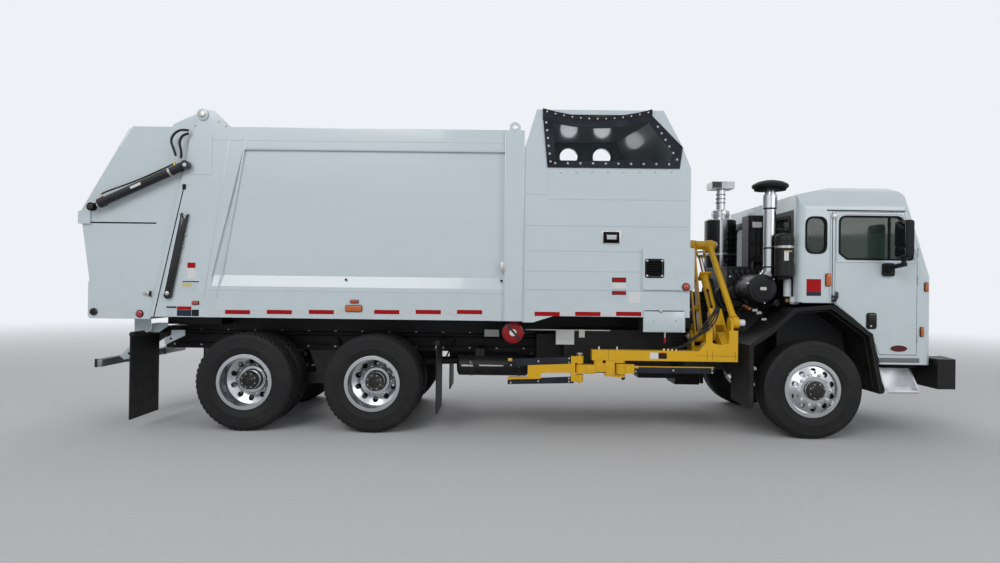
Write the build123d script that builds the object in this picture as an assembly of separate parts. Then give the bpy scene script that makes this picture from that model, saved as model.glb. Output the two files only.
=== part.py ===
from build123d import *
import math
import os

# Side-loading refuse truck on three axles, with its folding loader arm stowed.
# Millimetres, +Z up, +X forwards, +Y to the truck's left. X is worked out from the front axle
# and every piece is moved at the end, so that the origin is at mid length on the ground.
os.makedirs("parts", exist_ok=True)

# Stance
FRONT_OVERHANG = 1600
REAR_OVERHANG = 7925
WHEELBASE = 5436
TANDEM_SPACING = 1386
ORIGIN_X = (REAR_OVERHANG - FRONT_OVERHANG) / 2
MID_AXLE_X = -WHEELBASE + TANDEM_SPACING / 2
REAR_AXLE_X = -WHEELBASE - TANDEM_SPACING / 2

# Wheels
TYRE_R = 530
AXLE_Z = TYRE_R
BEAD_R = 290
FLANGE_R = 300
RIM_WALL = 26
DISC_T = 24
FRONT_TYRE_W = 315
REAR_TYRE_W = 280
FRONT_WHEEL_Y = 1062
TWIN_SPACING = 343
OUTER_TWIN_Y = 1080
WHEEL_OFFSET = TWIN_SPACING / 2
HAND_HOLES = 10
HAND_HOLE_R = 31
HAND_HOLE_PCD = 410
HUB_R = 105
DRUM_R = 205
SPINDLE_R = 45
SPINDLE_FIT = 1
KINGPIN_Y = 930
KINGPIN_R = 22
KINGPIN_FIT = 1
EYE_R = 55
EYE_H = 110
EAR_T = 45
EAR_GAP = 6
KNUCKLE_FACE_Y = KINGPIN_Y + EYE_R + EAR_GAP + 24

# Chassis
RAIL_Y = 430
RAIL_H = 260
RAIL_TOP = 1080
RAIL_FLANGE = 80
RAIL_T = 12
DROP_TOP = 900
RAIL_REAR_X = -7350
RAIL_FRONT_X = 1150
DROP_START_X = -620
DROP_END_X = -250
AXLE_TUBE_R = 75
DIFF_R = 185
SHAFT_R = 48
SPRING_EYE_Z = 626
SHAFT_Z = 745
GEARBOX_REAR_X = -1140
ENGINE_FRONT_X = -205
GUARD_LEG_T = 30
SILL_W = 90
FLAP_T = 15
BATTERY_X = (-4008, -3195)

# Collecting body
BODY_HALF = 1250
PANEL_HALF = BODY_HALF - 30
WALL_INNER = BODY_HALF - 90
POST_HALF = BODY_HALF + 20
BODY_BOTTOM = 1230
BODY_TOP = 3270
FLOOR_T = 90
ROOF_T = 60
SEAM_GAP = 8
SEAM_BOTTOM_X = -7130
SEAM_TOP_X = -6690
POST_FRONT_X = -3128
POST_W = 206
POST_REAR_X = POST_FRONT_X - POST_W
RECESS_TOP = 3045
RECESS_BEVEL_TOP = 1685
RECESS_BEVEL_BOTTOM = 1567
RECESS_REAR_TOP_X = -6150
RECESS_REAR_BOTTOM_X = -6470
RECESS_FRONT_X = POST_REAR_X
LIFT_EYE_R = 60
LIFT_EYE_HOLE = 27
LIFT_EYE_T = 30

# Hopper
HOPPER_FRONT_X = -1345
HOPPER_BOTTOM = 1290
HOPPER_HEEL_Z = 1218
HOPPER_HEEL_X = (POST_FRONT_X + 108, POST_FRONT_X + 328)
HOPPER_WALL = 50
SILL_Z = 2880
MOUTH_REAR_X = POST_FRONT_X + 278
MOUTH_FRONT_X = -1510
HOOD_REAR_X = POST_FRONT_X + 203
HOOD_FRONT_X = -1780
HOOD_NEAR_Z = 3500
HOOD_FAR_Z = 3700
HOOD_FOOT_X = POST_FRONT_X + 8
HOOD_FOOT_Z = 3100
NOSE_Z = 3120
NOSE_X = -1440
PORTHOLE_R = 125
PORTHOLE_Z = 3450
PORTHOLE_X = (-2440, -1970)
POD_X = (-1855, -1306)
POD_Z = (1584, 2034)
LOUVRE_HALF = 85
CONTROL_BOX_X = (-1840, -1395)
CONTROL_BOX_Z = (1134, 1367)
PACKER_X = (-1900, -1420)
PACKER_TOP = 2100
PACKER_GAP = 12

# Tailgate
HINGE_X = -6603
HINGE_Z = 3414
TAIL_TOP_X = -7360
TAIL_TOP_Z = 3280
TAIL_HIP_X = -REAR_OVERHANG
TAIL_HIP_TOP = 2350
TAIL_HIP_BOTTOM = 2220
TAIL_LOW_X = -7808
TAIL_KNEE_Z = 1610
TAIL_BOTTOM = 1200
TAIL_WALL = 60
HIP_HALF = BODY_HALF
CYL_BASE = (-6743, 2853)
CYL_EYE = (-7742, 2396)
CYL_Y = BODY_HALF + 56
CYL_R = 46
CYL_ROD_R = 24
CYL_BARREL_L = 1010
EYE_HALF_W = 26
OPEN_PIVOT_GAP = 6
PIN_R = 20
PIN_FIT = 1
HINGE_PIN_R = 35
HINGE_PLATE_T = 30

# Cab
CAB_REAR_X = -160
CAB_FRONT_X = 1294
CAB_HALF = 1170
CAB_WALL = 45
CAB_REAR_R = 75
CAB_FRONT_R = 100
SCREEN_LOW_Z = 1760
SCREEN_TOP_X = 1066
CAB_BOTTOM = 810
CAB_FLOOR = 890
DRIP_Z = 2490
ROOF_Z = 2790
ROOF_LAMP_Y = (180, 600)
DOOR_GAP = 6
DOOR_HINGE_X = 1126
GLASS_T = 8
DOGHOUSE_HALF = 400
DOGHOUSE_X = 470
DOGHOUSE_TOP = 1520
ARCH_HALF_IN = 600
WELL_TOP = 1510
REAR_WINDOW_HALF = CAB_HALF - 225
REAR_WINDOW_Z = (1760, 2420)
SEAT_Y = CAB_HALF - 340
STEP_X = (760, 1125)
STEP_Z = 508
STEP_T = 32
STEP_SIDE_T = 18

# Loader arm, which works in the bay between hopper and engine. Its points are (Y, Z).
ARM_PIVOT = (-545, 1040)
ELBOW = (-190, 2130)
WRIST = (-1150, 1238)
BOOM_X = -1065
BOOM_HALF_W = 48
BOOM_PLATE_T = 20
BOOM_D = 150
FOREARM_X = -828
FOREARM_R = 36
ARM_PIN_R = 30
ARM_BOSS_R = 62
ARM_GAP = 9
TILT_X = -940
TILT_EYE = (-150, 2020)
TILT_FOOT = (-975, 1085)
TILT_R = 52
TILT_ROD_R = 26
TILT_BARREL_L = 905
TILT_FORK = (50, 70)
TILT_FORK_L = 330
LIFT_X = -1215
LIFT_BASE = (150, 960)
LIFT_EYE = (-335, 1480)
LIFT_R = 42
LIFT_ROD_R = 26
LIFT_BARREL_L = 590
LIFT_FOOT_Z = 900
LIFT_EYE_HALF_W = 30
TILT_EYE_FIT = 5
BEAM_X = (-2378, -820)
BEAM_Y = (-1235, -1113)
BEAM_Z = (822, 932)
UPRIGHT_Z = 1156
REAR_FINGER_X = -2505
FRONT_FINGER_X = -2062
FINGER_Y = -1190
FINGER_T = 70
FINGER_PIN_R = 20
BELT_T = 14
REAR_BELT_X = -3277
FRONT_BELT_X = -1062


def block(x, y, z):
    """A box between three pairs of limits."""
    size = [abs(high - low) for low, high in (x, y, z)]
    centre = [(low + high) / 2 for low, high in (x, y, z)]
    return Pos(*centre) * Box(*size)


def prism(points, low, high, axis):
    """An outline pushed from low to high along X, Y or Z."""
    place = {
        "X": lambda a, b: (low, a, b),
        "Y": lambda a, b: (a, low, b),
        "Z": lambda a, b: (a, b, low),
    }[axis]
    push = {"X": (1, 0, 0), "Y": (0, 1, 0), "Z": (0, 0, 1)}[axis]
    face = make_face(Polyline(*[place(a, b) for a, b in points], close=True))
    return extrude(face, amount=high - low, dir=push)


def rod(start, end, radius):
    """A round bar between two points."""
    start, end = Vector(*start), Vector(*end)
    return Solid.make_cylinder(radius, (end - start).length, Plane(start, z_dir=end - start))


def turned(profile, y_side, x, z):
    """A profile of (radius, y) turned about an axle. y_side is 1 on the left, -1 on the right."""
    face = make_face(Polyline(*[(r, y_side * y) for r, y in profile], close=True))
    return Pos(x, 0, z) * revolve(face, Axis.Y)


def mirrored(shape):
    return mirror(shape, Plane.XZ)


def ribbon(points, thickness):
    """The outline of a bent plate: points is its outer line, and its inner line is mitred."""
    inner = []
    for i, here in enumerate(points):
        before = points[max(i - 1, 0)]
        after = points[min(i + 1, len(points) - 1)]
        normals = []
        for a, b in ((before, here), (here, after)):
            length = math.hypot(b[0] - a[0], b[1] - a[1])
            if length > 0:
                normals.append(((b[1] - a[1]) / length, -(b[0] - a[0]) / length))
        nx = sum(n[0] for n in normals) / len(normals)
        nz = sum(n[1] for n in normals) / len(normals)
        stretch = thickness / (nx * nx + nz * nz)
        inner.append((here[0] + nx * stretch, here[1] + nz * stretch))
    return list(points) + inner[::-1]


def along(start, end, distance):
    """The point at a distance from start towards end, in a plane."""
    length = math.hypot(end[0] - start[0], end[1] - start[1])
    share = distance / length
    return (start[0] + (end[0] - start[0]) * share, start[1] + (end[1] - start[1]) * share)


def seam_x(z):
    """X of the body's rear edge at a height."""
    share = (z - BODY_BOTTOM) / (BODY_TOP - BODY_BOTTOM)
    return SEAM_BOTTOM_X + (SEAM_TOP_X - SEAM_BOTTOM_X) * share


def tyre(width, y):
    half = width / 2
    profile = [  # radius, distance from the middle of the tread
        (BEAD_R, -0.40 * width), (FLANGE_R + 2, -0.40 * width), (FLANGE_R + 45, -0.485 * width),
        (TYRE_R - 110, -half), (TYRE_R - 45, -0.485 * width), (TYRE_R - 8, -0.42 * width),
        (TYRE_R, -0.36 * width), (TYRE_R, 0.36 * width), (TYRE_R - 8, 0.42 * width),
        (TYRE_R - 45, 0.485 * width), (TYRE_R - 110, half), (FLANGE_R + 45, 0.485 * width),
        (FLANGE_R + 2, 0.40 * width), (BEAD_R, 0.40 * width),
    ]
    return [(r, a + y) for r, a in profile]


def rim(width, y, disc_side):
    """Well with its two flanges, and a dished disc towards disc_side."""
    edge = 0.40 * width
    well = [
        (BEAD_R - 0.5 - RIM_WALL, -edge - 12), (FLANGE_R, -edge - 12), (FLANGE_R, -edge),
        (BEAD_R - 0.5, -edge), (BEAD_R - 0.5, edge), (FLANGE_R, edge), (FLANGE_R, edge + 12),
        (BEAD_R - 0.5 - RIM_WALL, edge + 12),
    ]
    seat = disc_side * WHEEL_OFFSET
    root = disc_side * (edge - 15)
    step = disc_side * DISC_T
    disc = [
        (0, seat), (150, seat), (BEAD_R - 12, root), (BEAD_R - 12, root - step),
        (145, seat - step), (0, seat - step),
    ]
    return [(r, a + y) for r, a in well], [(r, a + y) for r, a in disc]


def wheel(width, y, disc_side, side, axle_x):
    well, disc = rim(width, y, disc_side)
    solid = turned(well, side, axle_x, AXLE_Z) + turned(disc, side, axle_x, AXLE_Z)
    reach = abs(WHEEL_OFFSET) + 60
    for i in range(HAND_HOLES):
        angle = 2 * math.pi * (i + 0.5) / HAND_HOLES
        x = axle_x + math.cos(angle) * HAND_HOLE_PCD / 2
        z = AXLE_Z + math.sin(angle) * HAND_HOLE_PCD / 2
        low, high = sorted((side * (y - reach), side * (y + reach)))
        solid -= rod((x, low, z), (x, high, z), HAND_HOLE_R)
    return solid


def front_rim(side):
    hub_face = FRONT_WHEEL_Y + WHEEL_OFFSET
    hub = [
        (SPINDLE_R + SPINDLE_FIT, KNUCKLE_FACE_Y + 8), (DRUM_R, KNUCKLE_FACE_Y + 8), (DRUM_R, hub_face - DISC_T - 40),
        (HUB_R, hub_face - DISC_T), (HUB_R, hub_face), (HUB_R - 15, hub_face + 30),
        (50, hub_face + 40), (0, hub_face + 40), (0, 1180), (SPINDLE_R + SPINDLE_FIT, 1180),
    ]
    return wheel(FRONT_TYRE_W, FRONT_WHEEL_Y, 1, side, 0) + turned(hub, side, 0, AXLE_Z)


def twin_rim(side, axle_x):
    inner_y = OUTER_TWIN_Y - TWIN_SPACING
    seat = OUTER_TWIN_Y - WHEEL_OFFSET
    solid = wheel(REAR_TYRE_W, OUTER_TWIN_Y, -1, side, axle_x)
    solid += wheel(REAR_TYRE_W, inner_y, 1, side, axle_x)
    hub = [
        (AXLE_TUBE_R + SPINDLE_FIT, 640), (DRUM_R, 640), (DRUM_R, 860), (HUB_R + 15, 880),
        (HUB_R, seat), (HUB_R, seat + 110), (HUB_R - 25, seat + 150), (0, seat + 150),
        (0, 870), (AXLE_TUBE_R + SPINDLE_FIT, 870),
    ]
    return solid + turned(hub, side, axle_x, AXLE_Z)


def knuckle(side):
    """Stub axle with two ears round the beam's eye, and its kingpin."""
    y = side * KINGPIN_Y
    top = AXLE_Z + EYE_H / 2 + EAR_GAP
    low = AXLE_Z - EYE_H / 2 - EAR_GAP
    solid = rod((0, y, low - EAR_T), (0, y, top + EAR_T), KINGPIN_R)
    solid += rod((0, y, top), (0, y, top + EAR_T), EYE_R)
    solid += rod((0, y, low - EAR_T), (0, y, low), EYE_R)
    plate = sorted((side * (KINGPIN_Y + 10), side * KNUCKLE_FACE_Y))
    web = block((-50, 50), plate, (low - EAR_T, top + EAR_T))
    eye_room = rod((0, y, low), (0, y, top), EYE_R + EAR_GAP)
    solid += web - eye_room
    solid += rod((0, side * (KNUCKLE_FACE_Y - 10), AXLE_Z), (0, side * 1165, AXLE_Z), SPINDLE_R)
    return solid


def front_axle():
    """Dropped beam with an eye at each end, and the leaf springs bolted to it."""
    top = AXLE_Z + 5
    outline = [
        (-870, top), (-760, top), (-620, 470), (620, 470), (760, top), (870, top),
        (870, top - 70), (760, top - 90), (620, 370), (-620, 370), (-760, top - 90),
        (-870, top - 70),
    ]
    solid = prism(outline, -45, 45, "X")
    for side in (-1, 1):
        y = side * KINGPIN_Y
        solid += block((-40, 40), sorted((side * 850, side * 900)), (AXLE_Z - 45, AXLE_Z + 45))
        solid += rod((0, y, AXLE_Z - EYE_H / 2), (0, y, AXLE_Z + EYE_H / 2), EYE_R)
        solid -= rod((0, y, AXLE_Z - 80), (0, y, AXLE_Z + 80), KINGPIN_R + KINGPIN_FIT)
        leaf = [
            (-640, SPRING_EYE_Z), (-300, 555), (0, 535), (300, 555), (640, SPRING_EYE_Z), (640, 600),
            (300, 525), (120, 470), (-120, 470), (-300, 525), (-640, 600),
        ]
        low, high = sorted((side * 390, side * 470))
        solid += prism(leaf, low, high, "Y")
    return solid


def rear_axles():
    """Two drive axles, the walking beams that carry them and the propeller shafts."""
    solid = None
    for x in (MID_AXLE_X, REAR_AXLE_X):
        housing = [
            (0, -866), (AXLE_TUBE_R, -866), (AXLE_TUBE_R, -330), (DIFF_R, -110), (DIFF_R, 110),
            (AXLE_TUBE_R, 330), (AXLE_TUBE_R, 866), (0, 866),
        ]
        axle = turned(housing, 1, x, AXLE_Z)
        axle += rod((x, 0, AXLE_Z + 60), (x + 330, 0, SHAFT_Z - 90), 95)
        solid = axle if solid is None else solid + axle
    for side in (-1, 1):
        low, high = sorted((side * 385, side * 475))
        beam = [
            (REAR_AXLE_X - 110, 480), (REAR_AXLE_X + 110, 480), (-WHEELBASE - 160, 560),
            (-WHEELBASE + 160, 560), (MID_AXLE_X - 110, 480), (MID_AXLE_X + 110, 480),
            (MID_AXLE_X + 110, 390), (-WHEELBASE, 430), (REAR_AXLE_X - 110, 390),
        ]
        solid += prism(beam, low, high, "Y")
        saddle = [
            (-WHEELBASE - 190, RAIL_TOP - RAIL_H), (-WHEELBASE + 190, RAIL_TOP - RAIL_H),
            (-WHEELBASE + 90, 540), (-WHEELBASE - 90, 540),
        ]
        solid += prism(saddle, low, high, "Y")
    solid += rod((REAR_AXLE_X + 320, 0, SHAFT_Z - 90), (MID_AXLE_X - 60, 0, AXLE_Z + 90), SHAFT_R)
    solid += rod((MID_AXLE_X + 320, 0, SHAFT_Z - 90), (GEARBOX_REAR_X - 2, 0, SHAFT_Z), SHAFT_R)
    return solid


def chassis_frame():
    """Two channel rails that drop under the cab, joined by cross members."""
    line = [
        (RAIL_REAR_X, RAIL_TOP), (DROP_START_X, RAIL_TOP), (DROP_END_X, DROP_TOP),
        (RAIL_FRONT_X, DROP_TOP),
    ]
    lower = [(x, z - RAIL_H) for x, z in line[::-1]]
    inner_top = [(x, z - RAIL_T) for x, z in line]
    inner_low = [(x, z - RAIL_H + RAIL_T) for x, z in line[::-1]]
    web = prism(line + lower, RAIL_Y - RAIL_T, RAIL_Y, "Y")
    flanges = prism(line + lower, RAIL_Y - RAIL_FLANGE, RAIL_Y, "Y")
    flanges -= prism(inner_top + inner_low, RAIL_Y - RAIL_FLANGE, RAIL_Y - RAIL_T, "Y")
    rail = web + flanges
    solid = rail + mirrored(rail)
    inside = (-RAIL_Y + RAIL_T, RAIL_Y - RAIL_T)
    members = [  # middle X, top Z, depth
        (RAIL_REAR_X + 60, RAIL_TOP, 200), (REAR_AXLE_X - 420, RAIL_TOP, 160),
        (-WHEELBASE, RAIL_TOP, 150), (MID_AXLE_X + 520, RAIL_TOP, 160),
        (-3300, RAIL_TOP, 160), (-2300, RAIL_TOP, 160), (LIFT_X, LIFT_FOOT_Z, 80),
        (RAIL_FRONT_X - 60, DROP_TOP, 220),
    ]
    for x, top, depth in members:
        solid += block((x - 50, x + 50), inside, (top - depth, top))
    for side in (-1, 1):
        low, high = sorted((side * 395, side * 465))
        for x, top in ((-660, RAIL_TOP - RAIL_H + 40), (660, DROP_TOP - RAIL_H + 120)):
            solid += block((x - 35, x + 35), (low, high), (SPRING_EYE_Z, top))
        low, high = sorted((side * (RAIL_Y - SILL_W), side * RAIL_Y))
        solid += block((SEAM_BOTTOM_X + 30, POST_FRONT_X), (low, high), (RAIL_TOP, BODY_BOTTOM))
        solid += block((POST_FRONT_X, HOPPER_FRONT_X), (low, high), (RAIL_TOP, HOPPER_HEEL_Z))
        solid += block((HOPPER_HEEL_X[1], HOPPER_FRONT_X), (low, high), (RAIL_TOP, HOPPER_BOTTOM))
    return solid


def arm_base():
    """Ears for the boom's pin, bolted to the right rail, and the lift cylinder's foot."""
    y, z = ARM_PIVOT
    half = BOOM_HALF_W + ARM_GAP + 34
    solid = block((BOOM_X - half, BOOM_X + half), (y - 110, -RAIL_Y), (RAIL_TOP - RAIL_H, 930))
    for low in (BOOM_X - half, BOOM_X + half - 34):
        outline = [(y - 110, 925), (y + 70, 925), (y + 70, z + 20), (y, z + 75), (y - 70, z + 20)]
        solid += prism(outline, low, low + 34, "X")
    solid -= rod((BOOM_X - half - 5, y, z), (BOOM_X + half + 5, y, z), ARM_PIN_R + PIN_FIT)
    by, bz = LIFT_BASE
    inner = LIFT_R + 8
    foot = block((LIFT_X - inner - 14, LIFT_X + inner + 14), (by - 55, by + 55), (LIFT_FOOT_Z, LIFT_FOOT_Z + 12))
    for low in (LIFT_X - inner - 14, LIFT_X + inner):
        foot += block((low, low + 14), (by - 55, by + 55), (LIFT_FOOT_Z, bz + 45))
    foot -= rod((LIFT_X - 80, by, bz), (LIFT_X + 80, by, bz), PIN_R + PIN_FIT)
    return [solid, foot]


def engine():
    """Engine block and gearbox, plain, low between the rails behind and under the cab."""
    solid = block((-590, 420), (-330, 330), (950, 1400))
    solid += block((-590, 420), (-300, 300), (680, 950))
    solid += block((-520, 380), (-140, 200), (1400, 1470))
    solid += block((GEARBOX_REAR_X, -590), (-210, 210), (620, 930))
    solid += block((-640, -590), (-300, 300), (700, 1300))
    solid += block((-560, -200), (-420, -330), (1100, 1330))
    solid += block((-690, ENGINE_FRONT_X), (-420, 500), (1390, 1870))
    solid += block((-430, ENGINE_FRONT_X), (-400, -180), (1860, 2480))
    return solid


def air_intake():
    """Rain cap, tall intake pipe, air cleaner drum lying across, and the upright canister."""
    x, y = -388, -950
    solid = rod((x, y, 1800), (x, y, 2720), 68)
    cap = [(0, 2700), (90, 2700), (195, 2730), (197, 2755), (150, 2795), (60, 2820), (0, 2820)]
    face = make_face(Polyline(*[(r, 0, z) for r, z in cap], close=True))
    solid += Pos(x, y, 0) * revolve(face, Axis.Z)
    solid += rod((x, y + 1, 1825), (-455, -880, 1690), 66)
    solid += rod((-479, -1020, 1612), (-479, -440, 1612), 158)
    canister = rod((-285, -1105, 1745), (-285, -1105, 2215), 102)
    bracket = block((-330, -205), (-1050, -440), (1715, 1745))
    return solid + canister + bracket


def exhaust_stack():
    """Treatment canister with its outlet pipe and the flat diffuser on top."""
    x, y = -411, 750
    solid = rod((x, y, 1560), (x, y, 2600), 205)
    solid += rod((x, y, 2600), (x, y, 2660), 130)
    solid += rod((x, y, 2660), (x, y, 2950), 62)
    solid += block((x - 150, x + 150), (y - 130, y + 130), (2940, 3040))
    solid += block((x - 60, x + 60), (y - 60, y + 60), (1400, 1565))
    solid += rod((x, y, 1460), (x, 502, 1460), 60)
    return solid


def body_shell():
    """Smooth-sided collecting body: box with a slanted rear edge, recessed panels and front posts."""
    profile = [
        (SEAM_BOTTOM_X, BODY_BOTTOM), (SEAM_TOP_X, BODY_TOP), (POST_FRONT_X, BODY_TOP),
        (POST_FRONT_X, BODY_BOTTOM),
    ]
    solid = prism(profile, -BODY_HALF, BODY_HALF, "Y")
    room = [
        (seam_x(BODY_BOTTOM) - 300, BODY_BOTTOM + FLOOR_T), (SEAM_TOP_X - 300, BODY_TOP - ROOF_T),
        (POST_FRONT_X + 10, BODY_TOP - ROOF_T), (POST_FRONT_X + 10, BODY_BOTTOM + FLOOR_T),
    ]
    solid -= prism(room, -WALL_INNER, WALL_INNER, "Y")
    bevel = BODY_HALF - PANEL_HALF
    recess = [
        (RECESS_REAR_TOP_X, RECESS_TOP), (RECESS_FRONT_X, RECESS_TOP),
        (RECESS_FRONT_X, RECESS_BEVEL_TOP), (RECESS_REAR_BOTTOM_X, RECESS_BEVEL_TOP),
    ]
    wedge = [
        (-PANEL_HALF, RECESS_BEVEL_TOP + 1), (-PANEL_HALF, RECESS_BEVEL_TOP),
        (-BODY_HALF - 1, RECESS_BEVEL_BOTTOM - bevel / 10), (-BODY_HALF - 1, RECESS_BEVEL_TOP + 1),
    ]
    cut = prism(recess, -BODY_HALF - 1, -PANEL_HALF, "Y")
    cut += prism(wedge, RECESS_REAR_BOTTOM_X, RECESS_FRONT_X, "X")
    solid -= cut
    solid -= mirrored(cut)
    post = block((POST_REAR_X, POST_FRONT_X), (-POST_HALF, -BODY_HALF + 1), (BODY_BOTTOM, BODY_TOP))
    mid = (POST_REAR_X + POST_FRONT_X) / 2
    eye_z = BODY_TOP + 35
    outer, inner = -BODY_HALF + 15, -BODY_HALF + 15 + LIFT_EYE_T
    eye = rod((mid, outer, eye_z), (mid, inner, eye_z), LIFT_EYE_R)
    eye += block((mid - LIFT_EYE_R, mid + LIFT_EYE_R), (outer, inner), (BODY_TOP - 5, eye_z))
    eye -= rod((mid, outer - 5, eye_z), (mid, inner + 5, eye_z), LIFT_EYE_HOLE)
    for piece in (post, eye, hinge_bracket(), cylinder_base(), prop_bar()):
        solid += piece
        solid += mirrored(piece)
    return solid


def hinge_bracket():
    """Body half of the tailgate hinge, on the roof's edge."""
    outline = [
        (HINGE_X - 75, BODY_TOP - 20), (HINGE_X - 75, HINGE_Z), (HINGE_X - 40, HINGE_Z + 60),
        (HINGE_X + 130, HINGE_Z + 45), (HINGE_X + 330, BODY_TOP - 5), (HINGE_X + 330, BODY_TOP - 20),
    ]
    outline = [(max(x, seam_x(z) + 20) if z < BODY_TOP else x, z) for x, z in outline]
    outer = -BODY_HALF + 35
    plate = prism(outline, outer, outer + HINGE_PLATE_T, "Y")
    plate -= rod((HINGE_X, outer - 15, HINGE_Z), (HINGE_X, outer + 45, HINGE_Z), HINGE_PIN_R + PIN_FIT)
    return plate


def cylinder_base():
    """Pin on which the tailgate cylinder swings, on its pad at the body's rear corner."""
    x, z = CYL_BASE
    pad = block((x + 12, x + 260), (-BODY_HALF - 5, -BODY_HALF + 2), (z - 90, z + 330))
    ear = prism([(x - 5, z - 55), (x + 150, z - 80), (x + 150, z + 80), (x - 5, z + 55)],
                -BODY_HALF, -BODY_HALF + 6, "Y")
    stub = rod((x, -BODY_HALF + 6, z), (x, -CYL_Y - 30, z), PIN_R)
    return pad + ear + stub


def prop_bar():
    """Stowed service prop, a channel pinned beside the seam."""
    top, low = (-6778, 2332), (-6948, 1475)
    dx, dz = top[0] - low[0], top[1] - low[1]
    length = math.hypot(dx, dz)
    nx, nz = dz / length * 36, -dx / length * 36
    outline = [
        (low[0] - nx, low[1] - nz), (low[0] + nx, low[1] + nz), (top[0] + nx, top[1] + nz),
        (top[0] + nx * 0.3, top[1] + nz - 60), (top[0] - nx * 0.3, top[1] - nz - 60),
        (top[0] - nx, top[1] - nz),
    ]
    return prism(outline, -BODY_HALF - 42, -BODY_HALF + 1, "Y")


def hopper():
    """Loading hopper with its hood, open on the right above the sill and towards the body."""
    front = HOPPER_FRONT_X
    lower = [
        (POST_FRONT_X, HOPPER_HEEL_Z), (POST_FRONT_X, HOOD_FOOT_Z), (HOOD_FOOT_X, HOOD_FOOT_Z),
        (HOOD_REAR_X, HOOD_FAR_Z + 50), (HOOD_FRONT_X, HOOD_FAR_Z + 50),
        (NOSE_X, NOSE_Z), (front, SILL_Z), (front, HOPPER_BOTTOM),
        (HOPPER_HEEL_X[1], HOPPER_BOTTOM), (HOPPER_HEEL_X[0], HOPPER_HEEL_Z),
    ]
    section = [  # Y, Z of the hood seen from behind
        (-BODY_HALF, HOPPER_HEEL_Z), (-BODY_HALF, HOOD_NEAR_Z), (BODY_HALF, HOOD_FAR_Z),
        (BODY_HALF, HOPPER_HEEL_Z),
    ]
    solid = prism(lower, -BODY_HALF, BODY_HALF, "Y") & prism(section, POST_FRONT_X, front, "X")
    t = HOPPER_WALL
    room_side = [
        (POST_FRONT_X - 5, HOPPER_BOTTOM + FLOOR_T), (POST_FRONT_X - 5, HOOD_FOOT_Z - t),
        (HOOD_FOOT_X + t, HOOD_FOOT_Z - t), (HOOD_REAR_X + t, HOOD_FAR_Z + 50),
        (HOOD_FRONT_X - t, HOOD_FAR_Z + 50), (NOSE_X - t, NOSE_Z - 15), (front - t, SILL_Z),
        (front - t, HOPPER_BOTTOM + FLOOR_T),
    ]
    room_section = [
        (-BODY_HALF + t, HOPPER_BOTTOM), (-BODY_HALF + t, HOOD_NEAR_Z - t),
        (BODY_HALF - t, HOOD_FAR_Z - t), (BODY_HALF - t, HOPPER_BOTTOM),
    ]
    room = prism(room_side, -BODY_HALF, BODY_HALF, "Y")
    room &= prism(room_section, POST_FRONT_X - 5, front, "X")
    solid -= room
    mouth = [
        (MOUTH_REAR_X, SILL_Z), (HOOD_REAR_X + 60, HOOD_NEAR_Z - t), (HOOD_FRONT_X - 40, HOOD_NEAR_Z - t),
        (NOSE_X - t, NOSE_Z - 40), (MOUTH_FRONT_X, SILL_Z),
    ]
    solid -= prism(mouth, -BODY_HALF - 10, -BODY_HALF + t + 10, "Y")
    for x in PORTHOLE_X:
        solid -= rod((x, BODY_HALF - t - 10, PORTHOLE_Z), (x, BODY_HALF + 10, PORTHOLE_Z), PORTHOLE_R)
    pod = block(POD_X, (-BODY_HALF - 30, -BODY_HALF + 1), POD_Z)
    pod = fillet(pod.edges().filter_by(Axis.Y), 25)
    mid_x, mid_z = POD_X[0] + 125, POD_Z[1] - 222
    recess = (-BODY_HALF - 40, -BODY_HALF - 12)
    pod -= block((mid_x - LOUVRE_HALF, mid_x + LOUVRE_HALF), recess,
                 (mid_z - LOUVRE_HALF, mid_z + LOUVRE_HALF))
    solid += pod
    solid += block(CONTROL_BOX_X, (-BODY_HALF - 15, -BODY_HALF + t), CONTROL_BOX_Z)
    solid += block(CONTROL_BOX_X, (-BODY_HALF - 15, -960), (CONTROL_BOX_Z[0], HOPPER_BOTTOM))
    return solid


def hopper_belting():
    """Rubber strips round the mouth: a sagging one under the hood, one down each side, one on the sill."""
    y = (-BODY_HALF - 14, -BODY_HALF - 2)
    sag = []
    left, right = HOOD_REAR_X - 12, HOOD_FRONT_X + 12
    for i in range(9):
        t = i / 8
        dip = 85 * (1 - (2 * t - 1) ** 2)
        sag.append((left + (right - left) * t, HOOD_NEAR_Z + 12 - dip))
    low = [(x, z - 125) for x, z in sag[::-1]]
    strip = prism(sag + low, y[0], y[1], "Y")
    strip += prism([(left, HOOD_NEAR_Z - 60), (left + 55, SILL_Z), (left + 150, SILL_Z),
                    (left + 100, HOOD_NEAR_Z - 60)], y[0], y[1], "Y")
    strip += prism([(right, HOOD_NEAR_Z - 60), (right - 70, HOOD_NEAR_Z - 90), (NOSE_X - 110, NOSE_Z - 60),
                    (MOUTH_FRONT_X - 60, SILL_Z), (MOUTH_FRONT_X + 40, SILL_Z), (NOSE_X, NOSE_Z - 10)],
                   y[0], y[1], "Y")
    strip += prism([(left + 55, SILL_Z), (left + 60, SILL_Z + 75), (MOUTH_FRONT_X + 10, SILL_Z + 75),
                    (MOUTH_FRONT_X + 40, SILL_Z)], y[0], y[1], "Y")
    return strip


def packer_blade():
    """Ram that pushes the load from the hopper into the body."""
    half = BODY_HALF - HOPPER_WALL - PACKER_GAP
    low = HOPPER_BOTTOM + FLOOR_T + PACKER_GAP
    outline = [
        (PACKER_X[0], low), (PACKER_X[0], PACKER_TOP - 60), (PACKER_X[0] + 60, PACKER_TOP),
        (PACKER_X[1], PACKER_TOP), (PACKER_X[1], low),
    ]
    return prism(outline, -half, half, "Y")


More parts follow.
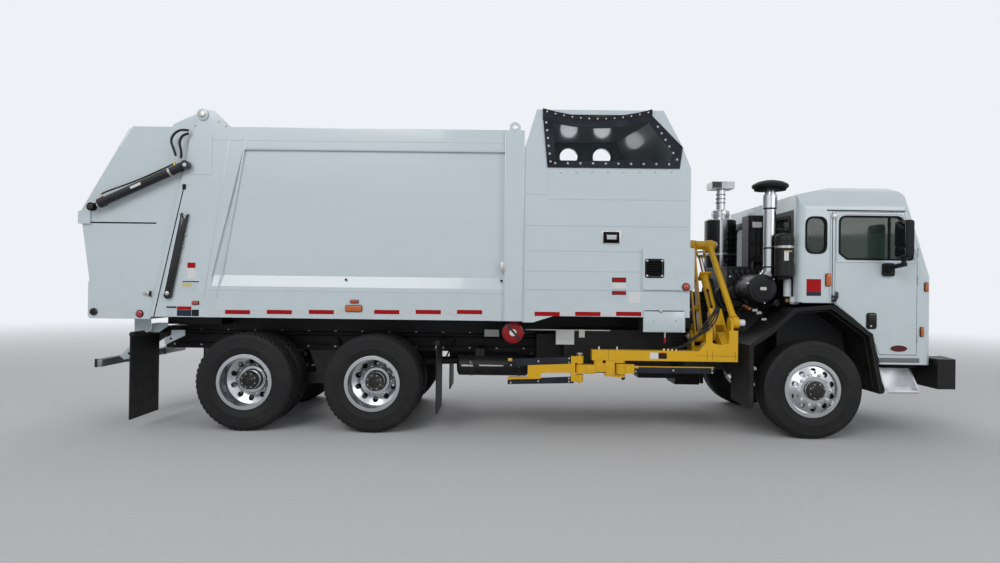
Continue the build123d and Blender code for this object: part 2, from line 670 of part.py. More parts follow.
def tailgate():
    """Hollow tailgate with a raked back, a hip across it and its hinge arms."""
    g = SEAM_GAP
    outer = [
        (seam_x(TAIL_BOTTOM) - g, TAIL_BOTTOM), (seam_x(BODY_TOP) - g, BODY_TOP), (TAIL_TOP_X + 440, TAIL_TOP_Z),
        (TAIL_TOP_X, TAIL_TOP_Z), (TAIL_HIP_X + 30, TAIL_HIP_TOP), (TAIL_HIP_X + 30, TAIL_HIP_BOTTOM),
        (TAIL_LOW_X, TAIL_KNEE_Z), (TAIL_LOW_X, TAIL_BOTTOM),
    ]
    t = TAIL_WALL
    inner = [
        (seam_x(TAIL_BOTTOM) + 200, TAIL_BOTTOM + t), (seam_x(BODY_TOP) + 200, BODY_TOP - t),
        (TAIL_TOP_X + 440, TAIL_TOP_Z - t), (TAIL_TOP_X + 30, TAIL_TOP_Z - t),
        (TAIL_HIP_X + 30 + t, TAIL_HIP_TOP - 15), (TAIL_HIP_X + 30 + t, TAIL_HIP_BOTTOM),
        (TAIL_LOW_X + t, TAIL_KNEE_Z), (TAIL_LOW_X + t, TAIL_BOTTOM + t),
    ]
    solid = prism(outer, -PANEL_HALF, PANEL_HALF, "Y")
    solid -= prism(inner, -WALL_INNER, WALL_INNER, "Y")
    hip = [
        (TAIL_HIP_X, TAIL_HIP_TOP), (TAIL_HIP_X + 130, TAIL_HIP_TOP + 60), (TAIL_HIP_X + 130, TAIL_HIP_BOTTOM),
        (TAIL_HIP_X, TAIL_HIP_BOTTOM),
    ]
    solid += prism(hip, -HIP_HALF, HIP_HALF, "Y")
    arm = [
        (TAIL_TOP_X + 380, TAIL_TOP_Z - 40), (TAIL_TOP_X + 420, TAIL_TOP_Z + 40),
        (HINGE_X - 30, HINGE_Z + 45), (HINGE_X + 45, HINGE_Z + 15), (HINGE_X + 45, HINGE_Z - 30),
        (HINGE_X - 40, HINGE_Z - 60), (seam_x(BODY_TOP) - 30, BODY_TOP + 20),
        (seam_x(BODY_TOP) - 35, BODY_TOP - 60),
    ]
    x, z = CYL_EYE
    for side in (-1, 1):
        low, high = sorted((side * (BODY_HALF - 110), side * (BODY_HALF - 75)))
        lug = prism(arm, low, high, "Y")
        solid += lug
        pin = sorted((side * (BODY_HALF - 120), side * (BODY_HALF - 25)))
        solid += rod((HINGE_X, pin[0], HINGE_Z), (HINGE_X, pin[1], HINGE_Z), HINGE_PIN_R)
        boss = sorted((side * (PANEL_HALF - 10), side * (CYL_Y - EYE_HALF_W - OPEN_PIVOT_GAP)))
        solid += rod((x, boss[0], z), (x, boss[1], z), PIN_R + 14)
    return solid


def tail_lamps():
    lamps = []
    for side in (-1, 1):
        for z in (1330, 1440, 1550):
            y = side * 1060
            lamps.append(rod((TAIL_LOW_X - 1, y, z), (TAIL_LOW_X - 30, y, z), 48))
    return lamps


def cylinder_point(distance):
    return along(CYL_BASE, CYL_EYE, distance)


def tailgate_barrel(side):
    y = side * CYL_Y
    x, z = CYL_BASE
    far = cylinder_point(CYL_BARREL_L)
    start = cylinder_point(40)
    solid = rod((start[0], y, start[1]), (far[0], y, far[1]), CYL_R)
    near_y, far_y = sorted((side * (CYL_Y - 28), side * (CYL_Y + 28)))
    solid += rod((x, near_y, z), (x, far_y, z), 48)
    bore = cylinder_point(300)
    solid -= rod((bore[0], y, bore[1]), (cylinder_point(1100)[0], y, cylinder_point(1100)[1]), CYL_ROD_R + 1)
    solid -= rod((x, near_y - 5, z), (x, far_y + 5, z), PIN_R + PIN_FIT)
    return solid


def tailgate_rod(side):
    """The rod with its eye and pin. The linkage is opened between the pin and the tailgate's boss."""
    y = side * CYL_Y
    x, z = CYL_EYE
    start = cylinder_point(320)
    near_y, far_y = sorted((side * (CYL_Y - EYE_HALF_W), side * (CYL_Y + EYE_HALF_W)))
    solid = rod((start[0], y, start[1]), (x, y, z), CYL_ROD_R)
    solid += rod((x, near_y, z), (x, far_y, z), 44)
    return solid + rod((x, y, z), (x, side * (CYL_Y + EYE_HALF_W + 6), z), PIN_R)


def rounded_prism(corners, low, high, axis):
    """A prism whose corners are (a, b, radius), where a radius of 0 leaves the corner sharp."""
    solid = prism([(a, b) for a, b, _ in corners], low, high, axis)
    along_axis = {"X": Axis.X, "Y": Axis.Y}[axis]
    for a, b, radius in corners:
        if radius > 0:
            middle = (low + high) / 2
            place = Vector(middle, a, b) if axis == "X" else Vector(a, middle, b)
            edges = solid.edges().filter_by(along_axis)
            solid = fillet(min(edges, key=lambda e: (e.center() - place).length), radius)
    return solid


def cab_outer(inset):
    """The cab's solid form, drawn in by a wall thickness."""
    half = CAB_HALF - inset
    rear, front, top = CAB_REAR_X + inset, CAB_FRONT_X - inset, SCREEN_TOP_X - inset
    side = [  # X, Z, radius of the corner
        (rear, CAB_BOTTOM + inset, 0), (rear, 2640 - inset, 0), (350, 2760 - inset, 800 - inset),
        (880, ROOF_Z - 10 - inset, 170 - inset), (995 - inset, 2700 - inset / 2, 170 - inset),
        (top, DRIP_Z, 0), (front, SCREEN_LOW_Z, 0), (front, CAB_BOTTOM + inset, 0),
    ]
    body = prism([(x, z) for x, z, _ in side], -half, half, "Y")
    corners = body.edges().filter_by(lambda e: abs(e.center().Y) > half - 1 and e.length > 300)
    back = corners.filter_by(lambda e: abs(e.center().X - rear) < 1)
    body = fillet(back, CAB_REAR_R - inset)
    corners = body.edges().filter_by(lambda e: abs(e.center().Y) > half - 1 and e.length > 300)
    lower = corners.filter_by(lambda e: abs(e.center().X - front) < 1)
    upper = corners.filter_by(lambda e: e.center().X > top and SCREEN_LOW_Z < e.center().Z < DRIP_Z)
    body = fillet(lower + upper, CAB_FRONT_R - inset)
    body &= rounded_prism(side, -half, half, "Y")
    edge = [  # Y, Z, radius of the corner
        (half, DRIP_Z + 10, 100 - inset), (half - 40, 2600 - inset / 2, 120 - inset),
        (half - 130, 2690 - inset, 200 - inset), (half - 300, 2755 - inset, 400 - inset),
    ]
    section = [
        (half, CAB_BOTTOM + inset, 0), *edge, (0, ROOF_Z - inset, 0),
        *[(-y, z, r) for y, z, r in edge[::-1]], (-half, CAB_BOTTOM + inset, 0),
    ]
    return body & rounded_prism(section, CAB_REAR_X - 10, CAB_FRONT_X + 10, "X")


DOOR_OUTLINE = [
    (232, 2452), (975, 2452), (1120, 1935), (1120, 912), (722, 912), (615, 1150), (232, 1470),
]
DOOR_WINDOW = [(275, 2408), (950, 2408), (1082, 1935), (360, 1935), (275, 2000)]
QUARTER_WINDOW = [(-85, 2395), (145, 2395), (145, 1995), (-85, 1995)]


def shrunk(points, amount):
    """A convex outline drawn in by an amount on every edge."""
    face = make_face(Polyline(*[(x, 0, z) for x, z in points], close=True))
    inner = offset(face, -amount, kind=Kind.INTERSECTION)
    return inner


def slab(face, low, high):
    """A face in the X-Z plane made into a slab between two Y values."""
    return extrude(Pos(0, low, 0) * face, amount=high - low, dir=(0, 1, 0))


def arch_room(side):
    """The space over a steered wheel that is cut out of the cab."""
    outline = [
        (CAB_REAR_X - 20, 600), (CAB_REAR_X - 20, 1465), (225, 1465), (640, 1140), (735, 790),
        (735, 600),
    ]
    low, high = sorted((side * ARCH_HALF_IN, side * (CAB_HALF + 20)))
    return prism(outline, low, high, "Y")


def screen_outline(edge):
    """The windscreen's opening in Y and Z, drawn in by an edge."""
    low, top = CAB_HALF - 110 - edge, CAB_HALF - 210 - edge
    return [(-low, 1790 + edge), (low, 1790 + edge), (top, 2470 - edge), (-top, 2470 - edge)]


def cab_shell():
    solid = cab_outer(0) - cab_outer(CAB_WALL)
    solid += block((CAB_REAR_X + 20, CAB_FRONT_X - 20), (-CAB_HALF + 20, CAB_HALF - 20),
                   (CAB_BOTTOM, CAB_FLOOR)) & cab_outer(0)
    well = [(CAB_REAR_X, CAB_BOTTOM), (CAB_REAR_X, WELL_TOP), (241, WELL_TOP), (682, 1165), (782, CAB_BOTTOM)]
    lining = cab_outer(0) & (
        prism(well, -CAB_HALF, -ARCH_HALF_IN + 40, "Y")
        + prism(well, ARCH_HALF_IN - 40, CAB_HALF, "Y")
        + block((CAB_REAR_X, DOGHOUSE_X + 45), (-DOGHOUSE_HALF - 45, DOGHOUSE_HALF + 45),
                (CAB_BOTTOM, DOGHOUSE_TOP + 45)))
    solid += lining
    for side in (-1, 1):
        solid -= arch_room(side)
        low, high = sorted((side * (CAB_HALF - CAB_WALL - 60), side * (CAB_HALF + 20)))
        solid -= prism(DOOR_OUTLINE, low, high, "Y")
        solid -= prism(QUARTER_WINDOW, low, high, "Y")
    solid -= prism(screen_outline(0), CAB_FRONT_X - 420, CAB_FRONT_X + 20, "X")
    solid -= block((CAB_REAR_X - 10, CAB_REAR_X + CAB_WALL + 10), (-REAR_WINDOW_HALF, REAR_WINDOW_HALF),
                   REAR_WINDOW_Z)
    solid += block((CAB_REAR_X, CAB_FRONT_X - 10), (-RAIL_Y - 45, RAIL_Y + 45), (CAB_FLOOR, DROP_TOP + 40))
    solid -= block((CAB_REAR_X - 10, DOGHOUSE_X), (-DOGHOUSE_HALF, DOGHOUSE_HALF), (600, DOGHOUSE_TOP))
    solid -= block((CAB_REAR_X - 10, CAB_FRONT_X + 10), (-RAIL_Y - 15, RAIL_Y + 15), (600, DROP_TOP + 10))
    for i in range(7):
        z = 1010 + i * 70
        solid -= block((CAB_FRONT_X - 14, CAB_FRONT_X + 10), (-560, 560), (z, z + 34))
    return solid


def cab_glass():
    """Windscreen, rear window and the two quarter windows."""
    edge = 6
    pane = cab_outer(15) - cab_outer(15 + GLASS_T)
    panes = [pane & prism(screen_outline(edge), CAB_FRONT_X - 420, CAB_FRONT_X + 20, "X")]
    panes.append(block((CAB_REAR_X + 15, CAB_REAR_X + 15 + GLASS_T),
                       (-REAR_WINDOW_HALF + edge, REAR_WINDOW_HALF - edge),
                       (REAR_WINDOW_Z[0] + edge, REAR_WINDOW_Z[1] - edge)))
    quarter = shrunk(QUARTER_WINDOW, edge)
    for side in (-1, 1):
        low, high = sorted((side * (CAB_HALF - 15 - GLASS_T), side * (CAB_HALF - 15)))
        panes.append(slab(quarter, low, high))
    return panes


def cab_door(side):
    low, high = sorted((side * (CAB_HALF - CAB_WALL), side * CAB_HALF))
    solid = slab(shrunk(DOOR_OUTLINE, DOOR_GAP), low, high)
    return solid - prism(DOOR_WINDOW, low - 10, high + 10, "Y")


def door_glass(side):
    low, high = sorted((side * (CAB_HALF - 15 - GLASS_T), side * (CAB_HALF - 15)))
    return slab(shrunk(DOOR_WINDOW, 1), low, high)


def mirror_unit(side):
    """Mirror head on its arm, carried by the door."""
    y = side * (CAB_HALF + 250)
    head = block((785, 880), sorted((side * (CAB_HALF + 150), side * (CAB_HALF + 370))), (1950, 2340))
    head = fillet(head.edges(), 30)
    foot = block((735, 860), sorted((side * (CAB_HALF + 1), side * (CAB_HALF + 35))), (1760, 1900))
    foot = fillet(foot.edges().filter_by(Axis.Y), 25)
    arm = rod((800, side * (CAB_HALF + 20), 1850), (830, y, 1880), 24)
    arm += rod((830, y, 1865), (832, y, 1990), 24)
    return head + foot + arm


def cab_interior():
    """Two seats on their pedestals, the dashboard and the steering wheel."""
    pieces = []
    for y in (-SEAT_Y, SEAT_Y):
        seat = block((-60, 200), (y - 150, y + 150), (WELL_TOP, 1561))
        seat += block((-60, 400), (y - 230, y + 230), (1560, 1650))
        back = prism([(-60, 1640), (40, 1640), (0, 2200), (-75, 2200)], y - 230, y + 230, "Y")
        seat += back
        pieces.append(seat)
    dash = prism([(1000, 1500), (1000, 1640), (1120, 1740), (CAB_FRONT_X - CAB_WALL - 12, 1740),
                  (CAB_FRONT_X - CAB_WALL - 12, 1500)], -CAB_HALF + 90, CAB_HALF - 90, "Y")
    for side in (-1, 1):
        y = side * SEAT_Y
        dash += rod((1060, y, 1640), (900, y, 1800), 26)
        hub = Vector(890, y, 1810)
        plane = Plane(hub, z_dir=(-1, 0, 1))
        dash += Solid.make_torus(200, 16, plane)
        dash += plane * Box(400, 34, 14)
    pieces.append(dash)
    return pieces


def mudguards():
    """Bent arches over the steered wheels, and the hanging flaps."""
    line = [(-692, 330), (-690, 1000), (-478, 1162), (-200, 1405), (190, 1442), (618, 1138), (740, 505)]
    right = [prism(ribbon(line, 38), -CAB_HALF - 52, -ARCH_HALF_IN - 20, "Y")]
    flaps = [  # X, low Z, top Z, where its bar meets the frame
        (RAIL_REAR_X - 10, 110, 1010, RAIL_Y + GUARD_LEG_T + 1),
        (MID_AXLE_X + 691, 210, 960, RAIL_Y + 1),
    ]
    for x, low, top, frame_y in flaps:
        flap = block((x, x + FLAP_T), (-OUTER_TWIN_Y - 142, -OUTER_TWIN_Y + 470), (low, top))
        middle = x + FLAP_T / 2
        flap += rod((middle, -OUTER_TWIN_Y - 120, top + 20), (middle, -frame_y, top + 20), 28)
        right.append(flap)
    return right + [mirrored(piece) for piece in right]


def cab_steps():
    """Tread below each door, hung from the cab on two side plates and a sloping back plate."""
    low, high = STEP_X
    inner, outer = CAB_HALF - 240, CAB_HALF + 40
    solid = block((low, high), (-outer, -inner), (STEP_Z, STEP_Z + STEP_T))
    side_plate = [(-outer, STEP_Z), (-outer, STEP_Z + STEP_T + 20), (-CAB_HALF + 170, CAB_BOTTOM),
                  (-CAB_HALF + 290, CAB_BOTTOM), (-inner + 20, STEP_Z)]
    back_plate = [(-inner - 10, STEP_Z + 1), (-inner + 12, STEP_Z + 1), (-CAB_HALF + 288, CAB_BOTTOM - 1),
                  (-CAB_HALF + 266, CAB_BOTTOM - 1)]
    solid += prism(side_plate, low, low + STEP_SIDE_T, "X")
    solid += prism(side_plate, high - STEP_SIDE_T, high, "X")
    solid += prism(back_plate, low + 2, high - 2, "X")
    return [solid, mirrored(solid)]


def front_bumper():
    plan = [
        (1310, -1230), (1500, -1230), (1590, -900), (FRONT_OVERHANG, 0), (1590, 900), (1500, 1230),
        (1310, 1230),
    ]
    solid = prism(plan, 560, 880, "Z")
    for side in (-1, 1):
        low, high = sorted((side * 380, side * 440))
        solid += block((RAIL_FRONT_X, 1311), (low, high), (640, 860))
    return solid


def lamps():
    """Headlamps in the cab's front, roof clearance lamps and the side markers."""
    pieces = []
    for side in (-1, 1):
        low, high = sorted((side * (CAB_HALF - 470), side * (CAB_HALF - 130)))
        pieces.append(block((CAB_FRONT_X + 0.5, CAB_FRONT_X + 26), (low, high), (930, 1110)))
    for y in (-ROOF_LAMP_Y[1], -ROOF_LAMP_Y[0], 0, ROOF_LAMP_Y[0], ROOF_LAMP_Y[1]):
        roof_lamp = block((915, 975), (y - 45, y + 45), (2680, 2764))
        pieces.append(roof_lamp - cab_outer(0))
    for side in (-1, 1):
        y = side * (BODY_HALF + 0.5)
        pieces.append(block((-5040, -4850), sorted((y, y + side * 22)), (1300, 1370)))
    return pieces


def side_tanks():
    """Air tank, bottle and hydraulic tank on the right, fuel tank, battery box and coolers on the left."""
    rail = RAIL_Y + 1
    air = rod((-3820, -880, 712), (-3071, -880, 712), 112)
    air += block((-3640, -3540), (-880, -rail), (830, 900))
    air += block((-3640, -3540), (-920, -840), (770, 900))
    bottle = rod((-3240, -1130, 1105), (-3240, -640, 1105), 112)
    bottle += block((-3280, -3200), (-1000, -rail), (975, 1030))
    hydraulic = block((-2650, -1450), (-860, -rail), (640, 1125))
    hydraulic += block((-2950, -2640), (-700, -rail), (760, 1060))
    fuel = rod((-3180, 830, 740), (-1600, 830, 740), 300)
    for x in (-2800, -1900):
        fuel += block((x - 40, x + 40), (rail, 830), (830, 930))
    battery = block(BATTERY_X, (rail, 1000), (600, 1010))
    cooler = block((-1560, -760), (rail, 900), (420, 1000))
    cooler += block((-1080, -760), (rail, 900), (340, 421))
    return [air, bottle, hydraulic, fuel, battery, cooler]


def underride_guard():
    """Low bar behind the last wheels, on two legs from the frame."""
    bar = block((-7860, -7790), (-1000, 1000), (650, 730))
    for side in (-1, 1):
        low, high = sorted((side * RAIL_Y, side * (RAIL_Y + GUARD_LEG_T)))
        leg = prism([(-7790, 650), (-7790, 730), (-7330, 1070), (-7150, 1070), (-7150, 1000), (-7330, 960)],
                    low, high, "Y")
        bar += leg
    return bar


def boom():
    """First link, two plates joined by tubes, between the chassis pin and the elbow shaft."""
    a, b = ARM_PIVOT, ELBOW
    dy, dz = b[0] - a[0], b[1] - a[1]
    length = math.hypot(dy, dz)
    ny, nz = dz / length, -dy / length
    h = BOOM_D / 2
    outline = [
        (a[0] - ny * h, a[1] - nz * h), (a[0] + ny * h, a[1] + nz * h),
        (b[0] + ny * h * 0.7, b[1] + nz * h * 0.7), (b[0] - ny * h * 0.7, b[1] - nz * h * 0.7),
    ]
    low, high = BOOM_X - BOOM_HALF_W, BOOM_X + BOOM_HALF_W
    solid = rod((low, *a), (high, *a), ARM_BOSS_R) + rod((low, *b), (high, *b), ARM_BOSS_R)
    for start in (low, high - BOOM_PLATE_T):
        solid += prism(outline, start, start + BOOM_PLATE_T, "X")
    for share in (0.3, 0.62):
        middle = along(a, b, length * share)
        solid += rod((low, *middle), (high, *middle), 34)
    reach = BOOM_HALF_W + ARM_GAP + 50
    solid += rod((BOOM_X - reach, *a), (BOOM_X + reach, *a), ARM_PIN_R)
    solid += rod((BOOM_X, *b), (FOREARM_X + 75, *b), ARM_PIN_R)
    boss_end = LIFT_X + LIFT_EYE_HALF_W + OPEN_PIVOT_GAP
    solid += rod((boss_end, *LIFT_EYE), (low + BOOM_PLATE_T, *LIFT_EYE), PIN_R + 16)
    return solid


def forearm():
    """Second link, a round tube with a boss at each end and the ears of the tilt cylinder."""
    solid = rod((FOREARM_X, *ELBOW), (FOREARM_X, *WRIST), FOREARM_R)
    for point in (ELBOW, WRIST):
        solid += rod((FOREARM_X - 33, *point), (FOREARM_X + 33, *point), ARM_BOSS_R)
    start = BOOM_X + BOOM_HALF_W + ARM_GAP
    solid += rod((start, *ELBOW), (FOREARM_X + 62, *ELBOW), ARM_BOSS_R - 10)
    y, z = ELBOW
    ear_y, ear_z = TILT_EYE
    ear = [
        (y - 58, z + 20), (y, z + 58), (y + 62, z + 10), (ear_y + 52, ear_z), (ear_y + 20, ear_z - 50),
        (ear_y - 30, ear_z - 48), (y - 25, z - 70),
    ]
    for x in (TILT_X - 58, TILT_X + 58):
        solid += prism(ear, x - 10, x + 10, "X")
    solid += rod((TILT_X - 68, *TILT_EYE), (TILT_X + 68, *TILT_EYE), PIN_R)
    for point in (ELBOW, WRIST):
        solid -= rod((start - 10, *point), (FOREARM_X + 80, *point), ARM_PIN_R + PIN_FIT)
    return solid


def cylinder_parts(base, eye, x, barrel_l, radius, rod_radius, eye_half_w):
    """Barrel and rod of a hydraulic cylinder that works in a Y-Z plane. The eye has no hole yet."""
    start, gland = along(base, eye, radius + 48), along(base, eye, barrel_l)
    barrel = rod((x, *start), (x, *gland), radius)
    flange = along(base, eye, barrel_l - 35)
    barrel += rod((x, *flange), (x, *gland), radius + 8)
    length = math.hypot(eye[0] - base[0], eye[1] - base[1])
    bore = along(base, eye, length * 0.25)
    barrel -= rod((x, *bore), (x, *along(base, eye, barrel_l + 50)), rod_radius + 1)
    shaft = rod((x, *along(base, eye, length * 0.25 + 10)), (x, *eye), rod_radius)
    shaft += rod((x - eye_half_w, *eye), (x + eye_half_w, *eye), rod_radius + 18)
    return barrel, shaft


def lift_cylinder():
    """The lift cylinder, whose rod carries its pin. The linkage is opened beside the boom's boss."""
    barrel, shaft = cylinder_parts(LIFT_BASE, LIFT_EYE, LIFT_X, LIFT_BARREL_L, LIFT_R, LIFT_ROD_R,
                                   LIFT_EYE_HALF_W)
    shaft += rod((LIFT_X, *LIFT_EYE), (LIFT_X - LIFT_EYE_HALF_W - 14, *LIFT_EYE), PIN_R)
    neck = along(LIFT_BASE, LIFT_EYE, LIFT_R + 60)
    barrel += rod((LIFT_X - LIFT_R, *LIFT_BASE), (LIFT_X + LIFT_R, *LIFT_BASE), LIFT_R)
    barrel += rod((LIFT_X, *LIFT_BASE), (LIFT_X, *neck), LIFT_R - 6)
    barrel -= rod((LIFT_X - 60, *LIFT_BASE), (LIFT_X + 60, *LIFT_BASE), PIN_R + PIN_FIT)
    return barrel, shaft


def tilt_cylinder():
    """The tilt cylinder, whose barrel stands on a wide fork with a cover plate."""
    barrel, shaft = cylinder_parts(TILT_FOOT, TILT_EYE, TILT_X, TILT_BARREL_L, TILT_R, TILT_ROD_R, 30)
    shaft -= rod((TILT_X - 60, *TILT_EYE), (TILT_X + 60, *TILT_EYE), PIN_R + TILT_EYE_FIT)
    length = math.hypot(TILT_EYE[0] - TILT_FOOT[0], TILT_EYE[1] - TILT_FOOT[1])
    ay, az = (TILT_EYE[0] - TILT_FOOT[0]) / length, (TILT_EYE[1] - TILT_FOOT[1]) / length

    def fork_point(distance, aside):
        """A point of the fork: distance along the cylinder, aside towards the cover plate."""
        return (TILT_FOOT[0] + ay * distance - az * aside, TILT_FOOT[1] + az * distance + ay * aside)

    cheek = [fork_point(*p) for p in ((-48, 25), (-48, -25), (0, -52), (TILT_FORK_L - 90, -52),
                                      (TILT_FORK_L, -20), (TILT_FORK_L, 72), (40, 72), (-15, 52))]
    inner, outer = TILT_FORK
    for low in (TILT_X - outer, TILT_X + inner):
        barrel += prism(cheek, low, low + outer - inner, "X")
    cover = [fork_point(*p) for p in ((95, 60), (95, 72), (TILT_FORK_L, 72), (TILT_FORK_L, 60))]
    web = [fork_point(*p) for p in ((95, -50), (95, 66), (125, 66), (125, -50))]
    barrel += prism(cover, TILT_X - outer, TILT_X + outer, "X")
    barrel += prism(web, TILT_X - outer, TILT_X + outer, "X")
    barrel -= rod((TILT_X - outer - 5, *TILT_FOOT), (TILT_X + outer + 5, *TILT_FOOT), PIN_R + PIN_FIT)
    return barrel, shaft


def gripper_beam():
    """Long carrier along the truck, with two uprights at its front end and the fingers' brackets."""
    y0, y1 = BEAM_Y
    rear, front = BEAM_X
    low, top = BEAM_Z
    outline = [
        (rear, low), (front, low), (front, UPRIGHT_Z), (front - 93, UPRIGHT_Z), (front - 93, top + 92),
        (front - 185, top + 66), (front - 272, top + 90), (front - 272, UPRIGHT_Z + 30),
        (front - 342, UPRIGHT_Z - 20), (front - 342, top + 90), (front - 416, top), (rear, top),
    ]
    solid = prism(outline, y0, y1, "Y")
    wy, wz = WRIST
    ear = [(y0, low + 60), (y0, wz + 10), (wy - 35, wz + 52), (wy + 35, wz + 52), (wy + 62, wz), (y1, top + 60),
           (y1, low + 60)]
    ear_x = FOREARM_X - 33 - ARM_GAP
    solid += prism(ear, ear_x - 26, ear_x, "X")
    solid += rod((ear_x - 26, *WRIST), (FOREARM_X + 104, *WRIST), ARM_PIN_R)
    ty, tz = TILT_FOOT
    lug = [(y0, top - 40), (y0, top + 60), (ty - 30, tz + 42), (ty + 30, tz + 40), (ty + 44, tz - 20),
           (y1, top - 40)]
    half = TILT_FORK[0] - ARM_GAP
    solid += prism(lug, TILT_X - half, TILT_X + half, "X")
    solid += rod((TILT_X - 84, *TILT_FOOT), (TILT_X + 84, *TILT_FOOT), PIN_R)
    plates = [  # X, Z of the blocks and plates that carry the fingers
        ((REAR_FINGER_X, -2344), (674, 770)),
        ((-2350, -2262), (694, low + 5)),
        ((-2268, -2228), (700, 790)),
        ((-2230, -2133), (650, low + 5)),
        ((-2140, FRONT_FINGER_X - 40), (640, 664)),
        ((-2140, FRONT_FINGER_X), (796, low + 5)),
    ]
    for x, z in plates:
        solid += block(x, (y0 + 4, y1 - 4), z)
    solid += rod((REAR_FINGER_X, FINGER_Y, 674), (REAR_FINGER_X, FINGER_Y, 770), 41)
    solid += rod((REAR_FINGER_X, FINGER_Y, 575), (REAR_FINGER_X, FINGER_Y, 878), FINGER_PIN_R)
    for z in ((640, 664), (796, low)):
        solid += rod((FRONT_FINGER_X, FINGER_Y, z[0]), (FRONT_FINGER_X, FINGER_Y, z[1]), 45)
    solid += rod((FRONT_FINGER_X, FINGER_Y, 636), (FRONT_FINGER_X, FINGER_Y, low), FINGER_PIN_R)
    return solid


def rear_finger():
    """Rear gripper finger: a hooked steel arm between two rubber belts."""
    x, y = REAR_FINGER_X, FINGER_Y
    near, far = y - FINGER_T / 2, y + FINGER_T / 2
    solid = rod((x, y, 585), (x, y, 662), 40) + rod((x, y, 782), (x, y, 862), 40)
    solid += block((x - 95, x - 51), (near, far), (590, 858))
    for z in ((590, 655), (790, 858)):
        solid += block((x - 60, x), (y - 30, y + 30), z)
    arm = [
        (x - 60, 780), (x - 559, 757), (x - 559, 627), (REAR_BELT_X + 13, 627), (REAR_BELT_X + 13, 604),
        (x - 419, 613), (x - 419, 668), (x - 345, 680), (x - 60, 683),
    ]
    solid += prism(arm, near, far, "Y")
    belts = [  # Z at the tip, Z at the column
        ((743, 815), (776, 850)), ((550, 604), (571, 636)),
    ]
    for tip, root in belts:
        strip = [(REAR_BELT_X, tip[0]), (REAR_BELT_X, tip[1]), (x - 60, root[1]), (x - 60, root[0])]
        solid += prism(strip, y - BELT_T / 2, y + BELT_T / 2, "Y")
    return solid - rod((x, y, 560), (x, y, 900), FINGER_PIN_R + PIN_FIT)


def front_finger():
    """Front gripper finger: a sleeve and the belt that it carries."""
    x, y = FRONT_FINGER_X, FINGER_Y
    solid = rod((x, y, 674), (x, y, 786), 58)
    solid += block((x, x + 140), (y - 30, y + 30), (680, 780))
    solid += block((x + 100, FRONT_BELT_X), (y - BELT_T, y + BELT_T), (690, 760))
    return solid - rod((x, y, 660), (x, y, 800), FINGER_PIN_R + PIN_FIT)


def hose(points, radius):
    """A hose along straight runs joined by arcs as large as the runs allow."""
    points = [Vector(*p) for p in points]
    radii = []
    for before, here, after in zip(points, points[1:], points[2:]):
        turn = (here - before).get_angle(after - here)
        shorter = min((here - before).length, (after - here).length)
        radii.append(0.45 * shorter / math.tan(math.radians(turn / 2)))
    print("hose bend radii", [round(r) for r in radii])
    path = FilletPolyline(*points, radius=radii)
    start = Plane(points[0], z_dir=points[1] - points[0])
    return sweep(start * Circle(radius), path=path), path.length


HOSE_R = 13
OUTER_HOSE = [
    (-6716, -1306, 3222), (-6775, -1306, 3232), (-6835, -1306, 3215), (-6885, -1306, 3170),
    (-6905, -1306, 3110), (-6885, -1306, 3052), (-6865, -1306, 3000), (-6850, -1306, 2950),
]
INNER_HOSE = [
    (-6716, -1306, 3190), (-6760, -1306, 3182), (-6795, -1306, 3150), (-6812, -1306, 3105),
    (-6806, -1306, 3055), (-6792, -1306, 3005), (-6790, -1306, 2950), (-6796, -1306, 2925),
]

pieces = {
    "chassis_frame": chassis_frame(),
    "front_axle": front_axle(),
    "rear_axles": rear_axles(),
    "engine": engine(),
    "air_intake": air_intake(),
    "exhaust_stack": exhaust_stack(),
    "body_shell": body_shell(),
    "hopper": hopper(),
    "hopper_belting": hopper_belting(),
    "packer_blade": packer_blade(),
    "tailgate": tailgate(),
    "tail_lamps": tail_lamps(),
    "cab_shell": cab_shell(),
    "cab_glass": cab_glass(),
    "cab_interior": cab_interior(),
    "mudguards": mudguards(),
    "cab_steps": cab_steps(),
    "front_bumper": front_bumper(),
    "lamps": lamps(),
    "side_tanks": side_tanks(),
    "underride_guard": underride_guard(),
    "arm_base": arm_base(),
    "boom": boom(),
    "forearm": forearm(),
    "gripper_beam": gripper_beam(),
    "rear_finger": rear_finger(),
    "front_finger": front_finger(),
}
pieces["tilt_barrel"], pieces["tilt_rod"] = tilt_cylinder()
pieces["lift_barrel"], pieces["lift_rod"] = lift_cylinder()

for name, side in (("left", 1), ("right", -1)):
    pieces["knuckle_" + name] = knuckle(side)
    pieces["front_tyre_" + name] = turned(tyre(FRONT_TYRE_W, FRONT_WHEEL_Y), side, 0, AXLE_Z)
    pieces["front_rim_" + name] = front_rim(side)
    pieces["cab_door_" + name] = cab_door(side)
    pieces["door_glass_" + name] = door_glass(side)
    pieces["mirror_" + name] = mirror_unit(side)
    pieces["tailgate_barrel_" + name] = tailgate_barrel(side)
    pieces["tailgate_rod_" + name] = tailgate_rod(side)
    for axle, axle_x in (("mid", MID_AXLE_X), ("rear", REAR_AXLE_X)):
        twins = [turned(tyre(REAR_TYRE_W, y), side, axle_x, AXLE_Z)
                 for y in (OUTER_TWIN_Y, OUTER_TWIN_Y - TWIN_SPACING)]
        pieces[axle + "_tyres_" + name] = twins
        pieces[axle + "_rims_" + name] = twin_rim(side, axle_x)

for name, route in (("outer_hose", OUTER_HOSE), ("inner_hose", INNER_HOSE)):
    solid, length = hose(route, HOSE_R)
    print(name, "length", round(length), "volume over section", round(solid.volume / length / HOSE_R ** 2, 4))
    pieces[name + "_right"] = solid
    pieces[name + "_left"] = mirrored(solid)


def gathered(shape):
    return Compound(children=shape) if isinstance(shape, list) else shape


for name, shape in pieces.items():
    export_step(Pos(ORIGIN_X, 0, 0) * gathered(shape), "parts/" + name + ".step")
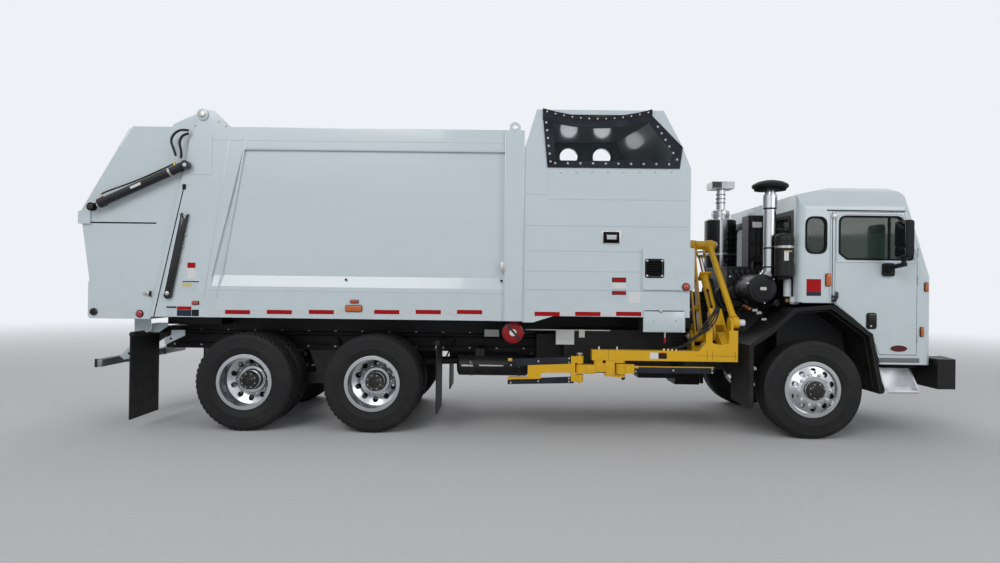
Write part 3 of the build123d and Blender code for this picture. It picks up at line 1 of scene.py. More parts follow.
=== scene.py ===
import bpy
import bmesh
from math import cos, hypot, pi, radians, sin, tan, tau
from mathutils import Matrix, Vector


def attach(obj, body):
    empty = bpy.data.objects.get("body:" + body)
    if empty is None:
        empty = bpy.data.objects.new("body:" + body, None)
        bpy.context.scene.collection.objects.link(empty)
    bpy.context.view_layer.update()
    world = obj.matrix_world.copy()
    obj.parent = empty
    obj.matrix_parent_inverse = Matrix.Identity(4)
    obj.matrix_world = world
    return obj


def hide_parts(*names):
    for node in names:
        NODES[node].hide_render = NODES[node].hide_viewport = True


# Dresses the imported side-loading refuse truck. Every X here is measured from the front axle, in metres,
# as in the part's own source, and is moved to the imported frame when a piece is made.
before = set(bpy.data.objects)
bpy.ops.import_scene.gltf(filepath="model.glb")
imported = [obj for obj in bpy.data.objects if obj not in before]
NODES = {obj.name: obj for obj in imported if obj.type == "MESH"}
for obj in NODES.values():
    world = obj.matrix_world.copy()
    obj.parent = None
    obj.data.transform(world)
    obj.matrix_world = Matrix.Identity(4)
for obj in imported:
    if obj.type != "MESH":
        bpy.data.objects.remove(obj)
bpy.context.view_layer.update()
FRONT_AXLE_X = 3.1625
AXLE_Z = 0.53
MID_AXLE_X = -4.743
REAR_AXLE_X = -6.129
BODY_SIDE = 1.25
CAB_SIDE = 1.17

# Camera, solved from the photograph's wheels and body corners
IMAGE_W, IMAGE_H = 1000, 563
CAMERA_PLACE = Vector((-3.3144, -8.6449, 1.6211))
CAMERA_YAW, CAMERA_PITCH, CAMERA_ROLL = -0.008, 0.0042, 0.0125
FOCAL_PX = 690.8
SENSOR_MM = 36.0


def camera_axes():
    """Right, up and forward of the camera."""
    cy, sy = cos(CAMERA_YAW), sin(CAMERA_YAW)
    cp, sp = cos(CAMERA_PITCH), sin(CAMERA_PITCH)
    forward = Vector((sy * cp, cy * cp, sp))
    right = Vector((cy, -sy, 0))
    up = right.cross(forward)
    cr, sr = cos(CAMERA_ROLL), sin(CAMERA_ROLL)
    return cr * right + sr * up, -sr * right + cr * up, forward


def spot(u, v, y):
    """X and Z behind a pixel of the photograph, on the upright plane at y."""
    right, up, forward = camera_axes()
    ray = forward + right * (u - IMAGE_W / 2) / FOCAL_PX - up * (v - IMAGE_H / 2) / FOCAL_PX
    hit = CAMERA_PLACE + ray * ((y - CAMERA_PLACE.y) / ray.y)
    return hit.x, hit.z


def make_camera():
    right, up, forward = camera_axes()
    data = bpy.data.cameras.new("photo_camera")
    data.sensor_width = SENSOR_MM
    data.lens = FOCAL_PX / IMAGE_W * SENSOR_MM
    data.clip_end = 500
    camera = placed("photo_camera", data)
    axes = Matrix((right, up, -forward)).transposed().to_4x4()
    camera.matrix_world = Matrix.Translation(CAMERA_PLACE + Vector((FRONT_AXLE_X, 0, 0))) @ axes
    bpy.context.scene.camera = camera


def placed(name, data):
    """A new object at the origin that holds the data."""
    obj = bpy.data.objects.new(name, data)
    bpy.context.scene.collection.objects.link(obj)
    return obj


# Materials


def node_tree(name):
    """A new material, its nodes, its shader and the Object coordinates."""
    mat = bpy.data.materials.new(name)
    mat.use_nodes = True
    tree = mat.node_tree
    return mat, tree, tree.nodes["Principled BSDF"], add(tree, "TexCoord").outputs["Object"]


def feed(tree, node, **values):
    """Sets a node's inputs by name, with _ for a space; a value that is a socket is linked."""
    for name, value in values.items():
        socket = node.inputs[name.replace("_", " ")]
        if isinstance(value, bpy.types.NodeSocket):
            tree.links.new(value, socket)
        else:
            socket.default_value = value


def add(tree, kind, **values):
    node = tree.nodes.new("ShaderNode" + kind)
    feed(tree, node, **values)
    return node


def noise(tree, vector, scale, detail=4, rough=0.55, stretch=None):
    if stretch:
        vector = add(tree, "Mapping", Scale=stretch, Vector=vector).outputs["Vector"]
    return add(tree, "TexNoise", Scale=scale, Detail=detail, Roughness=rough, Vector=vector).outputs["Fac"]


def ramp(tree, value, low, high, low_out=0.0, high_out=1.0, easing="LINEAR"):
    node = add(tree, "MapRange", From_Min=low, From_Max=high, To_Min=low_out, To_Max=high_out, Value=value)
    node.interpolation_type = easing
    return node.outputs["Result"]


def mixed(tree, fac, a, b):
    """Colour a where fac is 0 and b where it is 1; each is a colour or a socket."""
    node = tree.nodes.new("ShaderNodeMix")
    node.data_type = "RGBA"
    for socket, value in ((node.inputs[6], a), (node.inputs[7], b)):
        if isinstance(value, (tuple, list)):
            socket.default_value = (*value[:3], 1)
        else:
            tree.links.new(value, socket)
    tree.links.new(fac, node.inputs["Factor"])
    return node.outputs[2]


def times(tree, a, b, operation="MULTIPLY"):
    node = tree.nodes.new("ShaderNodeMath")
    node.operation = operation
    node.use_clamp = True
    for socket, value in zip(node.inputs, (a, b)):
        if isinstance(value, (int, float)):
            socket.default_value = value
        else:
            tree.links.new(value, socket)
    return node.outputs[0]


def bumped(tree, shader, height, strength, distance):
    bump = add(tree, "Bump", Strength=strength, Distance=distance, Height=height)
    feed(tree, shader, Normal=bump.outputs["Normal"])


def within(tree, place, x, half_y, z):
    """1 inside a box that is symmetric in Y, read from the Object coordinates."""
    split = add(tree, "SeparateXYZ", Vector=place)
    side = tree.nodes.new("ShaderNodeMath")
    side.operation = "ABSOLUTE"
    tree.links.new(split.outputs["Y"], side.inputs[0])
    out = times(tree, side.outputs[0], half_y, "LESS_THAN")
    for value, (low, high) in ((split.outputs["X"], x), (split.outputs["Z"], z)):
        out = times(tree, out, times(tree, value, low, "GREATER_THAN"))
        out = times(tree, out, times(tree, value, high, "LESS_THAN"))
    return out


def shaded(colour, share):
    return tuple(min(1, c * share) for c in colour)


ROAD_DUST_RGB = (0.2, 0.185, 0.16)


def coated(name, colour, rough, metal=0.0, coat=0.0, dust=0.0, dust_top=1.6, grain=0.0, grain_scale=900,
        shade=0.08, streak=None, wear=0.0, wear_colour=(0.3, 0.3, 0.3), shine=0.5):
    """A surface with tone drift, road dust that thins out upwards, fine grain and rubbed spots."""
    mat, tree, shader, place = node_tree(name)
    drift = noise(tree, place, 0.9, 5, 0.6, streak)
    tone = mixed(tree, ramp(tree, drift, 0.3, 0.7), shaded(colour, 1 - shade),
        shaded(colour, 1 + shade * 0.5))
    if wear:
        spots = ramp(tree, noise(tree, place, 14, 6, 0.7), 0.62, 0.7, 0, wear)
        tone = mixed(tree, spots, tone, wear_colour)
    if dust:
        height = add(tree, "SeparateXYZ", Vector=place).outputs["Z"]
        fade = ramp(tree, height, 0.2, dust_top, 1, 0)
        patches = ramp(tree, noise(tree, place, 6, 7, 0.7), 0.35, 0.75)
        amount = times(tree, times(tree, fade, patches), dust)
        tone = mixed(tree, amount, tone, ROAD_DUST_RGB)
        dull = times(tree, times(tree, amount, 0.5), rough, "ADD")
    else:
        dull = ramp(tree, noise(tree, place, 40, 3), 0.3, 0.7, rough * 0.88, min(1, rough * 1.12))
    feed(tree, shader, Base_Color=tone, Roughness=dull, Metallic=metal, Coat_Weight=coat, Coat_Roughness=0.06,
        Specular_IOR_Level=shine)
    if grain:
        bumped(tree, shader, noise(tree, place, grain_scale, 3), grain, 0.001)
    return mat


def glass(name, tint, clear, rough=0.02):
    """Thin tinted pane: mostly see-through, with a plain mirror gloss."""
    mat, tree, shader, place = node_tree(name)
    smear = ramp(tree, noise(tree, place, 3, 5), 0.3, 0.8, rough, rough * 3)
    feed(tree, shader, Base_Color=(*tint, 1), Transmission_Weight=clear, IOR=1.45, Roughness=smear)
    return mat


def brushed(name, colour, rough, axis_stretch, dust=0.0):
    """Bare or polished metal with fine drawn lines."""
    mat, tree, shader, place = node_tree(name)
    lines = noise(tree, place, 120, 4, 0.6, axis_stretch)
    dull = noise(tree, place, 5, 5, 0.6)
    tone = mixed(tree, ramp(tree, lines, 0.3, 0.7), shaded(colour, 0.86), colour)
    if dust:
        tone = mixed(tree, ramp(tree, dull, 0.5, 0.8, 0, dust), tone, (0.22, 0.21, 0.19))
    feed(tree, shader, Base_Color=tone, Metallic=1, Roughness=ramp(tree, dull, 0.3, 0.8, rough, rough * 1.8))
    bumped(tree, shader, lines, 0.05, 0.0005)
    return mat


def lens(name, colour, ribs=0.0):
    """Moulded lamp glass, with ribs where the lamp has them."""
    mat, tree, shader, place = node_tree(name)
    depth = ramp(tree, noise(tree, place, 260, 2), 0.3, 0.7)
    feed(tree, shader, Base_Color=mixed(tree, depth, shaded(colour, 0.7), colour),
        Roughness=0.12, Coat_Weight=0.6)
    if ribs:
        bumped(tree, shader, add(tree, "TexWave", Scale=ribs, Vector=place).outputs["Fac"], 0.4, 0.002)
    return mat


def honeycomb(name, colour):
    """Prismatic reflective tape."""
    mat, tree, shader, place = node_tree(name)
    cells = tree.nodes.new("ShaderNodeTexVoronoi")
    cells.feature = "DISTANCE_TO_EDGE"
    feed(tree, cells, Scale=120, Vector=place)
    edge = ramp(tree, cells.outputs["Distance"], 0.0, 0.12)
    feed(tree, shader, Base_Color=mixed(tree, edge, shaded(colour, 0.55), colour), Roughness=0.4,
        Specular_IOR_Level=0.15)
    return mat


def woven(name, colour, scale):
    """Rubberised belting or cloth with crossing threads."""
    mat, tree, shader, place = node_tree(name)
    heights = []
    for turn in ((0, 0, 0), (0, pi / 2, 0)):
        turned = add(tree, "Mapping", Rotation=turn, Vector=place).outputs["Vector"]
        heights.append(add(tree, "TexWave", Scale=scale, Distortion=0.6, Vector=turned).outputs["Fac"])
    weave = times(tree, *heights)
    dull = ramp(tree, noise(tree, place, 4, 6, 0.65), 0.35, 0.75)
    tone = mixed(tree, dull, colour, tuple(min(1, c * 2.2 + 0.01) for c in colour))
    feed(tree, shader, Base_Color=tone, Roughness=0.75, Specular_IOR_Level=0.2)
    bumped(tree, shader, weave, 0.5, 0.0015)
    return mat


def rubber_side(name):
    """Tyre rubber under a blotched film of dust."""
    mat, tree, shader, place = node_tree(name)
    blotch = ramp(tree, noise(tree, place, 9, 7, 0.7), 0.35, 0.75)
    tone = mixed(tree, blotch, (0.007, 0.0075, 0.008), (0.019, 0.0185, 0.018))
    film = ramp(tree, noise(tree, place, 2.2, 6, 0.7), 0.5, 0.85, 0, 0.5)
    tone = mixed(tree, film, tone, (0.045, 0.042, 0.039))
    feed(tree, shader, Specular_IOR_Level=0.25, Base_Color=tone,
        Roughness=ramp(tree, blotch, 0, 1, 0.55, 0.8))
    bumped(tree, shader, noise(tree, place, 420, 4), 0.25, 0.001)
    return mat


def two_tone(mat, boxes, colour, rough):
    """Repaints the parts of a surface that lie inside the boxes, as a cab's lining or wheel arch, or as
    painted shade on a face that lies in shadow.
    """
    tree = mat.node_tree
    shader = next(n for n in tree.nodes if n.type == "BSDF_PRINCIPLED")
    place = next(n for n in tree.nodes if n.type == "TEX_COORD").outputs["Object"]
    changes = [("Base Color", (*colour, 1)), ("Roughness", (rough,) * 3 + (1,))]
    if shader.inputs["Coat Weight"].default_value:
        changes.append(("Coat Weight", (0, 0, 0, 1)))
    for x, half_y, z in boxes:
        mask = within(tree, place, x, half_y, z)
        for socket, value in changes:
            target = shader.inputs[socket]
            mix = tree.nodes.new("ShaderNodeMix")
            mix.data_type = "RGBA"
            tree.links.new(mask, mix.inputs["Factor"])
            if target.is_linked:
                outside = target.links[0].from_socket
            else:
                level = target.default_value
                outside = tuple(level) if socket == "Base Color" else (level,) * 3 + (1,)
            feed(tree, mix, A=outside, B=value)
            tree.links.new(mix.outputs["Result"], target)
    return mat


# The white enamel is given a cool blue-grey: painted shade of the outdoor light on white paint.
WHITE_RGB = (0.58, 0.66, 0.695)
YELLOW_RGB = (0.72, 0.405, 0.008)
ENAMEL = {"rough": 0.22, "coat": 0.55, "dust": 0.3, "dust_top": 1.9, "grain": 0.02, "grain_scale": 260,
    "shade": 0.035, "streak": (0.5, 0.5, 2.2)}
M = {
    "white": coated("white_enamel", WHITE_RGB, **ENAMEL),
    "white_matt": coated("white_matt_enamel", tuple(c * 0.93 for c in WHITE_RGB), 0.45, dust=0.35,
        shade=0.06, grain=0.05),
    "hood_inside": coated("scuffed_hopper_lining", (0.42, 0.45, 0.46), 0.5, shade=0.25, wear=0.5,
        wear_colour=(0.2, 0.2, 0.2), grain=0.1, grain_scale=120),
    "black": coated("satin_black_chassis", (0.006, 0.006, 0.007), 0.45, dust=0.1, dust_top=1.4, grain=0.08,
        shade=0.3, shine=0.25),
    "black_gloss": coated("gloss_black_enamel", (0.008, 0.008, 0.009), 0.2, coat=0.25, dust=0.08,
        shade=0.2, shine=0.35),
    "plastic": coated("grained_black_plastic", (0.008, 0.0085, 0.009), 0.55, dust=0.2, dust_top=1.4,
        grain=0.35, grain_scale=700, shade=0.2, shine=0.22),
    "rubber": woven("black_belting", (0.012, 0.015, 0.021), 260),
    "seal": coated("black_window_seal", (0.005, 0.005, 0.006), 0.6, grain=0.1, shade=0.2, shine=0.15),
    "yellow": coated("yellow_enamel", YELLOW_RGB, 0.34, coat=0.15, dust=0.05, dust_top=1.2, grain=0.04,
        shine=0.3, grain_scale=240, shade=0.1, wear=0.25, wear_colour=(0.42, 0.25, 0.03)),
    "tyre": rubber_side("tyre_rubber"),
    "polished": brushed("polished_aluminium", (0.6, 0.61, 0.63), 0.15, (1, 6, 1), dust=0.25),
    "stainless": brushed("stainless_pipe", (0.6, 0.61, 0.63), 0.17, (6, 6, 0.6)),
    "rod_chrome": brushed("hard_chrome_rod", (0.8, 0.8, 0.82), 0.07, (1, 1, 1)),
    "diffuser": brushed("heat_dulled_pipe", (0.4, 0.41, 0.43), 0.34, (1, 1, 1)),
    "sill": coated("grey_sill_plate", (0.17, 0.18, 0.19), 0.5, dust=0.1, shade=0.1, shine=0.3),
    "chrome": brushed("hard_chrome", (0.8, 0.8, 0.82), 0.07, (1, 1, 1)),
    "cast": coated("dark_cast_iron", (0.03, 0.03, 0.032), 0.55, metal=0.6, dust=0.5, dust_top=1.3, grain=0.5,
        grain_scale=160, shade=0.35, wear=0.4, wear_colour=(0.1, 0.08, 0.06)),
    "zinc": coated("zinc_plated_steel", (0.5, 0.49, 0.46), 0.38, metal=0.9, grain=0.1, shade=0.2),
    "tread_plate": brushed("aluminium_tread_plate", (0.7, 0.71, 0.73), 0.3, (1, 1, 1), dust=0.3),
    "glass": glass("green_tinted_glass", (0.13, 0.185, 0.155), 0.85),
    "mirror_glass": brushed("mirror_face", (0.1, 0.11, 0.115), 0.05, (1, 1, 1)),
    "trim": coated("grey_cab_trim", (0.055, 0.058, 0.06), 0.7, grain=0.4, grain_scale=500, shade=0.15),
    "seat": woven("seat_cloth", (0.035, 0.038, 0.042), 420),
    "hose": coated("hose_cover", (0.008, 0.008, 0.009), 0.5, grain=0.3, grain_scale=900,
        shade=0.2, shine=0.3),
    "red_tape": honeycomb("red_reflective_tape", (0.42, 0.004, 0.008)),
    "white_tape": honeycomb("white_reflective_tape", (0.72, 0.74, 0.75)),
    "amber": lens("amber_lens", (0.66, 0.13, 0.006), ribs=60),
    "red_lens": lens("red_lens", (0.45, 0.012, 0.012), ribs=60),
    "clear_lens": lens("clear_lens", (0.62, 0.64, 0.66), ribs=90),
    "orange_dome": lens("orange_red_dome", (0.6, 0.055, 0.012)),
    "red_bottle": coated("red_enamel", (0.27, 0.004, 0.007), 0.35, coat=0.15, shade=0.1, shine=0.25),
    "vinyl": coated("blank_white_vinyl", (0.72, 0.73, 0.72), 0.4, shade=0.05),
    "vinyl_red": coated("blank_red_vinyl", (0.4, 0.005, 0.008), 0.45, shade=0.05, shine=0.15),
    "vinyl_blue": coated("blank_blue_vinyl", (0.016, 0.024, 0.048), 0.4, shade=0.05, shine=0.2),
    "vinyl_black": coated("blank_black_vinyl", (0.01, 0.01, 0.012), 0.4, shade=0.05, shine=0.2),
    "vinyl_pale": coated("blank_pale_vinyl", (0.55, 0.62, 0.66), 0.4, shade=0.05),
    "label": coated("blank_yellow_label", (0.66, 0.55, 0.2), 0.45, shade=0.08),
    "oval": coated("bare_maroon_plate", (0.085, 0.006, 0.011), 0.35, coat=0.1, shade=0.1, shine=0.25),
    "dark": coated("deep_shadow_paint", (0.005, 0.005, 0.006), 0.8, shade=0.2, shine=0.1),
    "brass": coated("yellow_passivated_fitting", (0.5, 0.36, 0.12), 0.35, metal=0.9, shade=0.2),
    "weld": coated("yellow_weld_bead", (0.36, 0.19, 0.014), 0.5, grain=0.3, grain_scale=400, shade=0.2),
    "drum": coated("black_moulded_cleaner", (0.01, 0.011, 0.012), 0.42, grain=0.25, grain_scale=500,
        shade=0.2, dust=0.08, shine=0.25),
    # Dark shield finish: partly real heat shield, partly a painted dark reflection of the stainless.
    "shield": coated("heat_shield_and_painted_dark_reflection", (0.035, 0.036, 0.038), 0.3, metal=0.7, grain=0.1, shade=0.3),
    "copper": coated("copper_fitting", (0.52, 0.22, 0.12), 0.35, metal=0.9, shade=0.2),
    "tank_side": coated("gloss_black_tank", (0.006, 0.006, 0.007), 0.3, coat=0.1, dust=0.08,
        dust_top=1.2, shine=0.25),
    "step": brushed("bright_step_aluminium", (0.62, 0.63, 0.65), 0.25, (1, 1, 1), dust=0.2),
    "underride": coated("grey_galvanised_bar", (0.26, 0.27, 0.29), 0.45, metal=0.6, dust=0.3, shade=0.15),
    "cab_white": coated("white_enamel_cab", WHITE_RGB, **ENAMEL),
    "hopper_white": coated("white_enamel_hopper", WHITE_RGB, **ENAMEL),
    "bottle": coated("white_moulded_bottle", (0.62, 0.66, 0.68), 0.38, grain=0.1,
        grain_scale=300, shade=0.12),
}

two_tone(M["cab_white"], [
    ((FRONT_AXLE_X - 0.135, FRONT_AXLE_X + 1.0), 1.145, (0.86, 2.45)),
    # The rear wall's middle is painted near-black: painted shade on the cab's white back.
    ((FRONT_AXLE_X - 0.2, FRONT_AXLE_X - 0.134), 1.045, (1.3, 2.48)),
    ((FRONT_AXLE_X - 0.2, FRONT_AXLE_X + 0.78), 1.1655, (0.7, 1.47)),
    ((FRONT_AXLE_X - 0.2, FRONT_AXLE_X + 1.25), 1.155, (0.7, 0.93)),
], (0.018, 0.019, 0.02), 0.6)

# The hopper's inset faces below 1.29 m are painted near-black: painted shade under the hopper.
two_tone(M["hopper_white"], [((FRONT_AXLE_X - 3.2, FRONT_AXLE_X - 1.38), 1.2485, (0.9, 1.289))],
    (0.01, 0.01, 0.011), 0.6)

two_tone(M["rod_chrome"], [((FRONT_AXLE_X - 7.85, FRONT_AXLE_X - 7.682), 1.5, (2.2, 2.52))],
    (0.008, 0.008, 0.009), 0.5)

SIDES = (("left", 1), ("right", -1))
NODES_IN = {  # material: nodes; a node whose name ends in _ is there on both sides
    "black": "chassis_frame front_bumper side_tanks underride_guard",
    "black_gloss": "tailgate_barrel_",
    "cab_white": "cab_shell",
    "cast": "front_axle rear_axles engine knuckle_",
    "chrome": "tilt_rod lift_rod",
    "clear_lens": "lamps",
    "glass": "cab_glass door_glass_",
    "hood_inside": "packer_blade",
    "hopper_white": "hopper",
    "plastic": "mudguards mirror_",
    "polished": "front_rim_ mid_rims_ rear_rims_",
    "red_lens": "tail_lamps",
    "rod_chrome": "tailgate_rod_",
    "rubber": "hopper_belting",
    "stainless": "air_intake exhaust_stack",
    "tread_plate": "cab_steps",
    "trim": "cab_interior",
    "white": "body_shell tailgate cab_door_",
    "yellow": "arm_base boom forearm gripper_beam rear_finger front_finger tilt_barrel lift_barrel",
}
for key, names in NODES_IN.items():
    for name in names.split():
        for node_name in [name + side_name for side_name, _ in SIDES] if name.endswith("_") else [name]:
            mesh = NODES[node_name].data
            mesh.materials.clear()
            mesh.materials.append(M[key])


# Tools that build pieces

UP, DOWN, AHEAD, ASTERN, LEFT, RIGHT = (0, 0, 1), (0, 0, -1), (1, 0, 0), (-1, 0, 0), (0, 1, 0), (0, -1, 0)


def span(side, near, far):
    """Low and high Y of what reaches from near to far on one side of the truck."""
    return tuple(sorted((side * near, side * far)))


def on_cab(side, sunk, proud):
    """Low and high Y of what is sunk into a cab side and stands proud of it."""
    return span(side, CAB_SIDE - sunk, CAB_SIDE + proud)


def about(middle, half):
    """Low and high end of a range about its middle."""
    return middle - half, middle + half


def rectangle(x0, z0, x1, z1):
    return [(x0, z0), (x1, z0), (x1, z1), (x0, z1)]


def oval(x, z, half_x, half_z, count):
    return [(x + half_x * cos(a), z + half_z * sin(a)) for a in [tau * i / count for i in range(count)]]


def in_axes(axis, a, b, c):
    """A point from two places in their order X, Y, Z and one along the axis."""
    return {"X": (c, a, b), "Y": (a, c, b), "Z": (a, b, c)}[axis]


class Piece:
    """Gathers plates, bars and turned forms in one mesh, X measured from the front axle."""

    def __init__(self, key=None):
        self.bm = bmesh.new()
        self.slots = [key] if key else []
        self.index = 0

    def paint(self, key):
        """Faces made after this call take that material."""
        if key not in self.slots:
            self.slots.append(key)
        self.index = self.slots.index(key)
        return self

    def face(self, corners):
        made = self.bm.faces.new(corners)
        made.material_index = self.index
        return made

    def prism(self, points, axis, low, high):
        """An outline in the two other axes, in their order X, Y, Z, pushed from low to high."""
        rings = [[self.bm.verts.new(in_axes(axis, a, b, c)) for a, b in points] for c in (low, high)]
        count = len(points)
        for i in range(count):
            j = (i + 1) % count
            self.face([rings[0][i], rings[0][j], rings[1][j], rings[1][i]])
        self.face(rings[0][::-1])
        self.face(rings[1])
        return self

    def box(self, x, y, z):
        return self.prism([(x[0], y[0]), (x[1], y[0]), (x[1], y[1]), (x[0], y[1])], "Z", z[0], z[1])

    def ring_of(self, centre, u, w, radius, segments):
        return [self.bm.verts.new(centre + u * (radius * cos(tau * i / segments))
            + w * (radius * sin(tau * i / segments))) for i in range(segments)]

    def joined(self, rings, closed=False):
        count = len(rings[0])
        pairs = list(zip(rings, rings[1:]))
        if closed:
            pairs.append((rings[-1], rings[0]))
        for one, two in pairs:
            for i in range(count):
                j = (i + 1) % count
                self.face([one[i], one[j], two[j], two[i]])
        if not closed:
            self.face(rings[0][::-1])
            self.face(rings[-1])
        return self

    def turned(self, profile, start, direction, segments=32):
        """A profile of (distance, radius) turned about the line from start along direction."""
        start, along = Vector(start), Vector(direction).normalized()
        u = along.orthogonal().normalized()
        w = along.cross(u)
        rings = [self.ring_of(start + along * d, u, w, max(r, 1e-4), segments) for d, r in profile]
        return self.joined(rings)

    def rod(self, start, end, radius, segments=20):
        start, end = Vector(start), Vector(end)
        return self.turned([(0, radius), ((end - start).length, radius)], start, end - start, segments)

    def pipe(self, points, radius, segments=10, steps=6):
        """A round line on a smooth curve through the points."""
        knots = [Vector(p) for p in points]
        path = []
        for i in range(len(knots) - 1):
            a = knots[max(i - 1, 0)]
            b, c = knots[i], knots[i + 1]
            d = knots[min(i + 2, len(knots) - 1)]
            for k in range(steps):
                t = k / steps
                path.append(0.5 * ((2 * b) + (c - a) * t + (2 * a - 5 * b + 4 * c - d) * t * t
                    + (3 * b - a - 3 * c + d) * t ** 3))
        path.append(knots[-1])
        tangent = (path[1] - path[0]).normalized()
        u = tangent.orthogonal().normalized()
        rings = []
        for i, here in enumerate(path):
            ahead = path[min(i + 1, len(path) - 1)] - path[max(i - 1, 0)]
            ahead.normalize()
            u = (u - ahead * u.dot(ahead)).normalized()
            rings.append(self.ring_of(here, u, ahead.cross(u), radius, segments))
        return self.joined(rings)

    def both(self):
        """Adds the mirror image across the truck's middle."""
        made = bmesh.ops.duplicate(self.bm, geom=self.bm.verts[:] + self.bm.edges[:] + self.bm.faces[:])
        copies = [g for g in made["geom"] if isinstance(g, bmesh.types.BMVert)]
        for vert in copies:
            vert.co.y = -vert.co.y
        faces = [g for g in made["geom"] if isinstance(g, bmesh.types.BMFace)]
        bmesh.ops.reverse_faces(self.bm, faces=faces)
        return self

    def done(self, name, body="root", slot=None, bevel=0.0, smooth=35):
        """Makes the object, which rides on the body; the slot argument is not used."""
        bmesh.ops.recalc_face_normals(self.bm, faces=self.bm.faces[:])
        bmesh.ops.translate(self.bm, verts=self.bm.verts[:], vec=(FRONT_AXLE_X, 0, 0))
        mesh = bpy.data.meshes.new(name)
        self.bm.to_mesh(mesh)
        self.bm.free()
        for key in self.slots:
            mesh.materials.append(M[key])
        obj = placed(name, mesh)
        if bevel:
            mod = obj.modifiers.new("edges", "BEVEL")
            mod.width = bevel
            mod.segments = 2
            mod.limit_method = "ANGLE"
            mod.angle_limit = radians(40)
            mod.use_clamp_overlap = True
            plain(obj)
        soften(obj, smooth)
        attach(obj, body)
        return obj


def soften(obj, angle):
    """Smooth shading, with edges sharper than the angle kept crisp."""
    for polygon in obj.data.polygons:
        polygon.use_smooth = True
    obj.data.set_sharp_from_angle(angle=radians(angle))


def plain(obj):
    """Turns what the modifiers make into the object's own mesh."""
    graph = bpy.context.evaluated_depsgraph_get()
    made = bpy.data.meshes.new_from_object(obj.evaluated_get(graph))
    obj.modifiers.clear()
    obj.data = made


def repeat_tree():
    """Geometry Nodes that put a copy of a shape on each point, turned and sized by its attributes."""
    tree = bpy.data.node_groups.new("repeat_on_points", "GeometryNodeTree")
    tree.interface.new_socket("Geometry", in_out="INPUT", socket_type="NodeSocketGeometry")
    tree.interface.new_socket("Shape", in_out="INPUT", socket_type="NodeSocketObject")
    tree.interface.new_socket("Size", in_out="INPUT", socket_type="NodeSocketFloat")
    tree.interface.new_socket("Material", in_out="INPUT", socket_type="NodeSocketMaterial")
    tree.interface.new_socket("Geometry", in_out="OUTPUT", socket_type="NodeSocketGeometry")
    add = tree.nodes.new
    given, out = add("NodeGroupInput"), add("NodeGroupOutput")
    shape = add("GeometryNodeObjectInfo")
    copies = add("GeometryNodeInstanceOnPoints")
    turn, grow = add("GeometryNodeInputNamedAttribute"), add("GeometryNodeInputNamedAttribute")
    turn.data_type, turn.inputs["Name"].default_value = "FLOAT_VECTOR", "turn"
    grow.data_type, grow.inputs["Name"].default_value = "FLOAT", "grow"
    euler, scale = add("FunctionNodeEulerToRotation"), add("ShaderNodeMath")
    scale.operation = "MULTIPLY"
    real, paint = add("GeometryNodeRealizeInstances"), add("GeometryNodeSetMaterial")
    link = tree.links.new
    link(given.outputs["Geometry"], copies.inputs["Points"])
    link(given.outputs["Shape"], shape.inputs["Object"])
    link(shape.outputs["Geometry"], copies.inputs["Instance"])
    link(turn.outputs["Attribute"], euler.inputs["Euler"])
    link(euler.outputs["Rotation"], copies.inputs["Rotation"])
    link(grow.outputs["Attribute"], scale.inputs[0])
    link(given.outputs["Size"], scale.inputs[1])
    link(scale.outputs[0], copies.inputs["Scale"])
    link(copies.outputs["Instances"], real.inputs["Geometry"])
    link(real.outputs["Geometry"], paint.inputs["Geometry"])
    link(given.outputs["Material"], paint.inputs["Material"])
    link(paint.outputs["Geometry"], out.inputs["Geometry"])
    return tree


REPEAT = repeat_tree()


TEMPLATES = []


def template(build):
    """A hidden shape for the repeat tree, made round its own origin with +Z outwards."""
    piece = Piece("zinc")
    build(piece)
    bmesh.ops.recalc_face_normals(piece.bm, faces=piece.bm.faces[:])
    mesh = bpy.data.meshes.new("shape")
    piece.bm.to_mesh(mesh)
    piece.bm.free()
    obj = placed("shape", mesh)
    TEMPLATES.append(obj)
    return obj


def facing(point, normal, spin=0.0, grow=1.0):
    """Place, turn and size of a copy whose +Z looks along normal."""
    turn = Vector(normal).to_track_quat("Z", "Y") @ Matrix.Rotation(spin, 3, "Z").to_quaternion()
    return Vector(point), turn.to_euler(), grow


def repeated(name, shape, places, key, body="root", size=1.0):
    """Copies of a shape as one plain mesh."""
    mesh = bpy.data.meshes.new(name)
    offset = Vector((FRONT_AXLE_X, 0, 0))
    mesh.from_pydata([p + offset for p, _, _ in places], [], [])
    mesh.attributes.new("turn", "FLOAT_VECTOR", "POINT")
    mesh.attributes.new("grow", "FLOAT", "POINT")
    for i, (_, turn, grow) in enumerate(places):
        mesh.attributes["turn"].data[i].vector = turn
        mesh.attributes["grow"].data[i].value = grow
    obj = placed(name, mesh)
    mod = obj.modifiers.new("repeat", "NODES")
    sockets = {item.name: item.identifier for item in REPEAT.interface.items_tree if item.in_out == "INPUT"}
    mod.node_group = REPEAT
    mod[sockets["Shape"]] = shape
    mod[sockets["Size"]] = size
    mod[sockets["Material"]] = M[key]
    plain(obj)
    for attribute in ("turn", "grow"):
        found = obj.data.attributes.get(attribute)
        if found:
            obj.data.attributes.remove(found)
    obj.name = name
    soften(obj, 35)
    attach(obj, body)
    return obj


HEX_BOLT = template(lambda p: p.turned([(0, 1.25), (0.18, 1.25)], (0, 0, 0), UP, 16).turned(
    [(0.18, 1.0), (0.72, 1.0), (0.85, 0.86)], (0, 0, 0), UP, 6))
RIVET = template(lambda p: p.turned([(0, 1.0), (0.22, 0.92), (0.42, 0.62), (0.5, 0.05)], (0, 0, 0), UP, 12))


# Floor, light and backdrop


BACKDROP_RGB = (0.93, 0.96, 1.0, 1)
BACKDROP_LEVEL = 0.92
WORLD_LEVEL = 0.4
FLOOR_FADE = (8.0, 26.0)  # distances between which the floor turns into the backdrop
FLOOR_REACH = 120


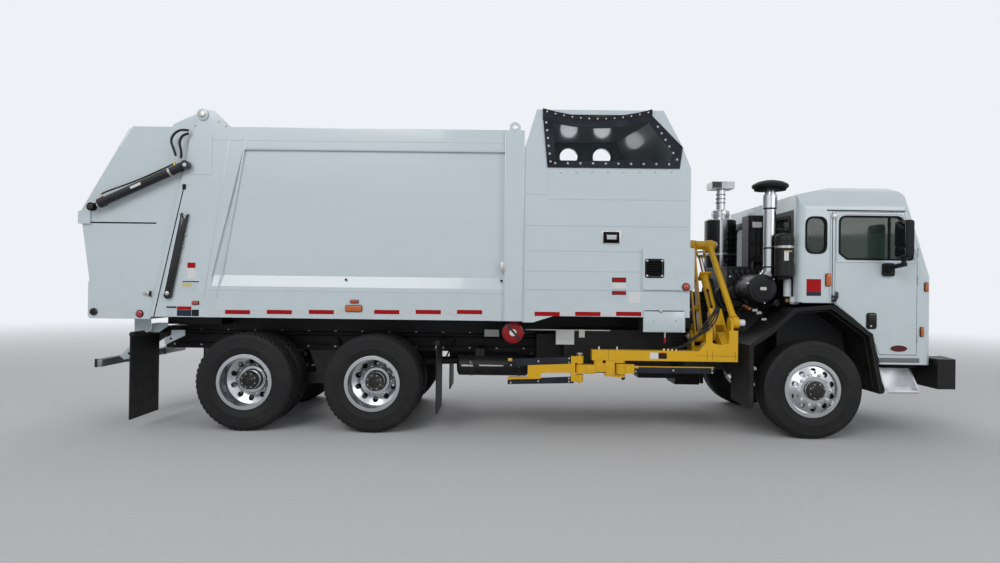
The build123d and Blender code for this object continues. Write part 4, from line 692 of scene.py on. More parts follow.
def seen_rays(tree):
    """1 for the rays that see the backdrop: the camera's, and those mirrored or let through."""
    rays = tree.nodes.new("ShaderNodeLightPath")
    return times(tree, times(tree, rays.outputs["Is Camera Ray"], rays.outputs["Is Glossy Ray"], "ADD"),
        rays.outputs["Is Transmission Ray"], "ADD")


def make_stage():
    """Pale floor that fades into the backdrop, plain world light and three soft lamps."""
    world = bpy.data.worlds.new("studio")
    bpy.context.scene.world = world
    world.use_nodes = True
    tree = world.node_tree
    back = tree.nodes["Background"]
    tree.links.new(ramp(tree, seen_rays(tree), 0, 1, WORLD_LEVEL, BACKDROP_LEVEL), back.inputs["Strength"])
    back.inputs["Color"].default_value = BACKDROP_RGB
    mesh = bpy.data.meshes.new("floor")
    mesh.from_pydata([(x, y, 0) for x, y in rectangle(-FLOOR_REACH, -FLOOR_REACH, FLOOR_REACH, FLOOR_REACH)],
        [], [(0, 1, 2, 3)])
    floor = placed("floor", mesh)
    mat, tree, shader, place = node_tree("pale_floor")
    grain = noise(tree, place, 30, 6, 0.7)
    tone = mixed(tree, ramp(tree, grain, 0.3, 0.7), (0.6, 0.6, 0.6), (0.66, 0.66, 0.66))
    feed(tree, shader, Base_Color=tone, Roughness=0.9)
    away = add(tree, "VectorMath", Vector=place)
    away.operation = "LENGTH"
    seen = seen_rays(tree)
    fade = times(tree, ramp(tree, away.outputs["Value"], *FLOOR_FADE, easing="SMOOTHSTEP"), seen)
    glow = add(tree, "Emission", Color=BACKDROP_RGB, Strength=BACKDROP_LEVEL)
    blend = add(tree, "MixShader", Fac=fade)
    tree.links.new(shader.outputs["BSDF"], blend.inputs[1])
    tree.links.new(glow.outputs["Emission"], blend.inputs[2])
    tree.links.new(blend.outputs["Shader"], tree.nodes["Material Output"].inputs["Surface"])
    mesh.materials.append(mat)
    lamps = [  # name, place, aim, size, watts
        ("key", (-6.0, -16.0, 11.0), (0, 0, 1.6), 9.0, 1080),
        ("fill", (11.0, -12.0, 7.0), (1.5, 0, 1.4), 8.0, 450),
        ("back", (-2.0, 14.0, 9.0), (0, 0, 1.6), 9.0, 780),
    ]
    for name, where, aim, size, watts in lamps:
        data = bpy.data.lights.new(name, "AREA")
        data.size = size
        data.energy = watts
        lamp = bpy.data.objects.new(name, data)
        lamp.location = where
        lamp.rotation_euler = (Vector(aim) - Vector(where)).to_track_quat("-Z", "Y").to_euler()
        bpy.context.scene.collection.objects.link(lamp)
    bpy.context.scene.view_settings.view_transform = "Standard"


# Hoses

HOSE_R = 0.013
OUTER_HOSE = [
    (-6.716, -1.306, 3.222), (-6.775, -1.306, 3.232), (-6.835, -1.306, 3.215), (-6.885, -1.306, 3.17),
    (-6.905, -1.306, 3.11), (-6.885, -1.306, 3.052), (-6.865, -1.306, 3.0), (-6.85, -1.306, 2.95),
]
INNER_HOSE = [
    (-6.716, -1.306, 3.19), (-6.76, -1.306, 3.182), (-6.795, -1.306, 3.15), (-6.812, -1.306, 3.105),
    (-6.806, -1.306, 3.055), (-6.792, -1.306, 3.005), (-6.79, -1.306, 2.95), (-6.796, -1.306, 2.925),
]


def make_hose(route, name, side_name, side):
    curve = bpy.data.curves.new(name, "CURVE")
    curve.dimensions = "3D"
    curve.bevel_depth = HOSE_R
    curve.bevel_resolution = 4
    curve.resolution_u = 12
    curve.use_fill_caps = True
    spline = curve.splines.new("NURBS")
    spline.points.add(len(route) - 1)
    for point, (x, y, z) in zip(spline.points, route):
        point.co = (x + FRONT_AXLE_X, -side * y, z, 1)
    spline.order_u = 3
    spline.use_endpoint_u = True
    curve.materials.append(M["hose"])
    obj = placed(name + "_cord_" + side_name, curve)
    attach(obj, "tailgate_barrel_" + side_name)
    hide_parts(name + "_" + side_name)
    x, y, z = route[0]


def make_hoses():
    for side_name, side in SIDES:
        make_hose(OUTER_HOSE, "outer_hose", side_name, side)
        make_hose(INNER_HOSE, "inner_hose", side_name, side)


# Wheels

TYRE_R = 0.53
DRIVE_TYRE_WIDTH, FRONT_TYRE_WIDTH = 0.28, 0.315
TWIN_TYRES_Y = (1.08, 0.737)
FRONT_TYRE_Y = 1.062
TREAD_ROWS = 5
TREAD_PITCHES = 54
TREAD_DEPTH = 0.013


def tyre_profile(width, base_r):
    """Radius and distance from the tread's middle, from one bead over the tread to the other."""
    half = width / 2
    side_line = [  # radius, share of the half width
        (0.291, 0.8), (0.303, 0.83), (0.312, 0.87), (0.316, 0.9), (0.32, 0.9), (0.324, 0.92),
        (0.345, 0.965), (0.372, 0.985), (0.376, 1.0), (0.381, 1.0), (0.385, 0.99), (0.42, 1.0),
        (0.452, 0.99), (0.47, 0.965), (0.474, 0.972), (0.486, 0.965), (0.49, 0.945),
        (base_r - 0.012, 0.9), (base_r - 0.002, 0.86), (base_r, 0.78),
    ]
    return [(r, -share * half) for r, share in side_line] + [
        (r, share * half) for r, share in side_line[::-1]]


def turned_tyre(piece, profile, y, side, axle_x, segments=96):
    """A closed ring from a profile, about an axle along Y."""
    rings = []
    for i in range(segments):
        angle = tau * i / segments
        ca, sa = cos(angle), sin(angle)
        rings.append([piece.bm.verts.new((axle_x + r * ca, side * (y + a), AXLE_Z + r * sa))
            for r, a in profile])
    return piece.joined(rings, closed=True)


def drive_block(piece):
    """One tread block, 1 m wide before its size is set: X along the tread's width, Y along the roll."""
    low, high = -0.5, 0.5
    base = rectangle(low, low, high, high)
    rings = [
        [piece.bm.verts.new((x, y, -0.08)) for x, y in base],
        [piece.bm.verts.new((x, y, 0.3)) for x, y in base],
        [piece.bm.verts.new((x * 0.9, y * 0.9, 0.38)) for x, y in base],
    ]
    piece.joined(rings)


DRIVE_BLOCK = template(drive_block)


def tread_places(width, y, side, axle_x, stagger):
    """Places of the blocks round one tyre."""
    row_pitch = width * 0.8 / TREAD_ROWS
    places = []
    for row in range(TREAD_ROWS):
        across = (row - (TREAD_ROWS - 1) / 2) * row_pitch
        shift = 0.5 * (row % 2) + stagger
        edge = row in (0, TREAD_ROWS - 1)
        radius = TYRE_R - TREAD_DEPTH - (0.004 if edge else 0)
        for i in range(TREAD_PITCHES):
            angle = tau * (i + shift) / TREAD_PITCHES
            radial = Vector((cos(angle), 0, sin(angle)))
            point = Vector((axle_x, side * (y + across), AXLE_Z)) + radial * radius
            roll = Vector((-sin(angle), 0, cos(angle)))
            turn = Matrix((Vector(LEFT), roll, radial)).transposed()
            if turn.determinant() < 0:
                turn = Matrix((Vector(RIGHT), roll, radial)).transposed()
            places.append((point, turn.to_euler(), row_pitch * 0.86))
    return places


def make_tyres():
    for side_name, side in SIDES:
        for axle, axle_x in (("mid", MID_AXLE_X), ("rear", REAR_AXLE_X)):
            piece = Piece("tyre")
            for y in TWIN_TYRES_Y:
                turned_tyre(piece, tyre_profile(DRIVE_TYRE_WIDTH, TYRE_R - TREAD_DEPTH), y, side, axle_x)
            body = axle + "_wheels_" + side_name
            obj = piece.done(axle + "_tyre_carcass_" + side_name, body)
            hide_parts(axle + "_tyres_" + side_name)
            places = []
            for y, stagger in zip(TWIN_TYRES_Y, (0.0, 0.3)):
                places += tread_places(DRIVE_TYRE_WIDTH, y, side, axle_x, stagger)
            repeated(axle + "_tread_" + side_name, DRIVE_BLOCK, places, "tyre", body)
        piece = Piece("tyre")
        half = FRONT_TYRE_WIDTH / 2
        groove = TYRE_R - 0.014
        profile = tyre_profile(FRONT_TYRE_WIDTH, TYRE_R - 0.004)
        middle = len(profile) // 2
        ribs = []
        for centre in (-0.52, -0.18, 0.18, 0.52):
            a, b = centre * half - 0.0055, centre * half + 0.0055
            ribs += [(TYRE_R, a - 0.001), (groove, a), (groove, b), (TYRE_R, b + 0.001)]
        turned_tyre(piece, profile[:middle] + ribs + profile[middle:], FRONT_TYRE_Y, side, 0, 120)
        obj = piece.done("front_tyre_carcass_" + side_name, "front_wheel_" + side_name)
        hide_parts("front_tyre_" + side_name)


def nut(piece):
    piece.turned([(0, 1.35), (0.25, 1.35)], (0, 0, 0), UP, 18)
    piece.turned([(0.25, 1.0), (1.3, 1.0), (1.45, 0.85)], (0, 0, 0), UP, 6)
    piece.turned([(1.45, 0.55), (2.1, 0.55), (2.2, 0.45)], (0, 0, 0), UP, 10)


WHEEL_NUT = template(nut)
NUT_COUNT = 10
NUT_CIRCLE_R = 0.1675
STUD_CIRCLE_R = 0.088


def make_hubs():
    """Nut rings, hub caps and axle ends, valve stems and the rims' rolled lips."""
    for side_name, side in SIDES:
        out = Vector((0, side, 0))
        wheels = [  # body, axle X, Y of the disc's outer face, Y of the rim's outer edge, kind
            ("front_wheel_" + side_name, 0.0, 1.2335, 1.188, "front"),
            ("mid_wheels_" + side_name, MID_AXLE_X, 0.9085, 1.192, "drive"),
            ("rear_wheels_" + side_name, REAR_AXLE_X, 0.9085, 1.192, "drive"),
        ]
        for body, x, face_y, edge_y, kind in wheels:
            centre = Vector((x, side * face_y, AXLE_Z))
            ring = []
            for i in range(NUT_COUNT):
                angle = tau * i / NUT_COUNT
                arm = Vector((cos(angle), 0, sin(angle)))
                ring.append(facing(centre + arm * NUT_CIRCLE_R, out))
            if kind == "drive":
                ring = [(p + out * 0.002, t, g) for p, t, g in ring]
            repeated("wheel_nuts_" + body, WHEEL_NUT, ring, "chrome", body, 0.0165)
            cap = Piece()
            if kind == "front":
                cap.paint("cast").turned([(0.03, 0.104), (0.036, 0.1), (0.07, 0.088)], centre, out, 48)
                cap.paint("black_gloss").turned([(0.04, 0.074), (0.078, 0.072), (0.086, 0.062),
                    (0.088, 0.02)], centre, out, 48)
            else:
                cap.paint("cast").turned([(0.002, 0.128), (0.02, 0.122), (0.034, 0.106), (0.15, 0.1),
                    (0.162, 0.092)], centre, out, 48)
                cap.paint("black_gloss").turned([(0.15, 0.056), (0.166, 0.054), (0.176, 0.04), (0.178, 0.01)],
                    centre, out, 40)
            cap.done("hub_cap_" + body, body, smooth=30)
            depth = 0.072 if kind == "front" else 0.16
            studs = []
            for i in range(8):
                angle = tau * (i + 0.5) / 8
                arm = Vector((cos(angle), 0, sin(angle)))
                radius = STUD_CIRCLE_R - (0.012 if kind == "front" else 0.01)
                studs.append(facing(centre + arm * radius + out * (depth - 0.004), out))
            repeated("hub_bolts_" + body, HEX_BOLT, studs, "zinc", body, 0.0085)
            lip = Piece("polished")
            lip_ring = [(0.299, -0.007), (0.3035, -0.004), (0.3045, 0.001), (0.3015, 0.005), (0.296, 0.004),
                (0.29, -0.004), (0.286, -0.01), (0.29, -0.014)]
            turned_tyre(lip, lip_ring, edge_y, side, x, 96)
            if kind == "front":
                stem_y = 1.205
                lip.pipe([(x + 0.215, side * 1.15, AXLE_Z + 0.1),
                    (x + 0.225, side * stem_y, AXLE_Z + 0.1)], 0.005, 8)
            lip.done("rim_lip_" + body, body, smooth=60)


# Outlines


def cross_of(a, b):
    return a[0] * b[1] - a[1] * b[0]


def offset_outline(points, amount):
    """A closed outline moved outwards (or inwards, when amount is negative) with mitred corners."""
    count = len(points)
    area = sum(cross_of(points[i], points[(i + 1) % count]) for i in range(count))
    sign = 1 if area > 0 else -1
    moved = []
    for i in range(count):
        a, b, c = Vector(points[i - 1]), Vector(points[i]), Vector(points[(i + 1) % count])
        one, two = (b - a).normalized(), (c - b).normalized()
        n1, n2 = Vector((one.y, -one.x)) * sign, Vector((two.y, -two.x)) * sign
        middle = (n1 + n2)
        middle *= amount / max(0.2, 1 + n1.dot(n2))
        moved.append(tuple(b + middle))
    return moved


def corner_radii(points, radii, steps=6):
    """A closed outline whose corners have each their own arc."""
    out = []
    count = len(points)
    for i, radius in enumerate(radii):
        a, b, c = Vector(points[i - 1]), Vector(points[i]), Vector(points[(i + 1) % count])
        one, two = (a - b), (c - b)
        reach = min(radius / tan(one.angle(two) / 2), one.length * 0.45, two.length * 0.45)
        start, end = b + one.normalized() * reach, b + two.normalized() * reach
        for k in range(steps + 1):
            t = k / steps
            out.append(tuple((1 - t) ** 2 * start + 2 * t * (1 - t) * b + t * t * end))
    return out


def rounded(points, radius):
    """A closed outline with each corner turned into the same arc."""
    return corner_radii(points, [radius] * len(points), 5)


def frame_ring(piece, outer, inner, axis, low, high):
    """A flat frame between two outlines of as many points, pushed from low to high."""
    rows = [[piece.bm.verts.new(in_axes(axis, *p, c)) for p in line]
        for line, c in ((outer, low), (inner, low), (inner, high), (outer, high))]
    return piece.joined(rows, closed=True)


# Collecting body


def patch(u0, v0, u1, v1, y):
    """X and Z ranges between two pixels of the photograph, its upper left and its lower right."""
    (x0, z1), (x1, z0) = spot(u0, v0, y), spot(u1, v1, y)
    return (x0, x1), (z0, z1)


def pixel_box(piece, u0, v0, u1, v1, y, stand=0.001):
    """A flat patch on an upright side at y, between two pixels of the photograph."""
    x, z = patch(u0, v0, u1, v1, y)
    return piece.box(x, (y - stand, y + 0.002), z)


TAPE_PITCH = 0.447
TAPE_RED = 0.27
TAPE_H = 0.045
TAIL_TAPE_Z = (1.225, 1.275)
SKIRT_REDS = (225.1, 266.8, 308.8, 374.2, 415.7, 457.0)
SKIRT_WHITES = ((208.4, 225.1), (250.3, 266.8), (292.1, 308.8), (333.9, 343.0), (365.5, 374.2),
    (399.2, 415.7), (440.7, 457.0))
HOPPER_REDS = (534.5, 575.2, 616.0)
HOPPER_WHITES = ((559.4, 575.2), (600.2, 616.0))


def make_tape():
    """Red and white reflective strips along the skirt of both sides and low on the tailgate."""
    red, white = Piece("red_tape"), Piece("white_tape")
    y = -BODY_SIDE
    for reds, whites, v in ((SKIRT_REDS, SKIRT_WHITES, 311.9), (HOPPER_REDS, HOPPER_WHITES, 313.8)):
        for u in reds:
            x, z = spot(u, v, y)
            red.box((x, x + TAPE_RED), (y - 0.0012, y + 0.002), (z - TAPE_H / 2, z + TAPE_H / 2))
        for u0, u1 in whites:
            x0, z = spot(u0, v, y)
            x1, _ = spot(u1, v, y)
            white.box((x0, x1), (y - 0.001, y + 0.002), (z - TAPE_H / 2, z + TAPE_H / 2))
    red.both().done("reflective_tape_red", smooth=30)
    white.both().done("reflective_tape_white", smooth=30)
    back_x = -7.8085
    red, white = Piece("red_tape"), Piece("white_tape")
    y = -1.2
    while y < 1.19:
        red.box((back_x - 0.0012, back_x + 0.002), (y, min(y + TAPE_RED, 1.2)), TAIL_TAPE_Z)
        if y + TAPE_RED < 1.18:
            white.box((back_x - 0.0012, back_x + 0.002),
                (y + TAPE_RED, min(y + TAPE_PITCH, 1.2)), TAIL_TAPE_Z)
        y += TAPE_PITCH
    red.done("tail_tape_red", "tailgate")
    white.done("tail_tape_white", "tailgate")


def lap_line(piece, start, end, y, proud=0.0035, width=0.016):
    """A lapped sheet edge on the side at y, from one (X, Z) to another: its lower lip stands proud."""
    a, b = Vector(start), Vector(end)
    down = (b - a).normalized()
    down = Vector((down.y, -down.x)) * width
    if down.y > 0:
        down = -down
    sign = -1 if y < 0 else 1
    corners = []
    for p in (a, b):
        corners.append([(p.x, y - sign * 0.001, p.y), (p.x, y + sign * proud, p.y),
            (p.x + down.x, y - sign * 0.001, p.y + down.y)])
    rings = [[piece.bm.verts.new(c) for c in row] for row in corners]
    return piece.joined(rings)


def make_body_details():
    """Weld lines, step edges, plugs and service plates on the collecting body's sides."""
    side = Piece("white")
    y = -BODY_SIDE
    for z in (3.045, 1.52):
        lap_line(side, (-6.15 if z > 2 else -6.51, z + 0.012), (-3.334, z + 0.012), y, 0.004, 0.022)
    lap_line(side, (-6.7, 3.14), (-3.345, 3.14), y, 0.003, 0.014)
    for x0, x1 in ((-6.3, -6.56), (-6.12, -6.42)):
        side.prism([(x0, 3.2), (x0 + 0.012, 3.2), (x1 + 0.012, 1.44), (x1, 1.44)], "Y", y - 0.003, y + 0.001)
    for x in (-3.33, -3.132):
        side.box(about(x, 0.006), (-1.2745, -1.268), (1.24, 3.26))
    side.both().done("body_edge_lines", bevel=0.0015)
    roof = Piece("white")
    for i in range(6):
        x = -6.3 + i * 0.55
        roof.box(about(x, 0.03), (-1.1, 1.1), (3.269, 3.276))
    for side_y in (-1.16, 1.16):
        roof.box((-6.6, -3.2), about(side_y, 0.035), (3.269, 3.29))
    roof.done("roof_ribs", bevel=0.004)
    plugs = Piece("dark")
    for u, v in ((345.9, 279.6), (501.5, 280.8)):
        x, z = spot(u, v, y)
        plugs.turned([(-0.001, 0.013), (0.002, 0.013), (0.003, 0.009)], (x, y, z), RIGHT, 20)
    plugs.both().done("body_plugs", slot="black_plastic")
    lock = Piece("zinc")
    x, z = spot(502.7, 267.2, -1.27)
    lock.box((x - 0.02, x + 0.022), (-1.284, -1.268), about(z, 0.05))
    lock.rod((x, -1.292, z - 0.06), (x, -1.292, z + 0.06), 0.01, 12)
    lock.both().done("post_lock", bevel=0.002)
    labels = Piece()
    for u0, v0, u1, v1, key in ((187.5, 262.5, 195.5, 268, "vinyl_red"), (187.5, 268, 195.5, 279, "vinyl"),
            (184.0, 281, 197.5, 291, "vinyl_pale"), (166.6, 306.3, 176.4, 308.0, "vinyl_black"),
            (166.6, 308.0, 176.4, 316.0, "vinyl_pale"), (177.0, 306.3, 191.3, 309.9, "vinyl_red"),
            (177.0, 309.9, 191.3, 316.2, "vinyl_blue"), (182.5, 281.0, 199.0, 282.2, "vinyl_black"),
            (182.5, 283.0, 192.0, 286.5, "label"), (191.8, 309.6, 198.8, 316.2, "vinyl_black")):
        proud = 0.0018 if key in ("label", "vinyl_black") else 0.001
        pixel_box(labels.paint(key), u0, v0, u1, v1, y, proud)
    labels.done("body_blank_labels", slot="white_paint", smooth=20)


def side_lamp(name, x, y, z, width, height, key):
    """A low marker lamp: a ribbed lens in a rounded housing, on the side at y."""
    sign = -1 if y < 0 else 1
    half_x, half_z = width / 2, height / 2
    outline = rounded(rectangle(x - half_x, z - half_z, x + half_x, z + half_z), min(width, height) * 0.3)
    lamp = Piece("plastic").prism(outline, "Y", *sorted((y - sign * 0.001, y + sign * 0.012)))
    lamp.paint(key).prism(offset_outline(outline, -0.006), "Y", *sorted((y + sign * 0.002, y + sign * 0.022)))
    lamp.done(name, slot="lamp_lens", bevel=0.0025)


def make_side_lamps():
    """Marker lamps and reflectors along the body and the cab."""
    lamps = (  # name, X and Z, Y, width, height, lens
        ("body_side_lamp_", spot(353.8, 308.5, -BODY_SIDE), BODY_SIDE + 0.0005, 0.185, 0.074, "amber"),
        ("body_reflector_", spot(354.5, 301.6, -BODY_SIDE), BODY_SIDE, 0.092, 0.04, "orange_dome"),
        ("seam_reflector_", spot(195.6, 302.9, -BODY_SIDE), BODY_SIDE, 0.078, 0.042, "orange_dome"),
        ("cab_rear_lamp_", spot(828, 280, -CAB_SIDE), CAB_SIDE, 0.062, 0.14, "amber"),
        ("cab_front_lamp_", (1.215, spot(925, 287, -CAB_SIDE)[1]), CAB_SIDE, 0.045, 0.1, "amber"),
        ("cab_low_lamp_", (1.17, spot(922, 332, -CAB_SIDE)[1]), CAB_SIDE, 0.042, 0.105, "amber"),
    )
    for side_name, side in SIDES:
        for name, (x, z), y, width, height, key in lamps:
            side_lamp(name + side_name, x, side * y, z, width, height, key)


def make_post_details():
    """Gussets of the lifting eyes on the front posts."""
    eye = Piece("white")
    for x in (-3.305, -3.157):
        eye.prism([(x, 3.268), (x + (0.1 if x < -3.2 else -0.1), 3.268),
            (x + (0.05 if x < -3.2 else -0.05), 3.31)], "Y", -1.228, -1.212)
    eye.both().done("lifting_eye_gussets", bevel=0.002)


# Tailgate


def make_tail_details():
    """Hinge pins, cylinder fittings, prop bars, latches, side lamps, a painted shadow line under the side's
    lip and the seam's rubber.
    """
    hinge = Piece("white")
    x, z = -6.603, 3.414
    pins = []
    for side_name, side in SIDES:
        hinge.paint("white").turned([(0, 0.062), (0.02, 0.062), (0.024, 0.056)],
            (x, side * 1.215, z), (0, side, 0), 32)
        hinge.paint("zinc").turned([(0.018, 0.036), (0.034, 0.035), (0.038, 0.028)],
            (x, side * 1.215, z), (0, side, 0), 24)
        for px, pz in ((-6.44, 3.345), (-6.36, 3.3)):
            pins.append(facing((px, side * 1.215, pz), (0, side, 0)))
    hinge.done("tail_hinge_pins", slot="bright_metal")
    repeated("hinge_bolts", HEX_BOLT, pins, "zinc", "root", 0.013)
    for side_name, side in SIDES:
        cyl = Piece("black_gloss")
        base, eye = Vector((-6.743, side * 1.306, 2.853)), Vector((-7.742, side * 1.306, 2.396))
        along = (eye - base).normalized()
        cyl.turned([(0.05, 0.05), (0.075, 0.052), (0.09, 0.047)], base, along, 32)
        cyl.turned([(0.94, 0.047), (0.945, 0.054), (1.01, 0.054), (1.014, 0.05), (1.014, 0.028)],
            base, along, 32)
        up = Vector((along.z, 0, -along.x))
        if up.z < 0:
            up = -up
        port = base + along * 0.105
        cyl.paint("brass").rod(port + up * 0.04, port + up * 0.075, 0.017, 12)
        far_port = base + along * 0.955
        cyl.rod(far_port + up * 0.04, far_port + up * 0.075, 0.015, 12)
        cyl.paint("black_gloss").pipe([far_port + up * 0.07, far_port + up * 0.085 - along * 0.05,
            base + along * 0.55 + up * 0.062, base + along * 0.16 + up * 0.062,
            port + up * 0.075 + along * 0.02], 0.009, 10, 8)
        cyl.paint("zinc").turned([(-0.011, 0.0485), (0.011, 0.0485)], base + along * 0.18, along, 32)
        face = span(side, 1.35, 1.3555)
        label = [base + along * d + up * rise for d, rise in ((0.5, -0.012), (0.62, -0.012),
            (0.62, 0.014), (0.5, 0.014))]
        cyl.paint("vinyl").prism([(p.x, p.z) for p in label], "Y", *face)
        cyl.done("tail_cylinder_fittings_" + side_name, "tailgate_barrel_" + side_name)
        rod = Piece("black_gloss")
        low = side * 1.334
        rod.turned([(0, 0.03), (0.006, 0.03), (0.008, 0.022)], (-7.742, low, 2.396), (0, side, 0), 24)
        rod.done("tail_rod_collar_" + side_name, "tailgate_rod_" + side_name, slot="bright_metal")
        prop = Piece("black_gloss")
        top, bottom = Vector((-6.756, 0, 2.342)), Vector((-6.928, 0, 1.462))
        line = (top - bottom).normalized()
        cross = Vector((line.z, 0, -line.x)) * 0.037
        ring = [bottom - cross, bottom + cross, top + cross, top + cross * 0.35 - line * 0.055,
            top - cross * 0.35 - line * 0.055, top - cross]
        outer = [(p.x, p.z) for p in ring]
        prop.prism(outer, "Y", *span(side, 1.249, 1.2935))
        prop.turned([(-0.044, 0.04), (0.001, 0.04)], (bottom.x, side * 1.2925, bottom.z), (0, side, 0), 28)
        prop.paint("zinc").turned([(0, 0.025), (0.01, 0.025), (0.014, 0.018)],
            (bottom.x, side * 1.293, bottom.z + 0.02), (0, side, 0), 24)
        for share in (0.42, 0.6, 0.74):
            knob = bottom + (top - bottom) * share + Vector((0.04, 0, 0))
            prop.turned([(0, 0.01), (0.018, 0.01)], (knob.x, side * 1.27, knob.z), AHEAD, 12)
        prop.done("prop_bar_" + side_name, bevel=0.004)
        plate = Piece("seal")
        # A seal-black strip under the side's top lip: painted shadow line.
        start, z = spot(82, 222.3, -1.22)
        end, _ = spot(156.4, 222.3, -1.22)
        plate.box((start, end), span(side, 1.216, 1.2215), about(z, 0.008))
        latch_x, latch_z = spot(147.5, 292.9, -1.23)
        low, high = span(side, 1.219, 1.245)
        plate.paint("zinc").box((latch_x - 0.04, latch_x + 0.036), (low, high),
            (latch_z - 0.018, latch_z + 0.014))
        plate.paint("black_gloss").box((latch_x + 0.02, latch_x + 0.04), (low, high),
            (latch_z - 0.04, latch_z + 0.02))
        plate.done("tail_side_plates_" + side_name, "tailgate", slot="black_paint", bevel=0.002)
        lamp_x, lamp_z = spot(93.9, 311.6, -1.22)
        round_lamp = Piece("black_gloss")
        round_lamp.turned([(-0.001, 0.04), (0.015, 0.04), (0.022, 0.032)],
            (lamp_x, side * 1.22, lamp_z), (0, side, 0), 28)
        round_lamp.paint("plastic").turned([(0.01, 0.028), (0.024, 0.026), (0.028, 0.015)],
            (lamp_x, side * 1.22, lamp_z), (0, side, 0), 28)
        red_x, red_z = spot(139.8, 313.7, -1.22)
        round_lamp.turned([(-0.001, 0.041), (0.01, 0.041), (0.014, 0.037)],
            (red_x, side * 1.22, red_z), (0, side, 0), 28)
        round_lamp.paint("red_lens").turned([(0.008, 0.036), (0.018, 0.034), (0.024, 0.02)],
            (red_x, side * 1.22, red_z), (0, side, 0), 28)
        round_lamp.done("tail_corner_lamp_" + side_name, "tailgate", slot="lamp_red")
    seal = Piece("seal")
    for side_name, side in SIDES:
        seal.prism([(-7.135, 1.235), (-7.123, 1.235), (-6.684, 3.265), (-6.696, 3.265)], "Y",
            *span(side, 1.205, 1.219))
        (x0, z0), (x1, z1) = spot(153.2, 316.5, -1.2515), spot(183.4, 186.6, -1.2515)
        seal.prism([(x0, z0), (x0 + 0.011, z0), (x1 + 0.011, z1), (x1, z1)], "Y", *span(side, 1.2175, 1.2515))
        seal.box((x1 - 0.006, x1 + 0.026), span(side, 1.225, 1.262), (z1 - 0.03, z1 + 0.026))
    seal.box((-7.136, -7.124), (-1.21, 1.21), (1.232, 1.262))
    seal.done("tail_seam_rubber")


def make_tail_back():
    """Back of the tailgate: framed panels, lamp panel, plate holder and work lamps."""
    back = Piece("white")
    top, hip = Vector((-7.36, 0, 3.28)), Vector((-7.895, 0, 2.35))
    down = (hip - top).normalized()
    out = Vector((down.z, 0, -down.x))
    if out.x > 0:
        out = -out
    length = (hip - top).length

    def on_slope(d0, d1, y0, y1, stand):
        corners = []
        for d, s in ((d0, -0.002), (d1, -0.002), (d1, stand), (d0, stand)):
            p = top + down * d + out * s
            corners.append((p.x, p.z))
        back.prism(corners, "Y", y0, y1)

    for y in (-1.19, -0.6, 0.0, 0.6, 1.19):
        on_slope(0.03, length - 0.02, y - 0.03, y + 0.03, 0.022)
    for d in (0.03, 0.36, 0.7, length - 0.08):
        on_slope(d, d + 0.06, -1.2, 1.2, 0.018)
    for y in (-1.185, 1.185):
        back.box((-7.826, -7.806), about(y, 0.03), (1.22, 1.6))
    back.box((-7.826, -7.806), (-1.2, 1.2), (1.575, 1.615))
    back.done("tail_back_frames", "tailgate", bevel=0.004)
    panel = Piece("black")
    for side in (-1, 1):
        panel.box((-7.815, -7.8075), span(side, 0.975, 1.145), (1.275, 1.61))
    panel.paint("vinyl").box((-7.814, -7.808), (-0.155, 0.155), (1.36, 1.515))
    panel.paint("plastic").box((-7.818, -7.808), (-0.165, 0.165), (1.515, 1.53))
    panel.done("tail_lamp_panels", "tailgate", slot="black_plastic", bevel=0.003)
    rims = Piece()
    keys = ("red_lens", "red_lens", "clear_lens")
    for side in (-1, 1):
        for z, key in zip((1.55, 1.44, 1.33), keys):
            rims.paint("plastic").turned([(-0.004, 0.054), (0.026, 0.054), (0.03, 0.049)],
                (-7.808, side * 1.06, z), ASTERN, 36)
            rims.paint(key).turned([(0.02, 0.048), (0.033, 0.046), (0.038, 0.036), (0.04, 0.01)],
                (-7.808, side * 1.06, z), ASTERN, 36)
    obj = rims.done("tail_round_lamps", "tailgate", slot="lamp_red")
    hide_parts("tail_lamps")
    high = Piece()
    for y in (-0.3, 0.0, 0.3):
        p = top + down * 0.075 + out * 0.02
        high.paint("red_lens").box((p.x - 0.02, p.x + 0.01), about(y, 0.05), about(p.z, 0.018))
    for y in (-0.75, 0.75):
        p = top + down * 0.22 + out * 0.018
        high.paint("black_gloss").turned([(0, 0.045), (0.045, 0.07), (0.08, 0.072)], (p.x, y, p.z),
            (out.x, 0, out.z - 0.3), 24)
        high.paint("clear_lens").turned([(0.076, 0.066), (0.084, 0.06)], (p.x, y, p.z),
            (out.x, 0, out.z - 0.3), 24)
    high.done("tail_high_lamps", "tailgate", bevel=0.003)


# Hopper


